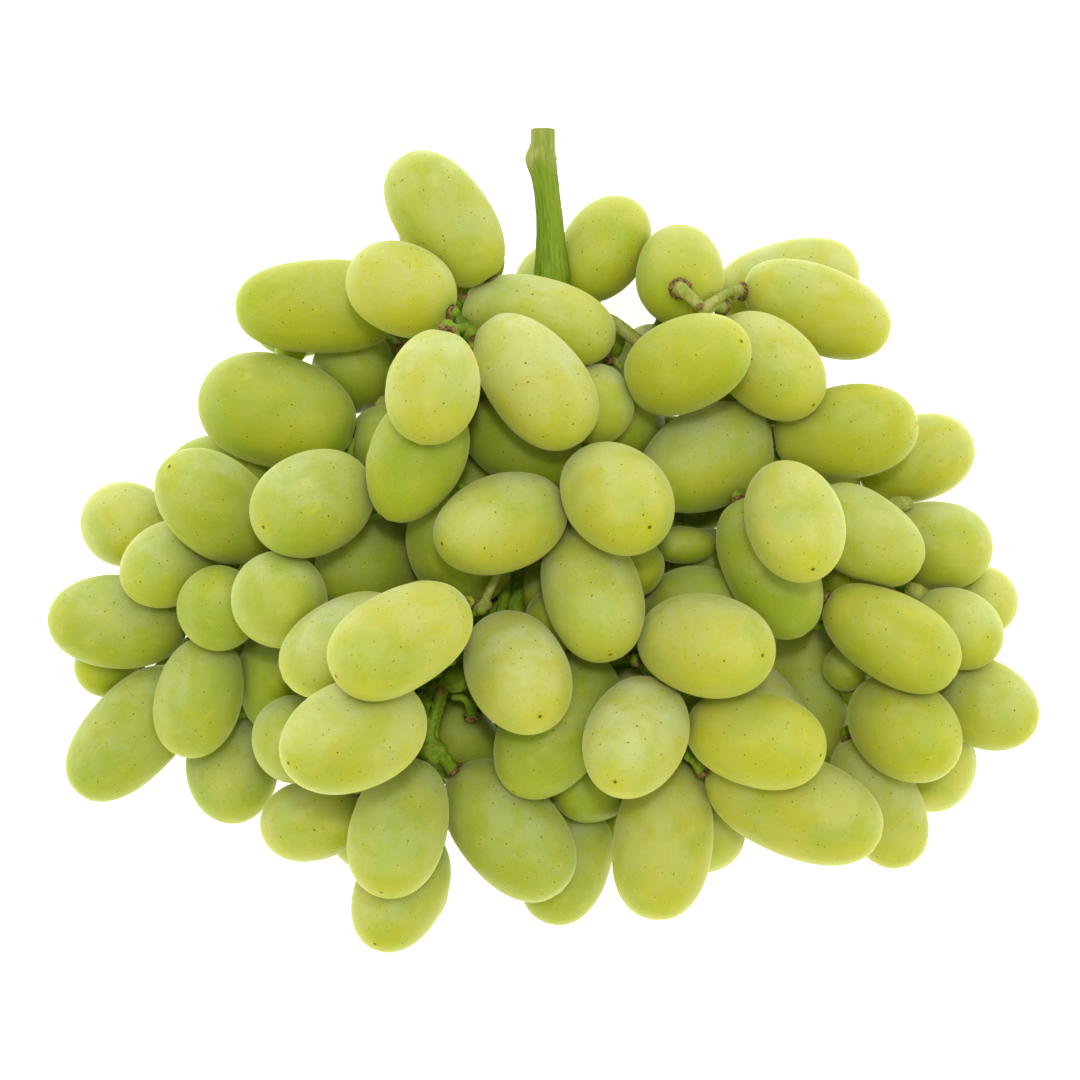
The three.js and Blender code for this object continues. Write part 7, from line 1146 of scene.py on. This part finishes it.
def stem_material():
    m = Nodes("green_stem")
    pos = m.attr("lp", "Vector")
    # fibres along the stem
    n1 = m.noise(pos, 1.3, 4.0, 0.6, 0.2)
    base = m.mix(m.ramp(n1, 0.34, 0.66), srgb(100, 134, 12), srgb(136, 160, 34))
    n4 = m.noise(pos, 0.22, 2.0, 0.5, 0.0)
    base = m.mix(m.ramp(n4, 0.40, 0.70, 0.0, 0.6), base, srgb(138, 158, 32))
    # woody upper end of the cut stem
    olive = m.attr("olive")
    n5 = m.noise(pos, 0.7, 4.0, 0.65, 0.6)
    oc = m.mix(m.ramp(n5, 0.36, 0.64), srgb(146, 160, 56), srgb(182, 180, 100))
    base = m.mix(olive, base, oc)
    n2 = m.noise(pos, 1.9, 3.0, 0.6, 0.0)
    base = m.mix(m.ramp(n2, 0.64, 0.76, 0.0, 0.45), base, srgb(84, 92, 18))
    brown = m.attr("brown")
    n3 = m.noise(pos, 1.6, 4.0, 0.65, 0.0)
    bc = m.mix(m.ramp(n3, 0.36, 0.66), srgb(66, 42, 16), srgb(158, 132, 70))
    edge = m.ramp(m.math("ADD", brown, m.math("MULTIPLY", m.math("SUBTRACT", n3, 0.5), 1.7)), 0.42, 0.70)
    base = m.mix(edge, base, bc)
    m.put(m.bsdf.inputs["Base Color"], base)
    m.bsdf.inputs["Roughness"].default_value = 0.60
    m.bsdf.inputs["Specular IOR Level"].default_value = 0.25
    m.bsdf.inputs["Subsurface Weight"].default_value = 0.25
    m.bsdf.inputs["Subsurface Radius"].default_value = (0.9, 1.0, 0.2)
    m.bsdf.inputs["Subsurface Scale"].default_value = 0.0012
    h = m.math("ADD", n1, m.math("MULTIPLY", n2, 0.5))
    m.put(m.bsdf.inputs["Normal"], m.bump(h, 0.5, 0.0005))
    return m.mat


BERRY_MAT = berry_material()
STEM_MAT = stem_material()

node_of = {}
for name, members in GROUPS:
    for k in members:
        node_of[k] = name
for i in range(NB):
    V, F, A = berry_arrays(i)
    ob = make_mesh("grape_" + BERRIES[i][0], V, F, A)
    ob.data.materials.append(BERRY_MAT)
    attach(ob, "root")
    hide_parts(node_of[i])


# ---------------------------------------------------------------- stems
def smooth_path(pts, step=0.8):
    """Centripetal-like Catmull-Rom through the points, resampled every step mm. Columns x y z r."""
    P = np.asarray(pts, float)
    if len(P) < 3:
        n = max(2, int(np.linalg.norm(P[1, :3] - P[0, :3]) / step) + 1)
        w = np.linspace(0, 1, n)[:, None]
        return P[0] * (1 - w) + P[1] * w
    Q = np.vstack([2 * P[0] - P[1], P, 2 * P[-1] - P[-2]])
    out = []
    for k in range(1, len(Q) - 2):
        p0, p1, p2, p3 = Q[k - 1:k + 3]
        n = max(2, int(np.linalg.norm(p2[:3] - p1[:3]) / step) + 1)
        for t in np.linspace(0, 1, n, endpoint=False):
            out.append(0.5 * ((2 * p1) + (-p0 + p2) * t + (2 * p0 - 5 * p1 + 4 * p2 - p3) * t * t + (-p0 + 3 * p1 - 3 * p2 + p3) * t ** 3))
    out.append(P[-1])
    return np.array(out)


def tube_arrays(path, sides=12, round_ends=True):
    P = np.asarray(path, float)
    T = np.gradient(P[:, :3], axis=0)
    T /= np.linalg.norm(T, axis=1)[:, None] + 1e-12
    e1, e2, _ = frame_of(T[0])
    V, F = [], []
    lon = np.linspace(0, 2 * math.pi, sides, endpoint=False)
    for k in range(len(P)):
        e1 = e1 - (e1 @ T[k]) * T[k]
        e1 /= np.linalg.norm(e1)
        e2 = np.cross(T[k], e1)
        V.append(P[k, :3] + P[k, 3] * (np.cos(lon)[:, None] * e1 + np.sin(lon)[:, None] * e2))
    V = np.concatenate(V)
    for j in range(len(P) - 1):
        for k in range(sides):
            k2 = (k + 1) % sides
            F.append([j * sides + k, j * sides + k2, (j + 1) * sides + k2, (j + 1) * sides + k])
    a = len(V)
    V = np.vstack([V, P[0, :3] - T[0] * P[0, 3] * (0.4 if round_ends else 0), P[-1, :3] + T[-1] * P[-1, 3] * (0.4 if round_ends else 0)])
    for k in range(sides):
        k2 = (k + 1) % sides
        F.append([a, k2, k])
        b0 = (len(P) - 1) * sides
        F.append([a + 1, b0 + k, b0 + k2])
    return V, F


def at(x, y, z):
    """The point seen at column x, row y of the 1080 square picture, z mm above the surface."""
    k = (700.0 - z) / 3217.5
    return np.array([(x - 540.0) * k - 0.50024, (540.0 - y) * k + 0.10538, z])


def ball_arrays(c, r, seg=12):
    V, F = [], []
    for j in range(seg // 2 + 1):
        t = math.pi * j / (seg // 2)
        for k in range(seg):
            p = 2 * math.pi * k / seg
            V.append((c[0] + r * math.sin(t) * math.cos(p), c[1] + r * math.sin(t) * math.sin(p), c[2] + r * math.cos(t)))
    for j in range(seg // 2):
        for k in range(seg):
            k2 = (k + 1) % seg
            F.append([j * seg + k, (j + 1) * seg + k, (j + 1) * seg + k2, j * seg + k2])
    return np.array(V), F


class Growth:
    """Collects overlapping tubes and knobs and grows them together into one skin."""

    def __init__(self):
        self.v, self.f, self.n, self.brown = [], [], 0, []

    def add(self, V, F):
        self.v.append(V)
        self.f.extend([[x + self.n for x in f] for f in F])
        self.n += len(V)

    def tube(self, P, step=0.8, sides=12):
        self.add(*tube_arrays(smooth_path(P, step), sides))

    def ball(self, c, r, brown=0.0):
        self.add(*ball_arrays(c, r))
        if brown:
            self.brown.append((np.asarray(c, float), r * 1.1, brown))

    def receptacle(self, p, out, r, rng, warts=9, brown=1.0):
        """Flared seat of a berry with a warty rim. p lies on the berry, out points away from it."""
        p, out = np.asarray(p, float), np.asarray(out, float)
        out = out / np.linalg.norm(out)
        e1, e2, _ = frame_of(out)
        self.tube([list(p - out * 0.25) + [r], list(p + out * 0.30) + [r * 1.02], list(p + out * 0.75) + [r * 0.78], list(p + out * 1.35) + [r * 0.52]], 0.3, 16)
        for k in range(warts):
            a = 2 * math.pi * (k + 0.5 * rng.rand()) / warts
            q = p + out * (0.25 + 0.45 * rng.rand()) + (e1 * math.cos(a) + e2 * math.sin(a)) * r * (0.78 + 0.22 * rng.rand())
            self.add(*ball_arrays(q, (0.13 + 0.08 * rng.rand()) * r, 8))
        for k in range(12):
            a = math.pi * k / 6
            self.brown.append((p + (e1 * math.cos(a) + e2 * math.sin(a)) * r * 0.9, r * 0.42, brown))

    def build(self, name, voxel, bumps, size, pale=()):
        ob = make_mesh(name, np.concatenate(self.v), self.f)
        mod = ob.modifiers.new("remesh", "REMESH")
        mod.mode = "VOXEL"
        mod.voxel_size = voxel * MM
        mod.use_smooth_shade = True
        me = bpy.data.meshes.new_from_object(ob.evaluated_get(bpy.context.evaluated_depsgraph_get()))
        ob.modifiers.clear()
        ob.data = me
        n = len(me.vertices)
        co = np.zeros(n * 3)
        no = np.zeros(n * 3)
        me.vertices.foreach_get("co", co)
        me.vertices.foreach_get("normal", no)
        co, no = co.reshape(-1, 3) / MM, no.reshape(-1, 3)
        h = np.array([mnoise.noise(Vector(p / size)) + 0.5 * mnoise.noise(Vector(p / size * 2.3)) for p in co])
        brown = np.zeros(n)
        for p, r, w in self.brown:
            d = np.linalg.norm(co - p, axis=1)
            brown = np.maximum(brown, w * np.clip(1.9 - d / r, 0, 1))
        up = bumps * h * (1 + 0.8 * brown)
        z = co[:, 2] + up * no[:, 2]
        co = co + (up * (z > 0.1))[:, None] * no
        me.vertices.foreach_set("co", (co * MM).ravel())
        me.attributes.new("brown", "FLOAT", "POINT").data.foreach_set("value", brown.astype(np.float32))
        olive = np.zeros(n)
        for p, r in pale:
            olive = np.maximum(olive, np.clip(1.6 - np.linalg.norm(co - p, axis=1) / r, 0, 1))
        me.attributes.new("olive", "FLOAT", "POINT").data.foreach_set("value", olive.astype(np.float32))
        me.attributes.new("lp", "FLOAT_VECTOR", "POINT").data.foreach_set("vector", co.astype(np.float32).ravel())
        me.polygons.foreach_set("use_smooth", np.ones(len(me.polygons), bool))
        me.update()
        print(name, "faces", len(me.polygons))
        return ob


def finish_stem(ob):
    ob.data.materials.clear()
    ob.data.materials.append(STEM_MAT)
    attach(ob, "root")
    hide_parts("main_stem")


g = Growth()
for name, pts in MAIN_STEMS:
    P = [list(q) for q in pts]
    if name == "rachis":
        # the free upper part is the cut stem, made below
        P = [p[:3] + [p[3] * (0.80 if k < 7 else (0.95 if k < 11 else 0.74))] for k, p in enumerate(P)][1:]
    g.tube(P, 1.2, 16)
for r, pts in BRANCHES:
    g.tube([list(q) + [r] for q in pts], 1.0, 10)
wr = np.random.RandomState(31)
for i, (base, mid, end) in PEDICELS:
    base, mid, end = np.array(base), np.array(mid), np.array(end)
    if BERRIES[i][0] in ("T11", "T14", "T15", "T6"):
        continue
    o = mid - base
    o /= np.linalg.norm(o)
    P = [list(base + o * 0.3) + [1.15], list(base + o * 1.3) + [0.95]]
    if np.linalg.norm(end - mid) > 0.8:
        P += [list(mid) + [0.92], list(end) + [0.85]]
    else:
        P += [list(end) + [0.9]]
    g.tube(P, 0.5, 12)
    g.receptacle(base, o, 1.5, wr, 7)
finish_stem(g.build("stem_skeleton", 0.42, 0.13, 1.1))

# joints and seats that show between the berries
j = Growth()


def vine(*pts):
    j.tube([list(at(*p[:3])) + [p[3]] for p in pts], 0.5, 14)


def knob(x, y, z, r, brown=0.0):
    j.ball(at(x, y, z), r, brown)


def seat(x, y, z, out, r, warts=10, brown=1.0):
    j.receptacle(at(x, y, z), out, r, wr, warts, brown)


# three pedicels that meet on the right shoulder
seat(680, 289, 45.3, (0.05, -0.05, 1.0), 2.35, 14)
vine((680, 289, 46.0, 1.5), (685, 292.5, 47.0, 1.35), (692, 299, 47.2, 1.2), (698, 305, 46.5, 1.2), (703, 309, 45.4, 1.35), (706, 314, 43.0, 1.4))
vine((703, 310, 45.2, 1.3), (711, 303, 43.9, 1.1), (720, 297, 40.2, 1.05), (730, 292, 34.0, 1.0), (737, 291, 30.0, 1.25), (741, 291, 28.2, 1.5))
seat(742.5, 291.5, 27.6, (-1.0, 0.05, 0.42), 2.05, 11)
knob(730, 291, 34.0, 1.25)
knob(734, 296, 31.6, 0.9)
vine((706, 311, 44.2, 1.2), (714, 306, 41.2, 1.15), (721, 307, 37.6, 1.45))
seat(723, 308.5, 36.2, (-0.6, 0.5, 0.7), 1.95, 10)
knob(699, 306, 47.0, 0.75, 0.8)
# warty joint on the left shoulder
vine((464, 318, 37.0, 1.3), (460, 308, 39.0, 1.3), (460, 299, 41.0, 1.4))
seat(466, 297, 42.5, (-0.2, -1.0, 0.2), 1.5)
vine((462, 318, 38.0, 1.3), (463, 325, 45.0, 1.35), (467, 332, 51.0, 1.4), (473, 339, 55.0, 1.2), (478, 341, 57.0, 1.5))
for x, y, z, r, w in ((466, 327, 50, 1.1, 0), (461, 332, 50.5, 1.0, 0), (472, 330, 52, 1.0, 0), (468, 336, 54, 0.9, 0), (464, 337, 53, 0.8, 0.4), (475, 333, 53, 0.8, 0), (472, 345, 58, 0.9, 0), (477, 340, 57.5, 1.3, 1), (469, 331, 53.5, 0.7, 0), (462, 327, 51, 0.6, 0.5)):
    knob(x, y, z, r, w)
vine((464, 329, 51.0, 1.2), (456, 329, 61.0, 1.0), (448, 327, 71.0, 1.2))
seat(447, 328.5, 73.0, (0.45, 0.85, -0.1), 1.95, 12, 0.8)
seat(480, 341, 57.5, (-0.8, 0.1, 0.1), 1.7, 9)
# stub on the far left
vine((386, 336, 18.0, 0.9), (393, 341, 21.0, 0.85), (400, 347, 24.0, 1.0))
knob(400, 347, 24.2, 1.15, 1)
# joint with a dry bract
vine((606, 361, 31.0, 1.0), (613, 362, 32.0, 0.95), (620, 366, 32.0, 0.8))
knob(608, 360, 33.5, 1.15, 1)
knob(616, 363, 32.6, 0.95)
knob(620, 367, 32.6, 0.75, 0.5)
# stems that cross the deep gap in the middle
vine((520, 540, 27.0, 1.2), (508, 556, 38.0, 1.0), (499, 571, 45.4, 0.92), (491, 588, 45.2, 0.88), (484, 603, 44.4, 0.95), (479, 612, 43.0, 1.2))
knob(487, 605, 44.6, 1.15, 0.5)
knob(481, 609, 44.4, 1.45)
knob(476, 611, 43.4, 1.3)
seat(476, 604, 43.8, (0.7, -0.6, 0.5), 1.6, 9)
vine((512, 545, 28.0, 1.1), (508, 570, 31.0, 1.15), (505, 592, 31.5, 1.2), (500, 618, 30.0, 1.2))
# lower left joint, two shot berries and their stem
vine((444, 666, 34.0, 1.0), (450, 672, 35.0, 0.9), (456, 679, 36.0, 0.9))
vine((436, 706, 37.0, 0.6), (430, 703, 38.4, 0.6), (426, 703, 39.0, 0.7))
vine((444, 680, 36.2, 1.0), (440, 692, 37.8, 1.05), (435, 712, 37.8, 0.98), (430, 735, 37.0, 1.05), (430, 748, 35.6, 1.5))
knob(440.5, 691, 38.2, 1.0, 0.7)
for x, y, z, r, w in ((426, 751, 35.6, 1.85, 0), (440, 750, 35.4, 1.75, 0), (433, 758, 35.4, 1.55, 0), (421, 757, 34.4, 1.4, 0.6), (446, 758, 34.6, 1.3, 0), (433, 742, 36.2, 1.25, 0.5), (424, 744, 36.0, 1.0, 0.5)):
    knob(x, y, z, r, w)
vine((440, 754, 35.0, 1.4), (447, 762, 34.4, 1.25), (452, 769, 33.0, 1.6))
seat(453, 770, 32.6, (-0.6, 0.7, 0.45), 1.75, 10)
vine((452, 696, 33.0, 0.9), (463, 698, 33.0, 0.85), (469, 704, 32.0, 1.0), (471, 711, 30.0, 1.2))
seat(473, 716, 28.2, (-0.15, 0.75, 0.65), 2.0, 11)
# seats on the right of the middle
vine((630, 657, 28.0, 1.2), (633, 655, 33.0, 1.1), (636, 660, 36.0, 1.2))
seat(637, 661, 36.0, (-0.6, 0.4, 0.5), 1.5, 9)
knob(630, 656, 34.0, 1.1, 1)
vine((684, 740, 27.0, 1.2), (686, 750, 33.0, 1.1), (694, 760, 35.5, 1.1), (701, 768, 35.0, 1.4))
seat(703, 771, 34.2, (-0.6, 0.6, 0.5), 1.7, 10)
knob(689, 757, 35.0, 1.1)
vine((600, 318, 33.0, 1.3), (612, 322, 33.2, 1.5), (626, 332, 32.2, 1.5), (641, 344, 31.0, 1.45), (656, 352, 31.5, 1.3))
vine((597, 367, 20.0, 1.6), (606, 356, 20.0, 2.2), (613, 344, 21.0, 2.4), (619, 330, 22.0, 2.0))
vine((378, 408, 20.0, 1.2), (383, 403, 20.0, 1.5), (388, 399, 20.0, 1.2))
vine((890, 505, 20.0, 1.5), (901, 504, 20.0, 1.7), (911, 503, 20.0, 1.4))
vine((908, 588, 24.0, 1.5), (917, 592, 25.0, 1.8), (926, 596, 24.0, 1.5))
vine((824, 600, 20.0, 1.7), (821, 612, 19.0, 2.2), (818, 626, 18.0, 1.6))
vine((670, 699, 22.0, 1.6), (679, 691, 22.5, 2.0), (688, 684, 22.0, 1.6))
vine((236, 713, 15.0, 1.2), (242, 712, 15.0, 1.4), (248, 711, 15.0, 1.2))
vine((845, 682, 20.5, 1.6), (851, 693, 18.0, 2.3), (856, 704, 17.0, 1.6))
vine((596, 668, 20.0, 1.5), (615, 662, 21.0, 1.7), (634, 661, 22.0, 1.6), (652, 668, 21.0, 1.5))
finish_stem(j.build("stem_joints", 0.24, 0.10, 0.8, [(at(694, 300, 45), 8.0), (at(735, 292, 30), 5.0), (at(445, 329, 73), 5.0), (at(625, 331, 32), 6.0), (at(491, 588, 45), 4.0), (at(901, 504, 20), 6.0), (at(917, 592, 25), 6.0), (at(383, 403, 20), 5.0)]))

# berries that never grew: the larger ones have a skin like the others, the smallest stay green as the stem
for k, (x, y, z, r) in enumerate(UNDEVELOPED):
    V, F = ball_arrays((0, 0, 0), 1.0, 40)
    N3 = V.copy()
    q = np.array([mnoise.noise(Vector(p * 1.1 + 7.0 * k)) for p in V])
    if k == 1:
        # the largest one is longer than wide
        x, y, z = x + 1.25, y - 1.9, z + 0.6
        V = V * np.array([1.42, 0.82, 0.92])
    V = V * r * (1 + 0.035 * q)[:, None] + np.array([x, y, z])
    nv = len(V)
    A = {"lp": (V - np.array([x, y, z])) * (1.0 if r > 3.2 else 0.55) + 11.0 * k, "olive": np.zeros(nv), "brown": np.clip(0.62 - np.linalg.norm(N3 - np.array([0.35, -0.65, 0.67]), axis=1) * 2.2, 0, 1), "tone": np.full(nv, 0.40), "bloom": np.full(nv, 0.50), "scar": np.zeros(nv), "tipd": np.full(nv, 9.0), "stemd": np.full(nv, 9.0)}
    ob = make_mesh("unripe_%d" % (k + 1), V, F, A)
    bm = bmesh.new()
    bm.from_mesh(ob.data)
    bmesh.ops.remove_doubles(bm, verts=bm.verts, dist=1e-7)
    bmesh.ops.recalc_face_normals(bm, faces=bm.faces)
    bm.to_mesh(ob.data)
    bm.free()
    finish_stem(ob)
    if r > 3.2:
        ob.data.materials.clear()
        ob.data.materials.append(BERRY_MAT)

# the cut stem: a flat cut, a swollen node, then long fibres
CUT = [(129.2, 543, 34.0, 12.0), (133, 543, 34.0, 12.1), (138, 543, 34.0, 12.0), (145, 542.7, 33.9, 12.6), (150, 542, 33.9, 13.8), (155, 541.3, 33.9, 15.6), (157.6, 541.1, 33.8, 16.4), (160, 541.2, 33.8, 16.1), (163, 541.6, 33.8, 15.3), (170, 543.4, 33.8, 14.4), (180, 545.2, 33.7, 13.6), (195, 547, 33.6, 13.1), (215, 549.3, 33.5, 13.3), (235, 550.3, 33.4, 14.2), (255, 551, 33.4, 15.8), (275, 551.6, 33.2, 17.6), (300, 553, 32.1, 15.0)]
P = np.array([list(at(x, y, z)) + [r * (700 - z) / 3217.5] for y, x, z, r in CUT])
D = np.concatenate([[0], np.cumsum(np.linalg.norm(np.diff(P[:, :3], axis=0), axis=1))])
S = np.arange(0, D[-1], 0.3)
Q = np.stack([np.interp(S, D, P[:, k]) for k in range(4)], 1)
for _ in range(2):
    Q[2:-2] = (Q[1:-3] + 2 * Q[2:-2] + Q[3:-1]) / 4
NS = 72
lon = np.linspace(0, 2 * math.pi, NS, endpoint=False)
V, L2, OL, BR = [], [], [], []
prng = np.random.RandomState(12)
ph = prng.rand(6) * 6.28


def ring_at(k, shrink, back, brown):
    p, r, s = Q[k, :3], Q[k, 3], S[k]
    k0, k1 = max(0, k - 2), min(len(Q) - 1, k + 2)
    t = Q[k1, :3] - Q[k0, :3]
    t /= np.linalg.norm(t)
    a1, a2, _ = frame_of(t)
    rr = r * shrink * (1 + 0.020 * np.cos(9 * lon + ph[0] + 0.05 * s) * 0.6 + 0.010 * np.cos(17 * lon + ph[1] - 0.04 * s) + 0.020 * np.cos(2 * lon + ph[2] + 0.12 * s))
    rr = rr + 0.10 * np.array([mnoise.noise(Vector((math.cos(q) * 2.2, math.sin(q) * 2.2, s * 0.35))) for q in lon])
    V.append(p + t * back + rr[:, None] * (np.cos(lon)[:, None] * a1 + np.sin(lon)[:, None] * a2))
    L2.append(np.stack([np.cos(lon) * r * 1.6, np.sin(lon) * r * 1.6, np.full(NS, s * 0.14)], 1))
    edge = 9.0 + 1.2 * np.cos(lon * 3 + 1.0)
    OL.append(np.clip((edge - s) / 2.5, 0, 1) * (0.55 + 0.45 * np.cos(lon - 2.6) ** 2))
    BR.append(np.full(NS, brown) + 0.45 * np.exp(-((s - 6.0) / 0.5) ** 2) * (prng.rand(NS) > 0.4))


ring_at(0, 0.30, 0.22, 0.15)
ring_at(0, 0.80, 0.16, 0.3)
ring_at(0, 0.955, 0.05, 0.6)
ring_at(0, 1.0, 0.0, 0.6)
ring_at(0, 1.0, 0.12, 0.45)
for k in range(1, len(Q)):
    ring_at(k, 1.0, 0.0, 0.25 if k < 3 else 0.0)
nr = len(V)
F = [[a * NS + k, a * NS + (k + 1) % NS, (a + 1) * NS + (k + 1) % NS, (a + 1) * NS + k] for a in range(nr - 1) for k in range(NS)]
V = np.concatenate(V)
L2, OL, BR = np.concatenate(L2), np.concatenate(OL), np.concatenate(BR)
V = np.vstack([V, V[:NS].mean(0), V[-NS:].mean(0)])
L2 = np.vstack([L2, L2[:NS].mean(0), L2[-NS:].mean(0)])
OL, BR = np.append(OL, [1, 0]), np.append(BR, [0.1, 0])
a0 = nr * NS
F += [[a0, (k + 1) % NS, k] for k in range(NS)] + [[a0 + 1, (nr - 1) * NS + k, (nr - 1) * NS + (k + 1) % NS] for k in range(NS)]
cut = make_mesh("stem_cut", V, F, {"lp": L2 + 40.0, "olive": OL, "brown": BR})
bm = bmesh.new()
bm.from_mesh(cut.data)
bmesh.ops.recalc_face_normals(bm, faces=bm.faces)
bm.to_mesh(cut.data)
bm.free()
finish_stem(cut)

# ---------------------------------------------------------------- floor
fv, ff = [], []
N = 24
for j in range(N + 1):
    for k in range(N + 1):
        fv.append((-1500 + 3000 * k / N, -1500 + 3000 * j / N, -0.05))
for j in range(N):
    for k in range(N):
        a = j * (N + 1) + k
        ff.append([a, a + 1, a + N + 2, a + N + 1])
floor = make_mesh("floor", np.array(fv), ff, smooth=False)
fm = Nodes("floor_white")
fm.bsdf.inputs["Base Color"].default_value = (0.93, 0.93, 0.93, 1)
fm.bsdf.inputs["Roughness"].default_value = 0.9
fm.bsdf.inputs["Specular IOR Level"].default_value = 0.1
fm.bsdf.inputs["Emission Color"].default_value = (1, 1, 1, 1)
fm.bsdf.inputs["Emission Strength"].default_value = 0.80
floor.data.materials.append(fm.mat)

# ---------------------------------------------------------------- light
world = bpy.data.worlds.new("studio")
bpy.context.scene.world = world
world.use_nodes = True
world.node_tree.nodes["Background"].inputs["Color"].default_value = (1.0, 1.0, 1.0, 1)
world.node_tree.nodes["Background"].inputs["Strength"].default_value = 0.65


def area(name, loc, target, size, power, col=(1, 1, 1)):
    li = bpy.data.lights.new(name, "AREA")
    li.shape = "DISK"
    li.size = size
    li.energy = power
    li.color = col
    ob = bpy.data.objects.new(name, li)
    bpy.context.scene.collection.objects.link(ob)
    ob.location = loc
    ob.rotation_mode = "QUATERNION"
    ob.rotation_quaternion = (Vector(target) - Vector(loc)).to_track_quat("-Z", "Y")
    ob.visible_camera = False
    return ob


area("key", (0.02, 0.20, 1.27), (0, 0, 0.04), 0.07, 5.6)
area("soft", (0.0, 0.60, 1.35), (0, 0, 0.04), 1.3, 3.4)

# ---------------------------------------------------------------- camera
cam = bpy.data.cameras.new("camera")
cam.sensor_width = 36.0
cam.lens = 36.0 * 3217.5 / 1080.0
cam.clip_start, cam.clip_end = 0.01, 20.0
co_ = bpy.data.objects.new("camera", cam)
bpy.context.scene.collection.objects.link(co_)
co_.location = (-0.00050024, 0.00010538, 0.700)
co_.rotation_euler = (0, 0, 0)
bpy.context.scene.camera = co_
vs = bpy.context.scene.view_settings
vs.view_transform = "Standard"
vs.look = "None"
vs.exposure = 0.0
vs.gamma = 1.0
